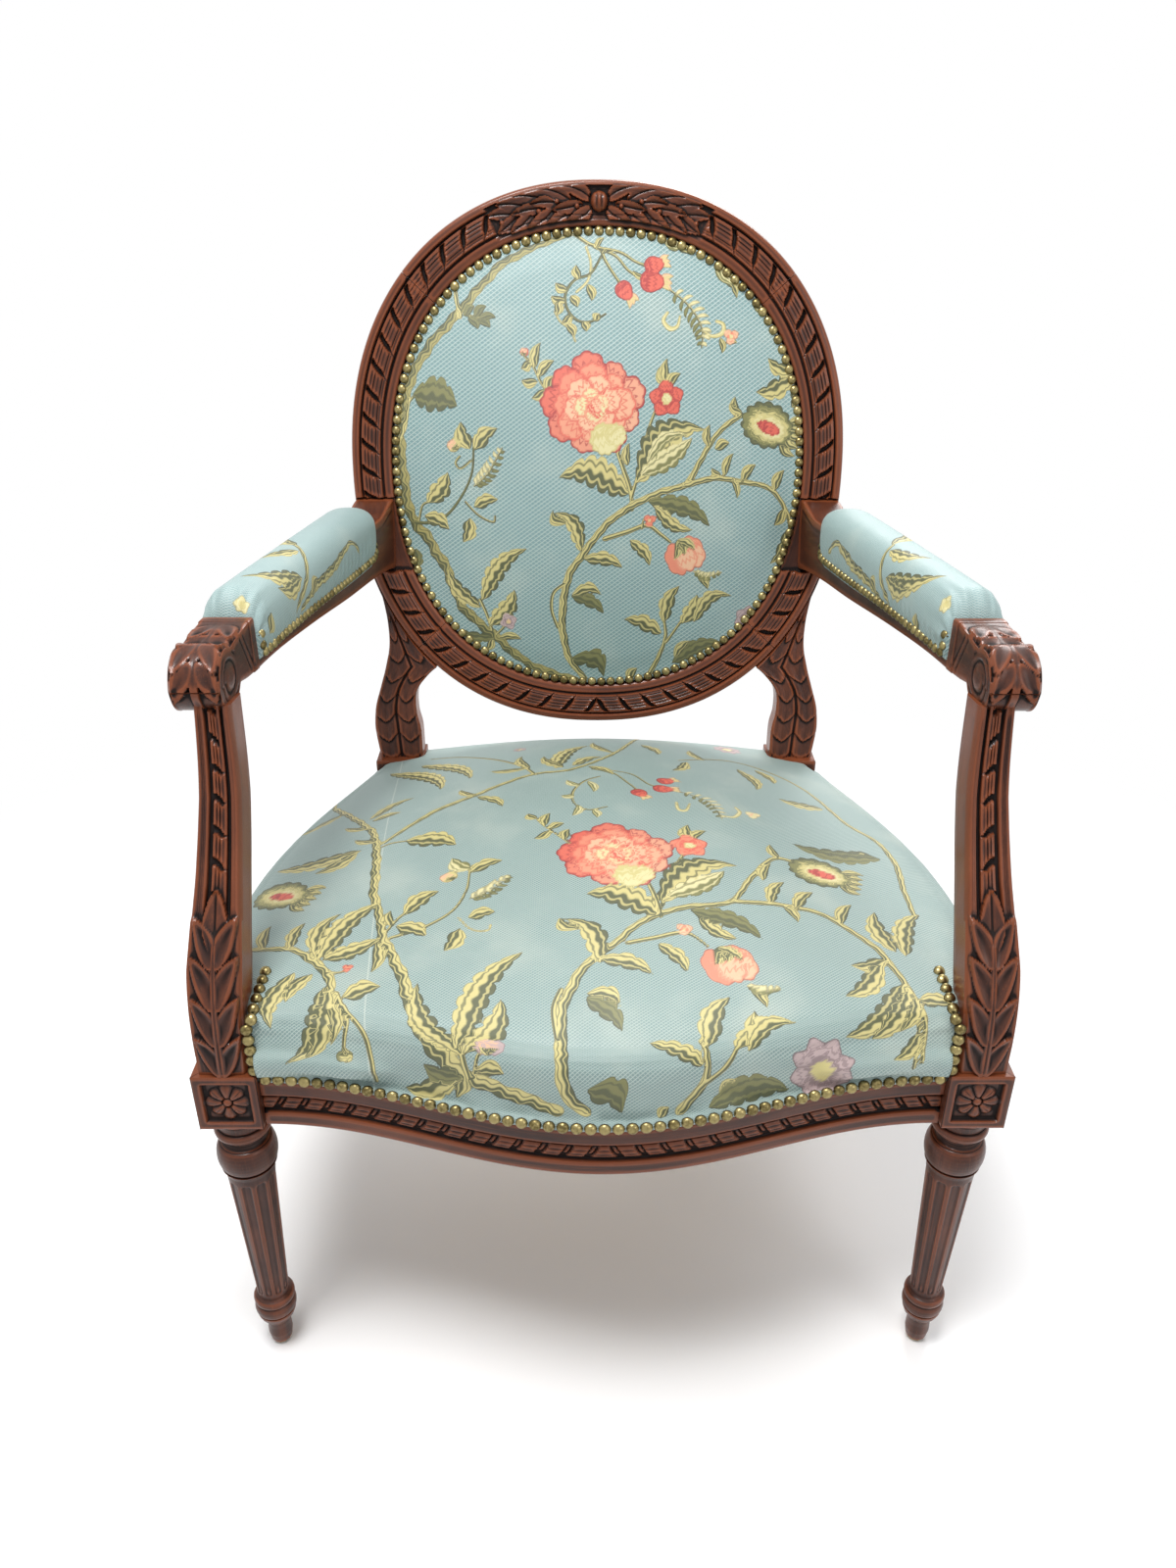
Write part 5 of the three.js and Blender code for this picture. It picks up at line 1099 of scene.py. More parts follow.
class Loom:
    """Figures woven into a cover. Places are pixels of the photograph, sizes are millimetres.

    Each point of the cover gets a light and a dark thread, a tone between them and its depth
    inside the figure, from which the finish draws clean edges.
    """

    def __init__(self, x, y, points, mirrored=False):
        self.shape = x.shape
        self.mirrored = mirrored
        self.place = np.stack([x.ravel(), y.ravel()], -1)
        self.light, self.dark = np.zeros((2, x.size, 3))
        self.tone, self.depth = np.zeros(x.size), np.full(x.size, OUTSIDE)
        down, right = np.gradient(points, axis=0), np.gradient(points, axis=1)
        facing = np.einsum("ijk,ijk->ij", np.cross(right, down), EYE - points)
        facing *= np.sign(np.median(facing))
        self.shown = np.flatnonzero(facing.ravel() > 0)
        self.pixels = seen_at(points).reshape(-1, 2)[self.shown]

    def at(self, *pixels):
        """The cover's places that are seen at some pixels."""
        found = []
        for right, down in pixels:
            pixel = (MIRROR_SUM - right, down) if self.mirrored else (right, down)
            gap = ((self.pixels - pixel) ** 2).sum(1)
            best = np.argpartition(gap, 3)[:3]
            share = 1 / (gap[best] + 0.05)
            found.append((self.place[self.shown[best]] * share[:, None]).sum(0) / share.sum())
        return np.array(found)

    def near(self, points, reach):
        """The cover's points that lie within reach of the box round some places."""
        low, high = np.min(points, 0) - reach + OUTSIDE, np.max(points, 0) + reach - OUTSIDE
        return np.flatnonzero(((self.place > low) & (self.place < high)).all(1))

    def lay(self, chosen, depth, light, dark, tone):
        """Weave one figure over the ones before it."""
        wins = (depth > 0) | (depth > self.depth[chosen])
        here = chosen[wins]
        self.light[here], self.dark[here], self.tone[here] = light, dark, tone[wins]
        self.depth[chosen] = np.maximum(self.depth[chosen], depth)

    def branch(self, pixels, widths, rough=0.0, light=STRAW, dark=OLIVE):
        """A stem: dark on one side, light on the other, with bark where it is rough."""
        line = curve(self.at(*pixels), 6 * len(pixels))
        widths = np.atleast_1d(widths).astype(float)
        chosen = self.near(line, widths.max())
        start, step = line[:-1], np.diff(line, axis=0)
        length = np.maximum((step**2).sum(1), 1e-6)
        for group in np.array_split(chosen, max(len(chosen) // 6000, 1)):
            gap = self.place[group][:, None] - start
            t = np.clip((gap * step).sum(-1) / length, 0, 1)
            distance = np.linalg.norm(gap - step * t[..., None], axis=-1)
            best, row = distance.argmin(1), np.arange(len(group))
            at = (best + t[row, best]) / len(step)
            side = np.sign(step[best, 0] * gap[row, best, 1] - step[best, 1] * gap[row, best, 0])
            run = distances(np.sqrt(length))[best] + t[row, best] * np.sqrt(length[best])
            half = np.interp(at, np.linspace(0, 1, len(widths)), widths) / 2
            knots = 0.6 * np.sin(run / 2.6 + side) + 0.7 * np.sin(run / 5.3 + 2 * side)
            half = half * (1 + rough * knots) + 0.35
            share = side * distance[row, best] / half
            bark = share + 1.2 * rough * (np.sin(run / 2.1) + np.sin(run / 4.7 + 1.0))
            self.lay(group, half - distance[row, best], light, dark, bark * np.clip(0.3 + half / 6, 0, 1))

    def leaf(self, base, tip, half, bend=0.12, light=STRAW, dark=OLIVE):
        self.leaf_between(*self.at(base, tip), half, bend, light, dark)

    def leaf_between(self, base, tip, half, bend=0.12, light=STRAW, dark=OLIVE):
        """A lobed leaf, split along a wavy rib. A half width under 0 puts its light side below."""
        turn, half = np.sign(half), abs(half)
        run = tip - base
        length = max(np.hypot(*run), 1.0)
        chosen = self.near(np.array([base, tip]), half + abs(bend) * length)
        gap = self.place[chosen] - base
        t = gap @ run / length**2
        off = (run[0] * gap[:, 1] - run[1] * gap[:, 0]) / length
        off = off - bend * length * 4 * t * (1 - t) * (0.6 + 0.8 * t)
        beyond = np.minimum(t, 1 - t) * length
        t = np.clip(t, 0, 1)
        count = max(round(length / 13), 1)
        notch = (1 - np.abs(np.sin(np.pi * t * count + 0.6 * np.sign(off)))) ** 2
        width = half * np.sin(np.pi * t**0.85) ** 0.8 * (1.08 - 0.42 * notch * (half > 5)) + 0.4
        share = turn * off / width
        wave = np.sin(2 * np.pi * t * count + 1 - 2.2 * np.abs(share))
        tone = share + 0.15 * wave * (1.2 - np.minimum(np.abs(share), 1))
        self.lay(chosen, np.minimum(width - np.abs(off), beyond + 0.6), light, dark, tone)

    def petal(self, middle, size, heart, light, dark, lobes=4, stretch=1.0, turn=None):
        """One petal, darker towards the flower's heart, with a scalloped rim."""
        away = middle - heart
        turn = math.atan2(away[1], away[0]) if turn is None else turn
        chosen = self.near(middle[None], size * max(stretch, 1) * 1.25)
        gap = self.place[chosen] - middle
        out = gap @ [math.cos(turn) / stretch, math.sin(turn) / stretch]
        over = gap @ [-math.sin(turn), math.cos(turn)]
        rho, phi = np.hypot(out, over), np.arctan2(over, out)
        edge = size * (0.94 + 0.13 * np.abs(np.cos(lobes * phi / 1.3)))
        streak = np.cos(np.arctan2(over, out + size * 1.3) * 26)
        tone = 0.2 + 1.2 * out / size + 0.22 * streak - 3 * soft_step(0.84, 0.94, rho / edge) * (size > 5)
        self.lay(chosen, edge - rho, light, dark, np.clip(tone, -1, 1))

    def way(self, pixel, towards):
        """A place, the direction from it to another and the one across."""
        here, there = self.at(pixel, towards)
        way = (there - here) / max(np.hypot(*(there - here)), 1)
        return here, way, np.array([-way[1], way[0]])

    def peony(self, pixel, radius):
        middle = self.at(pixel)[0]
        rings = [(9, 0.74, 0.34, CORAL, WINE), (8, 0.54, 0.31, ROSE, CORAL), (6, 0.34, 0.27, BLUSH, CORAL),
                 (4, 0.17, 0.2, CREAM, ROSE)]
        for k, (count, away, size, light, dark) in enumerate(rings):
            for angle in 2 * np.pi * np.arange(count) / count + 0.5 * k + 0.3:
                here = middle + radius * away * np.array([math.cos(angle) * 1.05, math.sin(angle) * 0.95])
                warm = (0.5 + 0.5 * math.cos(angle + 0.5)) * (0.75 if k < 2 else 0.3)
                scale = size * (1 + 0.16 * math.sin(5 * angle + k))
                self.petal(here, radius * scale, middle, light + (BLUSH - light) * warm, dark, 5)
        for away, tint in ((0.13, CREAM), (0.05, BLUSH)):
            here = middle + radius * np.array([away, -away])
            self.petal(here, radius * 0.15, middle, tint, CORAL, 3, turn=0.6)
        for place, size in (((0.25, -0.72), 0.3), ((0.5, -0.62), 0.22)):
            self.petal(middle + radius * np.array(place), radius * size, middle, CREAM, STRAW, 7, 1.1)

    def small_flower(self, pixel, radius, light=ROSE, dark=WINE, heart=CREAM, count=5, stretch=1.1):
        middle = self.at(pixel)[0]
        for angle in 2 * np.pi * np.arange(count) / count + 0.4:
            here = middle + radius * 0.55 * np.array([math.cos(angle), math.sin(angle)])
            self.petal(here, radius * 2.6 / (count + 1), middle, light, dark, 3, stretch)
        self.petal(middle, radius * 0.3, middle - 1, heart, STRAW, 6)

    def bud(self, pixel, towards, size, light=BLUSH, dark=CORAL):
        """A half-open flower that leans towards another pixel, in three petals and a calyx."""
        here, way, side = self.way(pixel, towards)
        for out, tint in ((-0.5, dark), (0.5, light), (0.0, light)):
            self.petal(here + side * size * out, size * 0.62, here - way * size, tint, dark, 4, 1.5,
                       math.atan2(way[1], way[0]))
        for out in (-0.6, 0.0, 0.6):
            self.leaf_between(here - way * size, here - way * size * 0.1 + side * size * out, size * 0.22)

    def pod(self, pixel, towards, size):
        here, way, side = self.way(pixel, towards)
        for out in (-0.7, 0.0, 0.7):
            start, end = here + way * size * 0.6, here + way * size * 2 + side * size * out
            self.leaf_between(start, end, size * 0.3, 0.1, BLUSH, STRAW)
        self.petal(here, size, here - way * size, CORAL, WINE, 2, 1.15)

    def pomegranate(self, pixel, towards, size):
        here, way, side = self.way(pixel, towards)
        turn = math.atan2(way[1], way[0])
        for out in (-0.8, -0.4, 0.0, 0.4, 0.8):
            start = here + way * size * 0.9 + side * size * out * 0.4
            self.leaf_between(start, here + way * size * 1.9 + side * size * out, size * 0.2, 0.2 * out)
        self.petal(here, size, here, MOSS, OLIVE, 9, 1.25, turn)
        for share, tint, dark in ((0.8, STRAW, MOSS), (0.54, CREAM, STRAW), (0.28, CORAL, WINE)):
            middle = here + (way * 0.2 - side * 0.1) * size * (1 - share)
            self.petal(middle, size * share, here, tint, dark, 8, 1.2 + 0.25 / share, turn)

    def fern(self, pixels, length, count=8, light=CREAM, dark=OLIVE):
        line = curve(self.at(*pixels), count + 2)
        self.branch(pixels, (1.6, 1.2), 0, light, dark)
        for k in range(1, count + 1):
            way = line[k + 1] - line[k - 1]
            way /= max(np.hypot(*way), 1e-6)
            side = np.array([-way[1], way[0]])
            reach = length * math.sin(math.pi * (0.18 + 0.74 * k / (count + 1)))
            for turn, tint in ((1, light), (-1, MOSS)):
                tip = line[k] + reach * (way * 0.6 + turn * side)
                self.leaf_between(line[k], tip, 1.5, 0.1 * turn, tint, tint)

    def weave(self, branches, leaves, others):
        """All figures of a cover: stems, then leaves, each by their threads, then the rest."""
        for threads, rows in branches:
            for rough, widths, *pixels in rows:
                self.branch(np.reshape(pixels, (-1, 2)), widths, rough, *threads)
        for threads, rows in leaves:
            for x, y, tip_x, tip_y, half, *bend in rows:
                self.leaf((x, y), (tip_x, tip_y), half, (bend or [0.12])[0], *threads)
        for kind, *details in others:
            kind(self, *details)
        woven = {"light": self.light, "dark": self.dark, "tone": self.tone, "depth": self.depth}
        return {name: values.reshape(*self.shape, -1) for name, values in woven.items()}


BACK_STEMS = [((BARK, OLIVE), [(0.24, (3, 7, 8, 9, 9, 10, 11, 10, 8), 590, 237, 560, 246, 533, 258, 512, 270,
    495, 287, 467, 320, 447, 342, 429, 367, 417, 394, 409, 430, 409, 460, 414, 500, 420, 527, 437, 550, 457,
    583, 473, 620, 503, 647, 540, 677, 587, 694)]), ((STRAW, OLIVE), [(0.2, (1.5, 6, 2), 418, 405, 413, 432,
    407, 452), (0.2, (5, 3), 470, 322, 466, 308, 465, 298), (0, 2, 474, 321, 496, 326), (0, 2, 418, 410, 424,
    402), (0, (3, 2.2), 585, 238, 600, 248, 612, 253, 618, 266, 628, 282, 635, 291), (0, 2.2, 606, 252, 628,
    261, 641, 276, 656, 285), (0, 2.2, 606, 252, 632, 257, 648, 267, 661, 272), (0, 2, 566, 408, 553, 392,
    544, 374, 536, 364), (0, (3, 4.5, 3), 645, 520, 643, 500, 636, 478, 630, 462), (0, (3, 2.4), 644, 508,
    655, 470, 661, 442, 668, 420), (0.12, (6, 8, 8, 7, 7, 6, 5, 5), 597, 692, 581, 672, 574, 642, 575, 613,
    581, 587, 597, 563, 617, 537, 640, 519, 672, 503, 700, 494, 713, 473, 722, 458, 736, 438, 756, 424),
    (0.12, (6, 5, 4, 3), 700, 495, 730, 488, 757, 492, 783, 497, 799, 515, 806, 541, 797, 573, 783, 602), (0,
    (1.8, 2.6, 1.5), 797, 352, 805, 372, 813, 386, 812, 420), (0, (5, 4, 2.5), 617, 550, 640, 543, 660, 536,
    674, 545, 684, 553), (0, 3, 576, 596, 565, 605, 563, 622, 569, 640), (0, 1.6, 655, 540, 657, 530, 663,
    533), (0.1, (6, 4, 2.5), 660, 693, 672, 670, 679, 650, 678, 634), (0, 2.6, 680, 655, 690, 641, 698, 630),
    (0, 2, 428, 530, 431, 516, 437, 512), (0, 2, 480, 470, 470, 478, 465, 472, 469, 466), (0, 1.8, 475, 512,
    488, 526, 503, 533, 505, 527), (0, 3, 502, 642, 496, 625, 490, 612), (0, 2.2, 507, 647, 513, 641, 516,
    636)]), ((CREAM, STRAW), [(0, 2, 598, 252, 603, 268, 600, 286, 588, 298), (0, 1.8, 566, 318, 572, 328,
    582, 336, 587, 348), (0, (1.6, 4.4, 2.4), 694, 323, 691, 333, 683, 335, 677, 327, 681, 319), (0, (1.6,
    4.4, 2.4), 718, 338, 727, 343, 737, 340, 738, 331, 731, 328)]), ((MOSS, OLIVE), [(0, (1.8, 2.4, 2.4, 1.4),
    613, 262, 603, 279, 586, 286, 577, 300, 579, 316, 590, 327, 604, 328, 618, 320), (0, (3, 2.2, 1.6), 424,
    533, 440, 533, 457, 525, 473, 503, 482, 480, 483, 452)])]
BACK_LEAVES = [((MOSS, OLIVE), [(474, 321, 484, 312, 4), (478, 323, 488, 336, 4), (484, 323, 496, 312, 4),
    (488, 325, 500, 334, 4), (488, 325, 506, 324, 3.5), (422, 402, 466, 414, 17), (662, 512, 724, 537, 10),
    (583, 608, 616, 626, 7), (686, 676, 738, 657, 9), (584, 671, 616, 690, 12, 0.3), (503, 651, 470, 642, 6),
    (425, 560, 418, 582, 6)]), ((STRAW, OLIVE), [(608, 252, 616, 243, 2.6), (590, 284, 588, 271, 4.2), (578,
    297, 567, 289, 4.2), (600, 290, 604, 307, 4.2), (583, 302, 589, 313, 4.2), (577, 308, 562, 302, 4.2),
    (583, 322, 573, 330, 4.2), (596, 328, 598, 338, 4.2), (570, 308, 568, 322, 4.2), (579, 330, 586, 344,
    4.2), (607, 327, 612, 320, 4.2), (660, 285, 646, 276, 2.6), (735, 345, 737, 360, 3), (741, 349, 752, 350,
    2.4), (545, 375, 551, 350, 4.6), (549, 384, 565, 368, 4.6), (548, 390, 532, 388, 4.6), (557, 398, 565,
    384, 4.6), (557, 399, 543, 406, 4.6), (541, 371, 532, 376, 4.6), (641, 503, 571, 487, -16, -0.18), (650,
    492, 719, 438, -17, 0.22), (632, 462, 620, 440, 5), (640, 475, 642, 452, 4), (681, 394, 672, 376, 4.5),
    (681, 394, 681, 366, 4.5), (681, 394, 694, 381, 4.5), (722, 455, 724, 434, 4), (730, 458, 744, 452, 5),
    (739, 485, 748, 463, 4), (748, 489, 752, 508, 3), (757, 490, 771, 474, 5), (790, 500, 800, 480, 5), (735,
    486, 726, 478, 3), (752, 425, 750, 405, 4.5), (757, 422, 745, 412, 3.5), (800, 520, 790, 536, 5), (805,
    540, 786, 575, 7), (806, 550, 800, 580, 5), (812, 384, 772, 400, 10), (812, 380, 784, 366, 7), (813, 395,
    808, 416, 6), (678, 247, 704, 259, 6.5), (730, 268, 752, 304, 6.5), (770, 305, 790, 330, 6.5), (668, 517,
    706, 541, 7, -0.12), (643, 551, 663, 577, 6.5), (596, 570, 635, 579, 7.5), (593, 562, 566, 523, 8.5,
    -0.2), (577, 535, 564, 521, 5, 0.3), (584, 607, 614, 607, 6.5, 0.25), (712, 586, 722, 601, 4), (677, 635,
    693, 598, 8), (696, 636, 711, 607, 9, -0.1), (708, 634, 747, 608, 8, 0.25), (675, 646, 637, 632, -8.5,
    -0.1), (688, 670, 704, 654, 5), (640, 693, 650, 682, 5), (437, 513, 457, 482, 10, -0.1), (434, 526, 458,
    540, 8), (479, 458, 470, 431, 8), (484, 458, 507, 437, 8), (484, 517, 508, 510, 6.5), (480, 529, 473, 553,
    7.5), (490, 620, 458, 581, 8), (492, 612, 537, 560, 10), (500, 638, 525, 602, 10, -0.1), (510, 650, 532,
    652, 4), (503, 652, 496, 663, 4)]), ((CREAM, MOSS), [(655, 484, 706, 447, 10, -0.05), (661, 470, 700, 444,
    6, 0.2), (678, 247, 700, 245, 4.5, -0.1), (730, 268, 748, 290, 4.5, -0.1), (770, 305, 786, 316, 4.5,
    -0.1)])]
BACK_REST = [(Loom.pod, (637, 296), (645, 308), 8.5), (Loom.pod, (665, 287), (682, 289), 10.5), (Loom.pod,
    (667, 271), (682, 267), 8.5), (Loom.fern, [(684, 296), (700, 309), (711, 323), (717, 339), (716, 355)],
    11, 9), (Loom.small_flower, (746, 343), 6.5, BLUSH, ROSE, CREAM, 3), (Loom.bud, (535, 359), (536, 351),
    4), (Loom.peony, (605, 413), 47), (Loom.small_flower, (680, 407), 17.5, CORAL, WINE), (Loom.pomegranate,
    (782, 434), (803, 443), 22), (Loom.small_flower, (663, 531), 5.5, ROSE, CORAL, BLUSH, 3), (Loom.bud, (699,
    567), (706, 583), 19, BLUSH, ROSE), (Loom.fern, [(708, 583), (720, 588), (736, 584)], 5, 6, CREAM, STRAW),
    (Loom.small_flower, (762, 631), 15, LILAC, DUSK, CREAM, 6), (Loom.bud, (463, 454), (457, 446), 6.5, BLUSH,
    STRAW), (Loom.fern, [(484, 496), (499, 482), (512, 457)], 9, 8), (Loom.small_flower, (519, 634), 8.5,
    LILAC, DUSK, BLUSH, 4)]
SEAT_STEMS = [((STRAW, OLIVE), [(0.2, (4, 7, 8, 7, 9, 13, 12, 9), 341, 822, 359, 826, 373, 843, 383, 859, 384,
    887, 381, 912, 387, 934, 391, 957, 407, 990, 421, 1032, 434, 1059, 454, 1079, 476, 1098, 518, 1115, 568,
    1134), (0.15, (4, 7, 6, 5, 4), 391, 861, 418, 843, 448, 826, 484, 812, 518, 798, 546, 790, 587, 784, 628,
    768, 652, 750), (0, (3.5, 2.4), 546, 790, 532, 782, 504, 775, 468, 773, 440, 775), (0, 2.4, 390, 864, 400,
    860, 418, 858), (0, 2.4, 393, 951, 410, 935, 420, 931), (0, (3, 2.4, 1.8), 398, 957, 432, 947, 462, 929,
    476, 907, 479, 885), (0.2, (5, 6, 8, 6), 258, 970, 296, 969, 318, 980, 337, 998, 334, 1015), (0, (5, 3,
    2), 343, 1014, 354, 1040, 351, 1068, 352, 1084), (0, (4, 3.4, 3), 350, 1026, 371, 1054, 379, 1082, 384,
    1102), (0, 1.8, 335, 992, 346, 992, 354, 989), (0, 4, 478, 1100, 472, 1080, 466, 1062), (0, 2.4, 483,
    1098, 486, 1080, 492, 1072), (0.12, (8, 10, 9, 8, 6, 6, 5, 5, 4), 598, 1134, 582, 1123, 573, 1096, 573,
    1062, 573, 1034, 582, 1009, 598, 984, 628, 962, 656, 940, 697, 926, 731, 923, 750, 918, 767, 896, 789,
    876, 806, 879), (0, 3.4, 572, 1010, 564, 1030, 568, 1060), (0.12, (5, 5, 5, 6, 5, 4, 3), 750, 920, 794,
    923, 836, 932, 864, 948, 894, 968, 914, 990, 931, 1015, 944, 1040, 941, 1084), (0, 3, 925, 1009, 938,
    1046, 932, 1090), (0.12, (2, 3, 4, 6, 6, 4), 692, 776, 739, 776, 781, 787, 822, 807, 862, 840, 894, 859,
    914, 882, 922, 907, 934, 936), (0, (3, 4, 3), 675, 935, 671, 920, 662, 903, 655, 893), (0, 2.6, 676, 924,
    682, 900, 690, 882, 697, 872), (0, 2.2, 590, 866, 570, 852, 556, 842, 546, 834), (0, 2.2, 604, 785, 625,
    788, 640, 798, 650, 806), (0, 2.2, 620, 786, 645, 790, 662, 800, 672, 803), (0, (1.8, 2.6, 1.6), 612, 792,
    596, 797, 584, 808, 586, 820, 600, 826, 620, 823), (0, (4, 4, 2.5), 640, 962, 668, 957, 700, 952, 722,
    966), (0.1, (7, 5, 3), 694, 1134, 719, 1104, 722, 1076, 714, 1062), (0, 3, 722, 1104, 747, 1079, 758,
    1054)]), ((CREAM, STRAW), [(0, 1.8, 468, 936, 480, 948, 497, 950, 500, 944), (0, (1.6, 4, 2.4), 704, 820,
    700, 827, 692, 826, 690, 819), (0, (1.6, 4, 2.4), 738, 832, 748, 834, 755, 829, 750, 824)])]
SEAT_LEAVES = [((STRAW, OLIVE), [(351, 831, 305, 852, 6), (368, 868, 282, 890, 10), (364, 871, 322, 892, 8),
    (378, 836, 423, 814, 6), (380, 838, 410, 829, 5), (376, 846, 352, 845, 4), (384, 859, 362, 857, 4), (398,
    790, 450, 806, 11), (430, 782, 480, 795, 9), (487, 813, 513, 823, 6), (485, 812, 470, 806, 4), (538, 784,
    500, 787, 5), (540, 784, 532, 772, 5), (568, 784, 600, 761, 10), (575, 783, 555, 772, 6), (585, 781, 614,
    772, 7), (655, 760, 672, 770, 6), (625, 768, 605, 758, 5), (600, 782, 625, 790, 5), (415, 858, 466, 862,
    13), (412, 932, 448, 909, 9), (405, 945, 435, 955, 8), (398, 945, 399, 930, 4), (480, 890, 513, 878, 7),
    (478, 936, 506, 930, 7), (470, 948, 453, 970, 8), (323, 978, 349, 932, 8, 0.2), (326, 978, 388, 922, 11),
    (330, 979, 386, 958, 9, -0.05), (386, 962, 378, 992, 5), (268, 968, 276, 945, 5), (296, 968, 312, 942, 6),
    (300, 993, 277, 1050, 8, -0.12), (318, 994, 291, 1022, 6, -0.1), (330, 1008, 291, 1086, 10, 0.16), (336,
    1010, 313, 1080, 10), (339, 1024, 337, 1066, 5), (350, 1018, 388, 1006, 9), (470, 1076, 425, 1003, 10),
    (466, 1068, 534, 972, 12), (474, 1075, 512, 1020, 11, -0.12), (486, 1092, 514, 1096, 5), (468, 1103, 415,
    1110, 9), (474, 1100, 466, 1120, 6), (612, 982, 577, 938, 10, -0.2), (590, 948, 572, 935, 5, 0.3), (778,
    898, 786, 882, 4), (785, 921, 800, 900, 6), (812, 926, 828, 911, 6), (800, 924, 814, 941, 4), (857, 943,
    868, 924, 5), (914, 971, 893, 931, 9), (925, 975, 938, 934, 9), (905, 980, 868, 985, 7), (900, 985, 864,
    1016, 9), (922, 1005, 864, 1058, 12), (926, 1012, 890, 1060, 10), (934, 1018, 920, 1052, 6), (938, 1020,
    972, 1024, 8), (795, 876, 786, 862, 4), (940, 1055, 912, 1082, 7), (896, 878, 862, 872, 8, -0.12), (840,
    826, 794, 815, 9), (752, 785, 772, 806, 7), (770, 786, 790, 800, 6), (700, 778, 686, 786, 6), (718, 776,
    704, 766, 5), (672, 931, 598, 912, -16, -0.15), (675, 920, 752, 883, -15, 0.2), (556, 842, 562, 830, 4.6),
    (560, 845, 576, 840, 4.6), (562, 848, 545, 856, 4.6), (575, 856, 580, 846, 4.6), (547, 836, 538, 830,
    4.6), (704, 856, 694, 846, 4.5), (704, 856, 702, 842, 4.5), (704, 856, 720, 848, 4.5), (712, 934, 754,
    958, 7, -0.12), (672, 962, 701, 992, 7), (613, 978, 666, 994, 8), (766, 1008, 782, 1028, 4), (600, 1014,
    633, 1026, 7, 0.25), (722, 1068, 744, 1018, 9), (752, 1070, 769, 1032, 10, -0.1), (764, 1072, 816, 1044,
    9, 0.25), (717, 1087, 664, 1065, -9, -0.1), (735, 1118, 754, 1102, 5), (672, 1140, 682, 1130, 4)]),
    ((CREAM, MOSS), [(478, 888, 462, 876, 8), (682, 914, 738, 889, 10, -0.05), (590, 802, 578, 796, 4), (586,
    812, 572, 812, 4), (592, 822, 584, 832, 4), (600, 797, 606, 808, 4), (606, 826, 610, 834, 4)]), ((MOSS,
    OLIVE), [(470, 1100, 432, 1086, 7), (898, 877, 808, 861, 12), (706, 929, 778, 958, 10), (598, 1018, 635,
    1052, 8), (724, 1130, 805, 1112, 11), (600, 1112, 634, 1136, 13, 0.3)])]
SEAT_REST = [(Loom.pomegranate, (286, 914), (318, 917), 21), (Loom.bud, (458, 895), (448, 888), 7, BLUSH,
    STRAW), (Loom.fern, [(480, 917), (500, 908), (521, 893)], 9, 8), (Loom.bud, (352, 1078), (352, 1090), 6,
    STRAW, MOSS), (Loom.small_flower, (355, 988), 4, ROSE, WINE, CORAL, 3), (Loom.bud, (500, 1068), (504,
    1058), 10, BLUSH, LILAC), (Loom.pomegranate, (836, 890), (868, 900), 21), (Loom.small_flower, (742, 765),
    17, LILAC, DUSK, CREAM, 8, 1.5), (Loom.small_flower, (530, 765), 8, LILAC, DUSK, CREAM, 6), (Loom.peony,
    (628, 870), 46), (Loom.small_flower, (704, 863), 17, ROSE, CORAL), (Loom.pod, (652, 809), (660, 815), 8),
    (Loom.pod, (676, 805), (690, 806), 9), (Loom.pod, (679, 797), (692, 796), 8), (Loom.fern, [(694, 808),
    (716, 815), (730, 824), (736, 836)], 10, 8), (Loom.small_flower, (768, 832), 6.5, CREAM, BLUSH, CREAM, 3),
    (Loom.small_flower, (699, 948), 6, BLUSH, ROSE, CREAM, 3), (Loom.bud, (745, 984), (756, 1004), 20, BLUSH,
    ROSE), (Loom.fern, [(762, 1006), (778, 1010), (796, 1008)], 5, 6, CREAM, STRAW), (Loom.small_flower, (839,
    1092), 27, LILAC, DUSK, STRAW, 8, 1.5)]
ARM_STEMS = [((STRAW, OLIVE), [(0.18, (2.4, 4, 6, 6, 5, 4), 366, 562, 358, 554, 352, 562, 340, 580, 328, 592,
    318, 606, 308, 622), (0.15, (2.4, 5, 5, 3), 300, 556, 312, 573, 313, 593, 306, 613, 303, 624)])]
ARM_LEAVES = [((STRAW, OLIVE), [(304, 562, 262, 570, 8), (308, 590, 246, 588, 9), (307, 592, 284, 600, 6),
    (301, 556, 291, 545, 5), (277, 626, 275, 646, 6), (318, 606, 324, 590, 4)])]
ARM_REST = [(Loom.small_flower, (247, 617), 7, CREAM, STRAW, STRAW, 5)]


# ---- stuffed covers
SEAT_BOTTOM = 347.0
SEAT_DEPTH = REAR_FACE - FRONT_CORNER
SEAT_MIDDLE = FRONT_CORNER + SEAT_DEPTH / 2
SEAT_SIDE = 62  # height of the cover's side at the front
LAST_STEP = 20  # of the cloth simulation
NAIL = 4.95  # radius of a nail's head
NAIL_PITCH = 10.5
ARM_NAIL_PITCH = 8.9
NAIL_HEIGHT = 341.2  # of the rows along the rails


def seat_side_height(x, y):
    """Height of the cover's side, which falls to the rear and most at the rear corners."""
    back = np.clip((y - FRONT_CORNER) / SEAT_DEPTH, 0, 1) ** 1.5
    rear = 27 + 20 * np.cos(np.minimum(np.abs(x) / REAR_LEG, 1) * np.pi / 2)
    return SEAT_SIDE + (rear - SEAT_SIDE) * back


def seat_crown(u, v):
    """How far the seat's top swells over its sides."""
    cosines = [np.cos(np.minimum(np.abs(w) / 0.945, 1) * np.pi / 2) for w in (u, v)]
    return 42 * (cosines[0] * cosines[1]) ** 0.75


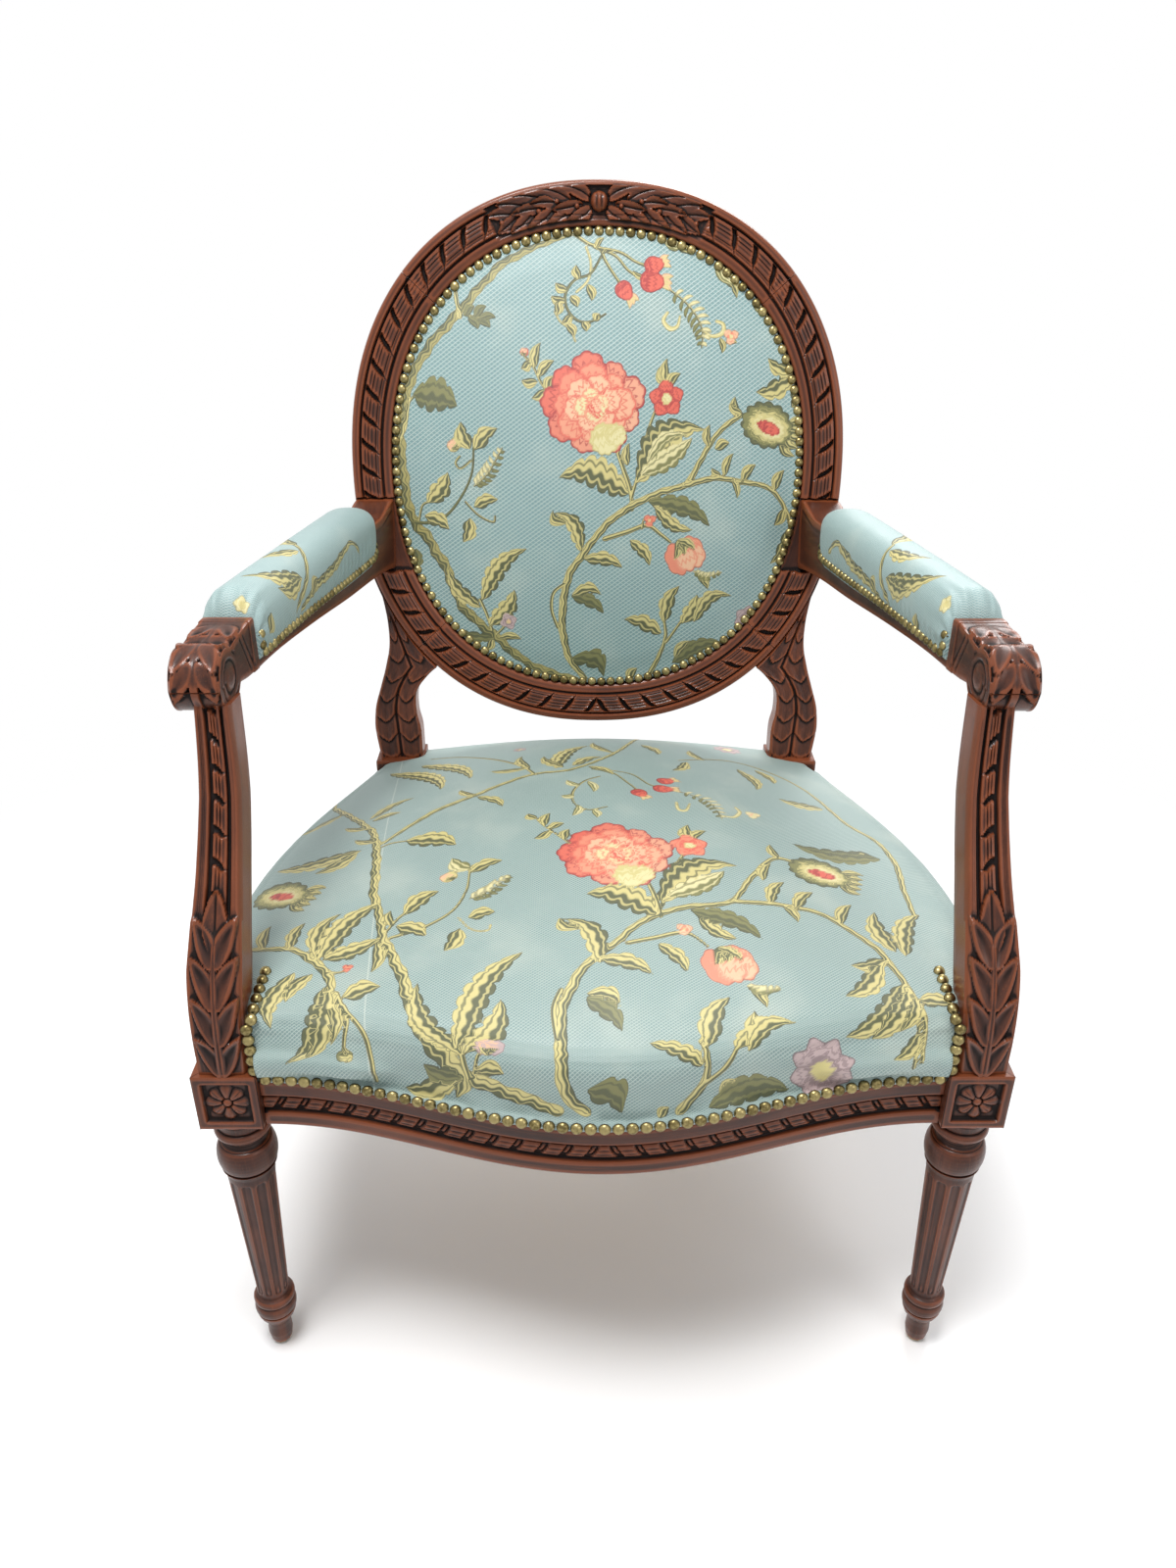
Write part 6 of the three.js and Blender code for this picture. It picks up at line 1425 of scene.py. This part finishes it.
SEAT_PROFILE = [  # place from middle to edge, share of the breadth, of the side's height, drop, outwards
    (0, 0, 1, 0, 0), (0.783, 0.945, 1, 0, 0), (0.806, 0.965, 0.965, 0, 0.4), (0.83, 0.982, 0.89, 0, 1),
    (0.853, 0.994, 0.78, 0, 1.5), (0.877, 0.999, 0.63, 0, 1.5), (0.905, 1, 0.42, 0, 1.5),
    (0.935, 1, 0.2, 0, 1.5), (0.958, 1, 0, 0, 1.2), (0.975, 1, 0, -4, 0.6), (0.991, 1, 0, -9.6, 0.5),
    (1, 1, 0, -10.6, -3.2)]


def seat_points(u, v):
    """The seat cover for u across and v front to rear, both from -1 to 1. The rim turns under."""
    s = np.maximum(np.maximum(np.abs(u), np.abs(v)), 1e-6)
    places, shares, ups, drops, outs = np.array(SEAT_PROFILE).T
    share, up, drop, out = (np.interp(s, places, row) for row in (shares, ups, drops, outs))
    eu, ev = u / s, v / s  # the same direction's place on the rim
    rim_front = front_face(WIDE_FRONT * eu)
    y = rim_front + (REAR_FACE - rim_front) * (ev + 1) / 2
    x = eu * side_face(FRONT_CORNER + SEAT_DEPTH * (ev + 1) / 2) * share
    y = SEAT_MIDDLE + (y - SEAT_MIDDLE) * share
    sideways = np.abs(eu) >= np.abs(ev)
    corner = 1 - np.clip((1 - np.minimum(np.abs(eu), np.abs(ev))) / 0.02, 0, 1)
    x = x + out * np.sign(eu) * np.where(sideways, 1, corner)
    y = y + out * np.sign(ev) * np.where(sideways, corner, 1)
    z = SEAT_BOTTOM + up * seat_side_height(x, y) + drop + seat_crown(eu * share, ev * share)
    return np.stack([x, y, z], -1)


def cut_round_posts(points):
    """Bring what lies inside a leg block or stile back to the walls of the cut around it."""
    x, y = np.abs(points[..., 0]), points[..., 1]
    sign = np.where(points[..., 0] < 0, -1, 1)
    for wall_x, wall_y, way in ((272.8, 27.2, -1), (195.8, 461.8, 1)):  # front blocks, rear ones
        past_x, past_y = x - wall_x, (y - wall_y) * way
        inside = (past_x > 0) & (past_y > 0)
        x = np.where(inside & (past_x < past_y), wall_x, x)
        y = np.where(inside & (past_x >= past_y), wall_y, y)
    return np.stack([x * sign, y, points[..., 2]], -1)


def steady_grid(count, points_at, closer=0.0):
    """Points of a square grid and its own u and v. closer makes the rows closer near the front."""
    w = np.linspace(-1, 1, count + 1)
    u, v = np.meshgrid(w, w - closer * (1 - w * w))
    return u, v, points_at(u, v)


def blown_up(name, points, pinned, pressure, most):
    """How far the stuffing pushes a grid of cloth outwards. The result is capped at a distance."""
    rows, columns = points.shape[:2]
    mesh = bpy.data.meshes.new(name)
    flat = points.reshape(-1, 3) * MM
    mesh.from_pydata(flat.tolist(), [], net(rows, columns, False)[:, ::-1].tolist())
    cloth = placed(name, mesh)
    group = cloth.vertex_groups.new(name="nailed")
    group.add(np.flatnonzero(pinned.ravel()).tolist(), 1.0, "REPLACE")
    stuff = cloth.modifiers.new("stuffing", "CLOTH")
    for key, value in {"vertex_group_mass": "nailed", "use_pressure": True, "quality": 6, "mass": 0.35,
                       "uniform_pressure_force": pressure, "tension_stiffness": 22,
                       "compression_stiffness": 22, "bending_stiffness": 0.6}.items():
        setattr(stuff.settings, key, value)
    stuff.settings.effector_weights.gravity = 0
    stuff.collision_settings.use_collision = False
    for step in range(1, LAST_STEP + 1):
        bpy.context.scene.frame_set(step)
    shaped = cloth.evaluated_get(bpy.context.evaluated_depsgraph_get()).to_mesh()
    after = read(shaped.vertices, "co")
    bpy.data.objects.remove(cloth)
    bpy.context.scene.frame_set(1)
    push = (after - flat) / MM
    reach = np.linalg.norm(push, axis=1)[:, None]
    push *= np.minimum(1, most / np.maximum(reach, 1e-9))
    return push.reshape(points.shape)


def stuffed(name, points_at, fine, coarse, closer, nailed_from, pressure, most):
    """A cover's fine grid, and the push of its stuffing there, found on a coarse one."""
    u, v, points = steady_grid(fine, points_at, closer)
    coarse_u, coarse_v, start = steady_grid(coarse, points_at, closer)
    nailed = np.maximum(np.abs(coarse_u), np.abs(coarse_v)) > nailed_from
    return u, v, points, refined(blown_up(name, start, nailed, pressure, most), fine)


def refined(coarse, count):
    """A coarse grid's values at a finer grid's points, by a smooth curve both ways."""
    for axis in (0, 1):
        place = np.linspace(0, coarse.shape[axis] - 1, count + 1)
        i = np.minimum(place.astype(int), coarse.shape[axis] - 2)
        t = (place - i).reshape([-1 if k == axis else 1 for k in range(coarse.ndim)])
        last = coarse.shape[axis] - 1
        p0, p1, p2, p3 = (np.take(coarse, np.clip(i + k, 0, last), axis) for k in (-1, 0, 1, 2))
        coarse = 0.5 * (2 * p1 + (p2 - p0) * t + (2 * p0 - 5 * p1 + 4 * p2 - p3) * t**2
                        + (3 * p1 - p0 - 3 * p2 + p3) * t**3)
    return coarse


def closed_cushion(name, points, below, node, finish, stored):
    """A padded cover: a grid of cloth whose rim is closed below through the points given."""
    rows, columns = points.shape[:2]
    rim = rim_of(rows, columns)
    flat = points.reshape(-1, 3)
    inner, middle = below(flat[rim])
    everything = np.concatenate([flat, inner, middle[None]])
    ring = len(flat) + np.arange(len(rim))
    sides = np.stack([rim, np.roll(rim, -1), np.roll(ring, -1), ring], -1)
    fan = np.stack([ring, np.roll(ring, -1), np.full(len(ring), len(everything) - 1)], -1)
    faces = facing_out(everything, [net(rows, columns, False)[:, ::-1], sides, fan])
    piece = make_piece(name, everything, faces, finish, "brocade", [node], sharp=70,
                       **{key: extended(values, rim) for key, values in stored.items()})


def extended(values, rim):
    """A grid's values, again for the rim's second ring of points, and once for its middle."""
    values = values.reshape(-1, values.shape[-1])
    more = np.concatenate([values, values[rim], values[:1]])
    return more if more.shape[1] > 1 else more[:, 0]


def seat_cloth(points, u, v):
    """Where each point of the seat lies on the flat cloth: sides are folded out."""
    s = np.maximum(np.abs(u), np.abs(v))
    fall = np.clip((s - 0.783) / (1 - 0.783), 0, 1) * 82
    inside = np.clip((s - 0.783) / (0.877 - 0.783), 0, 1) * 16
    outwards = np.maximum(fall - inside, 0)
    eu, ev = u / np.maximum(s, 1e-6), v / np.maximum(s, 1e-6)
    sideways = np.abs(eu) >= np.abs(ev)
    x = points[..., 0] + np.where(sideways, np.sign(eu) * outwards, 0)
    y = points[..., 1] + np.where(sideways, 0, np.sign(ev) * outwards)
    return x, y


def stuffed_seat():
    """The seat's cover, closed under its rim. Gives its points for the nails on it."""
    u, v, points, push = stuffed("seat_stuffing", seat_points, 300, 60, 0.18, 0.962, 2.4, 7.0)
    fixed = soft_step(1, 0.95, np.maximum(np.abs(u), np.abs(v)))[..., None]
    points = cut_round_posts(points + push * fixed)
    x, y = seat_cloth(points, u, v)
    loom = Loom(x, y, points)
    low, high = loom.at((380, 1100), (405, 800))
    seam = ((x - low[0]) * (high[1] - low[1]) - (y - low[1]) * (high[0] - low[0])) / np.hypot(*(high - low))
    stored = {"cloth": np.stack([x, y, seam], -1), **loom.weave(SEAT_STEMS, SEAT_LEAVES, SEAT_REST)}

    def below(rim_points):
        inner = rim_points.copy()
        inner[:, :2] = (inner[:, :2] - [0, SEAT_MIDDLE]) * 0.93 + [0, SEAT_MIDDLE]
        inner[:, 2] = SEAT_BOTTOM
        return inner, np.array([0, SEAT_MIDDLE, SEAT_BOTTOM])

    closed_cushion("seat_cover_stuffed", points, below, "seat_cushion", SEAT_BROCADE, stored)
    return points


OPENING = 43.2  # from the oval's outer edge to the covers' edge
PAD_BED = LEDGE + 0.3


def pad_height(share):
    """Height of the back's cover over its bed, for the share of the way from middle to edge."""
    inwards = (1 - share) * 216
    crown = 34 * np.cos(np.minimum(share, 1) * np.pi / 2) ** 0.95
    return crown + 4.2 * soft_step(0, 0.6, inwards) + 6.8 * soft_step(7, 34, inwards)


def disc(u, v):
    """A square's points spread over a disc, as its (share, direction across, direction up)."""
    x = u * np.sqrt(1 - v * v / 2)
    y = v * np.sqrt(1 - u * u / 2)
    share = np.minimum(np.hypot(x, y), 1)
    return share, np.arctan2(x, y)


def back_place(share, angle, outer=OPENING):
    """A point of the oval opening, across and up, for the share of the way to its edge."""
    x, up = oval(angle, outer)
    return x * share, OVAL_CENTRE + (up - OVAL_CENTRE) * share


def over_back(height):
    """A cover over the oval opening, from u and v, for its height by the share of the way out."""
    def points_at(u, v):
        share, angle = disc(u, v)
        return on_back(*back_place(share, angle), height(share))
    return points_at


def drawn_in(forwards, share):
    """Close a cover behind its rim: the rim again, a share of its width, at a height over the back."""
    middle = on_back(0.0, OVAL_CENTRE, forwards).reshape(3)
    return lambda rim_points: (middle + (rim_points - middle) * share, middle)


def plain_cloth(x, y):
    """What the finish needs of a cloth without a seam."""
    return {"cloth": np.stack([x, y, np.full_like(x, NO_SEAM)], -1)}


def stuffed_back():
    """The front cover of the back, with its figures."""
    u, v, points, push = stuffed("back_stuffing", over_back(lambda share: PAD_BED + pad_height(share)),
                                 288, 48, 0.0, 0.99, 2.2, 5.0)
    share, angle = disc(u, v)
    points = points + push * soft_step(0.97, 0.84, share)[..., None]
    x, up = back_place(share, angle)
    woven = Loom(x, up, points).weave(BACK_STEMS, BACK_LEAVES, BACK_REST)
    closed_cushion("back_cover_stuffed", points, drawn_in(PAD_BED, 0.92), "back_pad", BACK_BROCADE,
                   {**plain_cloth(x, up), **woven})


def outer_back():
    """The plain cover of the back's rear side."""
    def height(share):
        return REAR_LEDGE - 0.3 - 0.6 - 7 * (1 - share**3) ** 0.8 * 0.9

    u, v, points = steady_grid(150, over_back(height))
    x, up = back_place(*disc(u, v))
    closed_cushion("outer_back_cover", points, drawn_in(REAR_LEDGE - 0.4, 0.97), "back_outer_cover",
                   BACK_BROCADE, {**plain_cloth(x, up), "depth": np.full((*x.shape, 1), OUTSIDE)})


PAD_FROM = COLLAR_END + 0.3
PAD_TO = ARM_REAR_Y - 20 - 32
PAD_LENGTH = PAD_TO - PAD_FROM


def rounded(share):
    """A quarter circle's height for the share of the way in from its end."""
    return np.sqrt(1 - (1 - np.clip(share, 0, 1)) ** 2)


def arm_pad_sections(rearwards, around):
    """A pad's cross-sections: rearwards from 0 to 1, around from one nailed edge over to the other."""
    place = rearwards * PAD_LENGTH
    rear = rounded((PAD_LENGTH - place) / 38)
    fill = np.maximum(rounded(np.minimum(place / 22, (PAD_LENGTH - place) / 44)), 0.2)
    y = PAD_FROM + place
    edge = (arm_bed(y) - arm_bottom_line(y) - 8 - 9 * rearwards) * rear + 0.3
    height = (35 + (23 - 35) * rearwards) * fill
    half = 26 * (0.84 + 0.16 * fill) * (0.2 + 0.8 * rear)
    hem = 20.6 * (0.2 + 0.8 * rear)
    low = np.minimum(around, 1 - around) * 2
    rise = np.clip(low / 0.3, 0, 1)
    angle = np.clip((low - 0.3) / 0.7, 0, 1) * np.pi / 2
    x = np.where(low < 0.3, hem + (half - hem) * np.sin(rise * np.pi / 2) ** 0.8, half * np.cos(angle) ** 0.8)
    z = np.where(low < 0.3, -edge * (1 - rise), height * np.sin(angle) ** 0.9)
    return np.sign(around - 0.5) * x, y, z


def arm_pad(side, word):
    """A pad's cover with gathers at the collar, closed under its nailed edges and at its ends."""
    rows, columns = 330, 120
    rearwards, around = np.meshgrid(np.linspace(0, 1, rows), np.linspace(0, 1, columns), indexing="ij")
    x, y, z = arm_pad_sections(rearwards, around)
    gather = np.exp(-rearwards * PAD_LENGTH / 14)
    low = np.minimum(around, 1 - around) * 2
    held = ridge(low, 0.16, 0.1) * soft_step(0, 20, (1 - rearwards) * PAD_LENGTH)
    z = z + np.maximum(z, 0) * 0.06 * np.cos(around * 70) * gather
    x = x * (1 + 0.04 * gather * np.sin(around * 58)
             + 0.02 * held * np.cos(2 * np.pi * rearwards * PAD_LENGTH / NAIL_PITCH))
    points = np.stack([side * (arm_middle(y) + x), y, arm_bed(y) + 0.4 + z], -1)
    over = 120 * (0.5 - around)
    steps = np.linalg.norm(np.diff(points[:, columns // 2], axis=0), axis=1)
    run = distances(steps)[:, None] + np.zeros_like(over)
    woven = Loom(over, run, points, side > 0).weave(ARM_STEMS, ARM_LEAVES, ARM_REST)
    stored = {**plain_cloth(over, run), **woven}
    everything = np.concatenate([points.reshape(-1, 3), points[[0, -1]].mean(1)])
    index = np.arange(rows * columns).reshape(rows, columns)
    under = np.stack([index[:-1, 0], index[1:, 0], index[1:, -1], index[:-1, -1]], -1)
    faces = [net(rows, columns, False), under]
    for end, centre in ((index[0], rows * columns), (index[-1][::-1], rows * columns + 1)):
        faces.append(np.stack([np.roll(end, -1), end, np.full(columns, centre)], -1))
    piece = make_piece(f"arm_pad_stuffed_{word}", everything, facing_out(everything, faces), ARM_BROCADE,
                       "brocade", [f"arm_pad_{word}"], sharp=70,
                       **{key: extended(values, [0]) for key, values in stored.items()})


# ---- nails
def spaced(path, pitch):
    """Points at an even pitch along a path."""
    path = np.asarray(path, float)
    run = distances(np.linalg.norm(np.diff(path, axis=0), axis=1))
    count = max(int(round(run[-1] / pitch)), 1)
    at = np.linspace(0, run[-1], count + 1)
    return np.stack([np.interp(at, run, path[:, k]) for k in range(path.shape[1])], -1)


def nail_row(name, places, outwards, scale=1.0):
    """Domed nail heads on a cover's edge: where each one sits and which way it faces."""
    seeds = np.random.default_rng(len(places) + len(name))
    heads = [(1.0, -0.6), (1.0, 0.1), (0.97, 0.7), (0.88, 1.55), (0.72, 2.35), (0.5, 2.95), (0.25, 3.3)]
    rows, turns = len(heads), 12
    angle = np.arange(turns) / turns * 2 * np.pi
    ring = np.arange(turns)
    following = (ring + 1) % turns
    last, top, bottom = (rows - 1) * turns, rows * turns, rows * turns + 1
    head = [net(rows, turns), np.stack([last + ring, last + following, np.full(turns, top)], -1),
            np.stack([following, ring, np.full(turns, bottom)], -1)]
    # Painted shade for each head: 1 at its lowest ring, falling to 0 over its crown.
    rim = np.concatenate([np.repeat([1, 0.8, 0.45, 0.15, 0, 0, 0], turns), [0, 1]])
    points, faces, tones = [], [], []
    for place, way in zip(np.asarray(places, float), np.asarray(outwards, float)):
        size = NAIL * scale * seeds.uniform(0.965, 1.02)
        way = way / np.linalg.norm(way) + seeds.normal(0, 0.035, 3)
        way /= np.linalg.norm(way)
        side = np.cross(way, [0, 0, 1] if abs(way[2]) < 0.9 else [0, 1, 0])
        side /= np.linalg.norm(side)
        other = np.cross(way, side)
        circle = np.cos(angle)[:, None] * side + np.sin(angle)[:, None] * other
        rings = [place + way * high + size * wide * circle for wide, high in heads]
        faces += [part + len(points) * len(rim) for part in head]
        points.append(np.concatenate([*rings, [place + way * 3.42], [place - way * 0.6]]))
        tones.append(seeds.uniform(-0.5, 0.5))
    rim_shades = np.tile(rim, len(points))
    points = np.concatenate(points)
    make_piece(name, points, facing_out(points, faces), BRASS, "brass", sharp=60,
               tone=np.repeat(tones, len(rim)), rim=rim_shades)


def nails_on_rail(name, x, y, way):
    """A row of nails along the seat cover's lower edge."""
    path = spaced(np.stack(np.broadcast_arrays(x, y, NAIL_HEIGHT), 1), NAIL_PITCH)
    nail_row(name, path, np.tile(way, (len(path), 1)))


def nails_round_post(side, word, cover):
    """Nails up the post's front corner, then back along it on the seat's upper edge."""
    front = float(front_face(FRONT_END))
    places = [(side * (275 + 0.01 * (z - 337)), front - 2.2, z) for z in np.arange(351.5, 398, 10.3)]
    ways = [(-side * 0.15, -1, 0.1)] * len(places)
    places.append((side * 272, front + 1.2, 400))
    ways.append((side * 0.1, -0.85, 0.5))
    flat = cover.reshape(-1, 3)
    for y in np.arange(-8.6, 44, 10.6):
        near = np.hypot(flat[:, 0] - side * 269, flat[:, 1] - y) < 3.5
        places.append((side * 272.4, y, flat[near, 2].max() + 0.1))
        ways.append((side * 0.1, -0.7, 0.7))
    nail_row(f"nails_round_post_{word}", places, ways)


def nails_round_back(name, inwards, forwards, way):
    """An oval of nails, inwards from the ring's edge, on its front (way 1) or rear (way -1)."""
    angle = np.linspace(0, 2 * np.pi, 1200)
    x, up = oval(angle, inwards)
    flat = spaced(np.stack([x, up], 1), NAIL_PITCH)[:-1]
    places = on_back(flat[:, 0], flat[:, 1], forwards)
    normal = np.array([0, -math.cos(TILT), math.sin(TILT)]) * way
    outward = np.stack([flat[:, 0], np.zeros(len(flat)), flat[:, 1] - OVAL_CENTRE], 1)
    outward /= np.linalg.norm(outward, axis=1)[:, None]
    nail_row(name, places, normal + outward * 0.12)


def nails_on_arm(side, word):
    """Nails up from the collar and along both lower edges of a pad, to its rounded rear."""
    steps = np.linspace(0.012, 0.985, 300)
    for edge, place in enumerate(("inner", "outer")):
        x, y, z = arm_pad_sections(steps, np.full_like(steps, 0.035 + 0.93 * edge))
        path = np.stack([side * (arm_middle(y) + x), y, arm_bed(y) + z], 1)
        path = np.concatenate([[path[0] * [1, 1, 0] + [0, 0, arm_bed(y[0])]], path])
        row = spaced(path, ARM_NAIL_PITCH)
        way = side * (2 * edge - 1)
        turned = soft_step(PAD_TO - 30, PAD_TO, row[:, 1])[:, None]
        ways = np.array([way, -0.2, 0.3]) * (1 - turned) + np.array([way * 0.4, 0.9, 0.6]) * turned
        nail_row(f"nails_arm_pad_{place}_{word}", row, ways, 0.84)


seat_cover = stuffed_seat()
stuffed_back()
outer_back()
x = np.linspace(-268, 268, 400)
nails_on_rail("nails_front_rail", x, front_face(x) - 1.2, [0, -1, 0.12])
nails_on_rail("nails_rear_rail", np.linspace(-190, 190, 200), REAR_FACE + 1.3, [0, 1, 0.1])
nails_round_back("nails_round_back", 46.2, 10.6, 1)
nails_round_back("nails_round_outer_back", 36.0, -16.4, -1)
for word, side in SIDES:
    arm_pad(side, word)
    y = np.linspace(33, 457, 300)
    nails_on_rail(f"nails_side_rail_{word}", side * (side_face(y) + 1.2), y, [side, 0, 0.12])
    nails_round_post(side, word, seat_cover)
    nails_on_arm(side, word)


# ---- webbing and hessian
def webbing(name, prefix):
    """The straps that run the same way, as one piece in the drawing's own shape."""
    straps = [node for key, node in sorted(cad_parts.items()) if key.startswith(prefix)]
    points, faces = [], []
    for node in straps:
        faces += [tuple(len(points) + i for i in polygon.vertices) for polygon in node.data.polygons]
        points += [tuple(v.co) for v in node.data.vertices]
    mesh = bpy.data.meshes.new(name)
    mesh.from_pydata(points, [], faces)
    mesh.materials.append(JUTE)
    piece = placed(name, mesh)
    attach(piece, "root")
    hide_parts(*[node.name for node in straps])


for name, prefix in (("seat_webbing", "seat_long_strap"), ("seat_cross_webbing", "seat_cross_strap"),
                     ("back_webbing", "back_upright_strap"), ("back_cross_webbing", "back_level_strap")):
    webbing(name, prefix)


def hessian():
    """Sacking on the seat's webbing, tacked along the rails and cut round the leg blocks."""
    low, high = map(drawn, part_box("seat_hessian"))
    inset = side_face(np.linspace(30, 460, 200)).max() - high[0]
    w = np.linspace(-1, 1, 121)
    u, v = np.meshgrid(w, w)
    first = front_face(300 * u) + inset
    y = first + (high[1] - first) * (v + 1) / 2
    x = u * (side_face(y) - inset)
    flat = cut_round_posts(np.stack([x, y, np.full_like(x, low[2])], -1))
    clear_of = np.ones((2, *x.shape))  # away from the straps along it, and across it
    for axis, prefix in enumerate(["seat_long_strap", "seat_cross_strap"]):
        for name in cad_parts:
            if name.startswith(prefix):
                start, end = (drawn(corner)[axis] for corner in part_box(name))
                clear = np.maximum(start - flat[..., axis], flat[..., axis] - end)
                clear_of[axis] = np.minimum(clear_of[axis], soft_step(0, 9, clear))
    flat[..., 2] -= 1.2 * clear_of[0] * clear_of[1]
    upper = flat + [0, 0, 0.9]
    rim = rim_of(*x.shape)
    edge = np.stack([rim, np.roll(rim, -1), np.roll(rim, -1) + x.size, rim + x.size], -1)
    points = np.concatenate([flat.reshape(-1, 3), upper.reshape(-1, 3)])
    faces = [net(*x.shape, False), net(*x.shape, False, x.size)[:, ::-1], edge[:, ::-1]]
    piece = make_piece("seat_hessian_cloth", points, facing_out(points, faces), HESSIAN, "hessian",
                       ["seat_hessian"])
    a, b = flat[1:, 1:] - flat[:-1, :-1], flat[1:, :-1] - flat[:-1, 1:]
    area = 0.5 * np.abs(a[..., 0] * b[..., 1] - a[..., 1] * b[..., 0]).sum() * MM**2
    size = (flat.max((0, 1)) - flat.min((0, 1))) * MM


hessian()


# ---- floor and light
def studio():
    """A pale floor that runs up into a backdrop, three soft lamps and an even sky."""
    floor = Finish("pale_floor", Roughness=0.9)
    speck = floor.noise(floor.place(), 3.0, 2.0)
    floor.feed(Base_Color=floor.mix(paint(247, 247, 247), paint(251, 251, 251), speck))
    x, y, z = floor.parts(floor.place())
    away = ((x * x + y * y) ** 0.5 + z * 3.0).spread(0.55, 1.25)
    white = {"Color": (1, 1, 1, 1), "Strength": 1.0}
    matt = Tone(floor, floor.shader.outputs[0])
    floor.end("Material Output", away * floor.background(), matt, floor.node("ShaderNodeEmission", {}, white))
    rows = 24
    t = np.linspace(0, 1, rows)
    bend = 0.7  # share of the rows that lie flat
    climb = (t - bend) / (1 - bend) * np.pi / 2
    y = np.where(t < bend, -4 + t / bend * 6.5, 2.5 + 1.5 * np.sin(climb))
    z = np.where(t < bend, 0, 3.5 * (1 - np.cos(climb)))
    points = np.array([(x, y[i], z[i]) for i in range(rows) for x in (-6.0, 6.0)])
    mesh = bpy.data.meshes.new("floor")
    mesh.from_pydata(points.tolist(), [], net(rows, 2, False).tolist())
    mesh.materials.append(floor.material)
    placed("floor", mesh)

    for name, place, aim, size, watts in (("key_lamp", (-0.45, -0.75, 3.0), (0, 0, 0.4), 0.9, 72),
                                          ("fill_lamp", (1.9, -2.2, 1.6), (0, 0, 0.5), 1.2, 11),
                                          ("rear_lamp", (0.7, 1.9, 2.2), (0, 0, 0.45), 1.2, 40)):
        light = bpy.data.lights.new(name, "AREA")
        light.size = size
        light.energy = watts
        holder = placed(name, light)
        holder.location = place
        holder.rotation_euler = (Vector(aim) - Vector(place)).to_track_quat("-Z", "Y").to_euler()

    world = bpy.data.worlds.new("studio")
    bpy.context.scene.world = world
    sky = Nodes(world)
    soft = sky.node("ShaderNodeBackground", {}, {"Color": (0.95, 0.97, 1.0, 1), "Strength": 0.44})
    sky.end("World Output", sky.background(), soft, sky.node("ShaderNodeBackground", {}, white))


studio()
bpy.context.scene.view_settings.view_transform = "Standard"
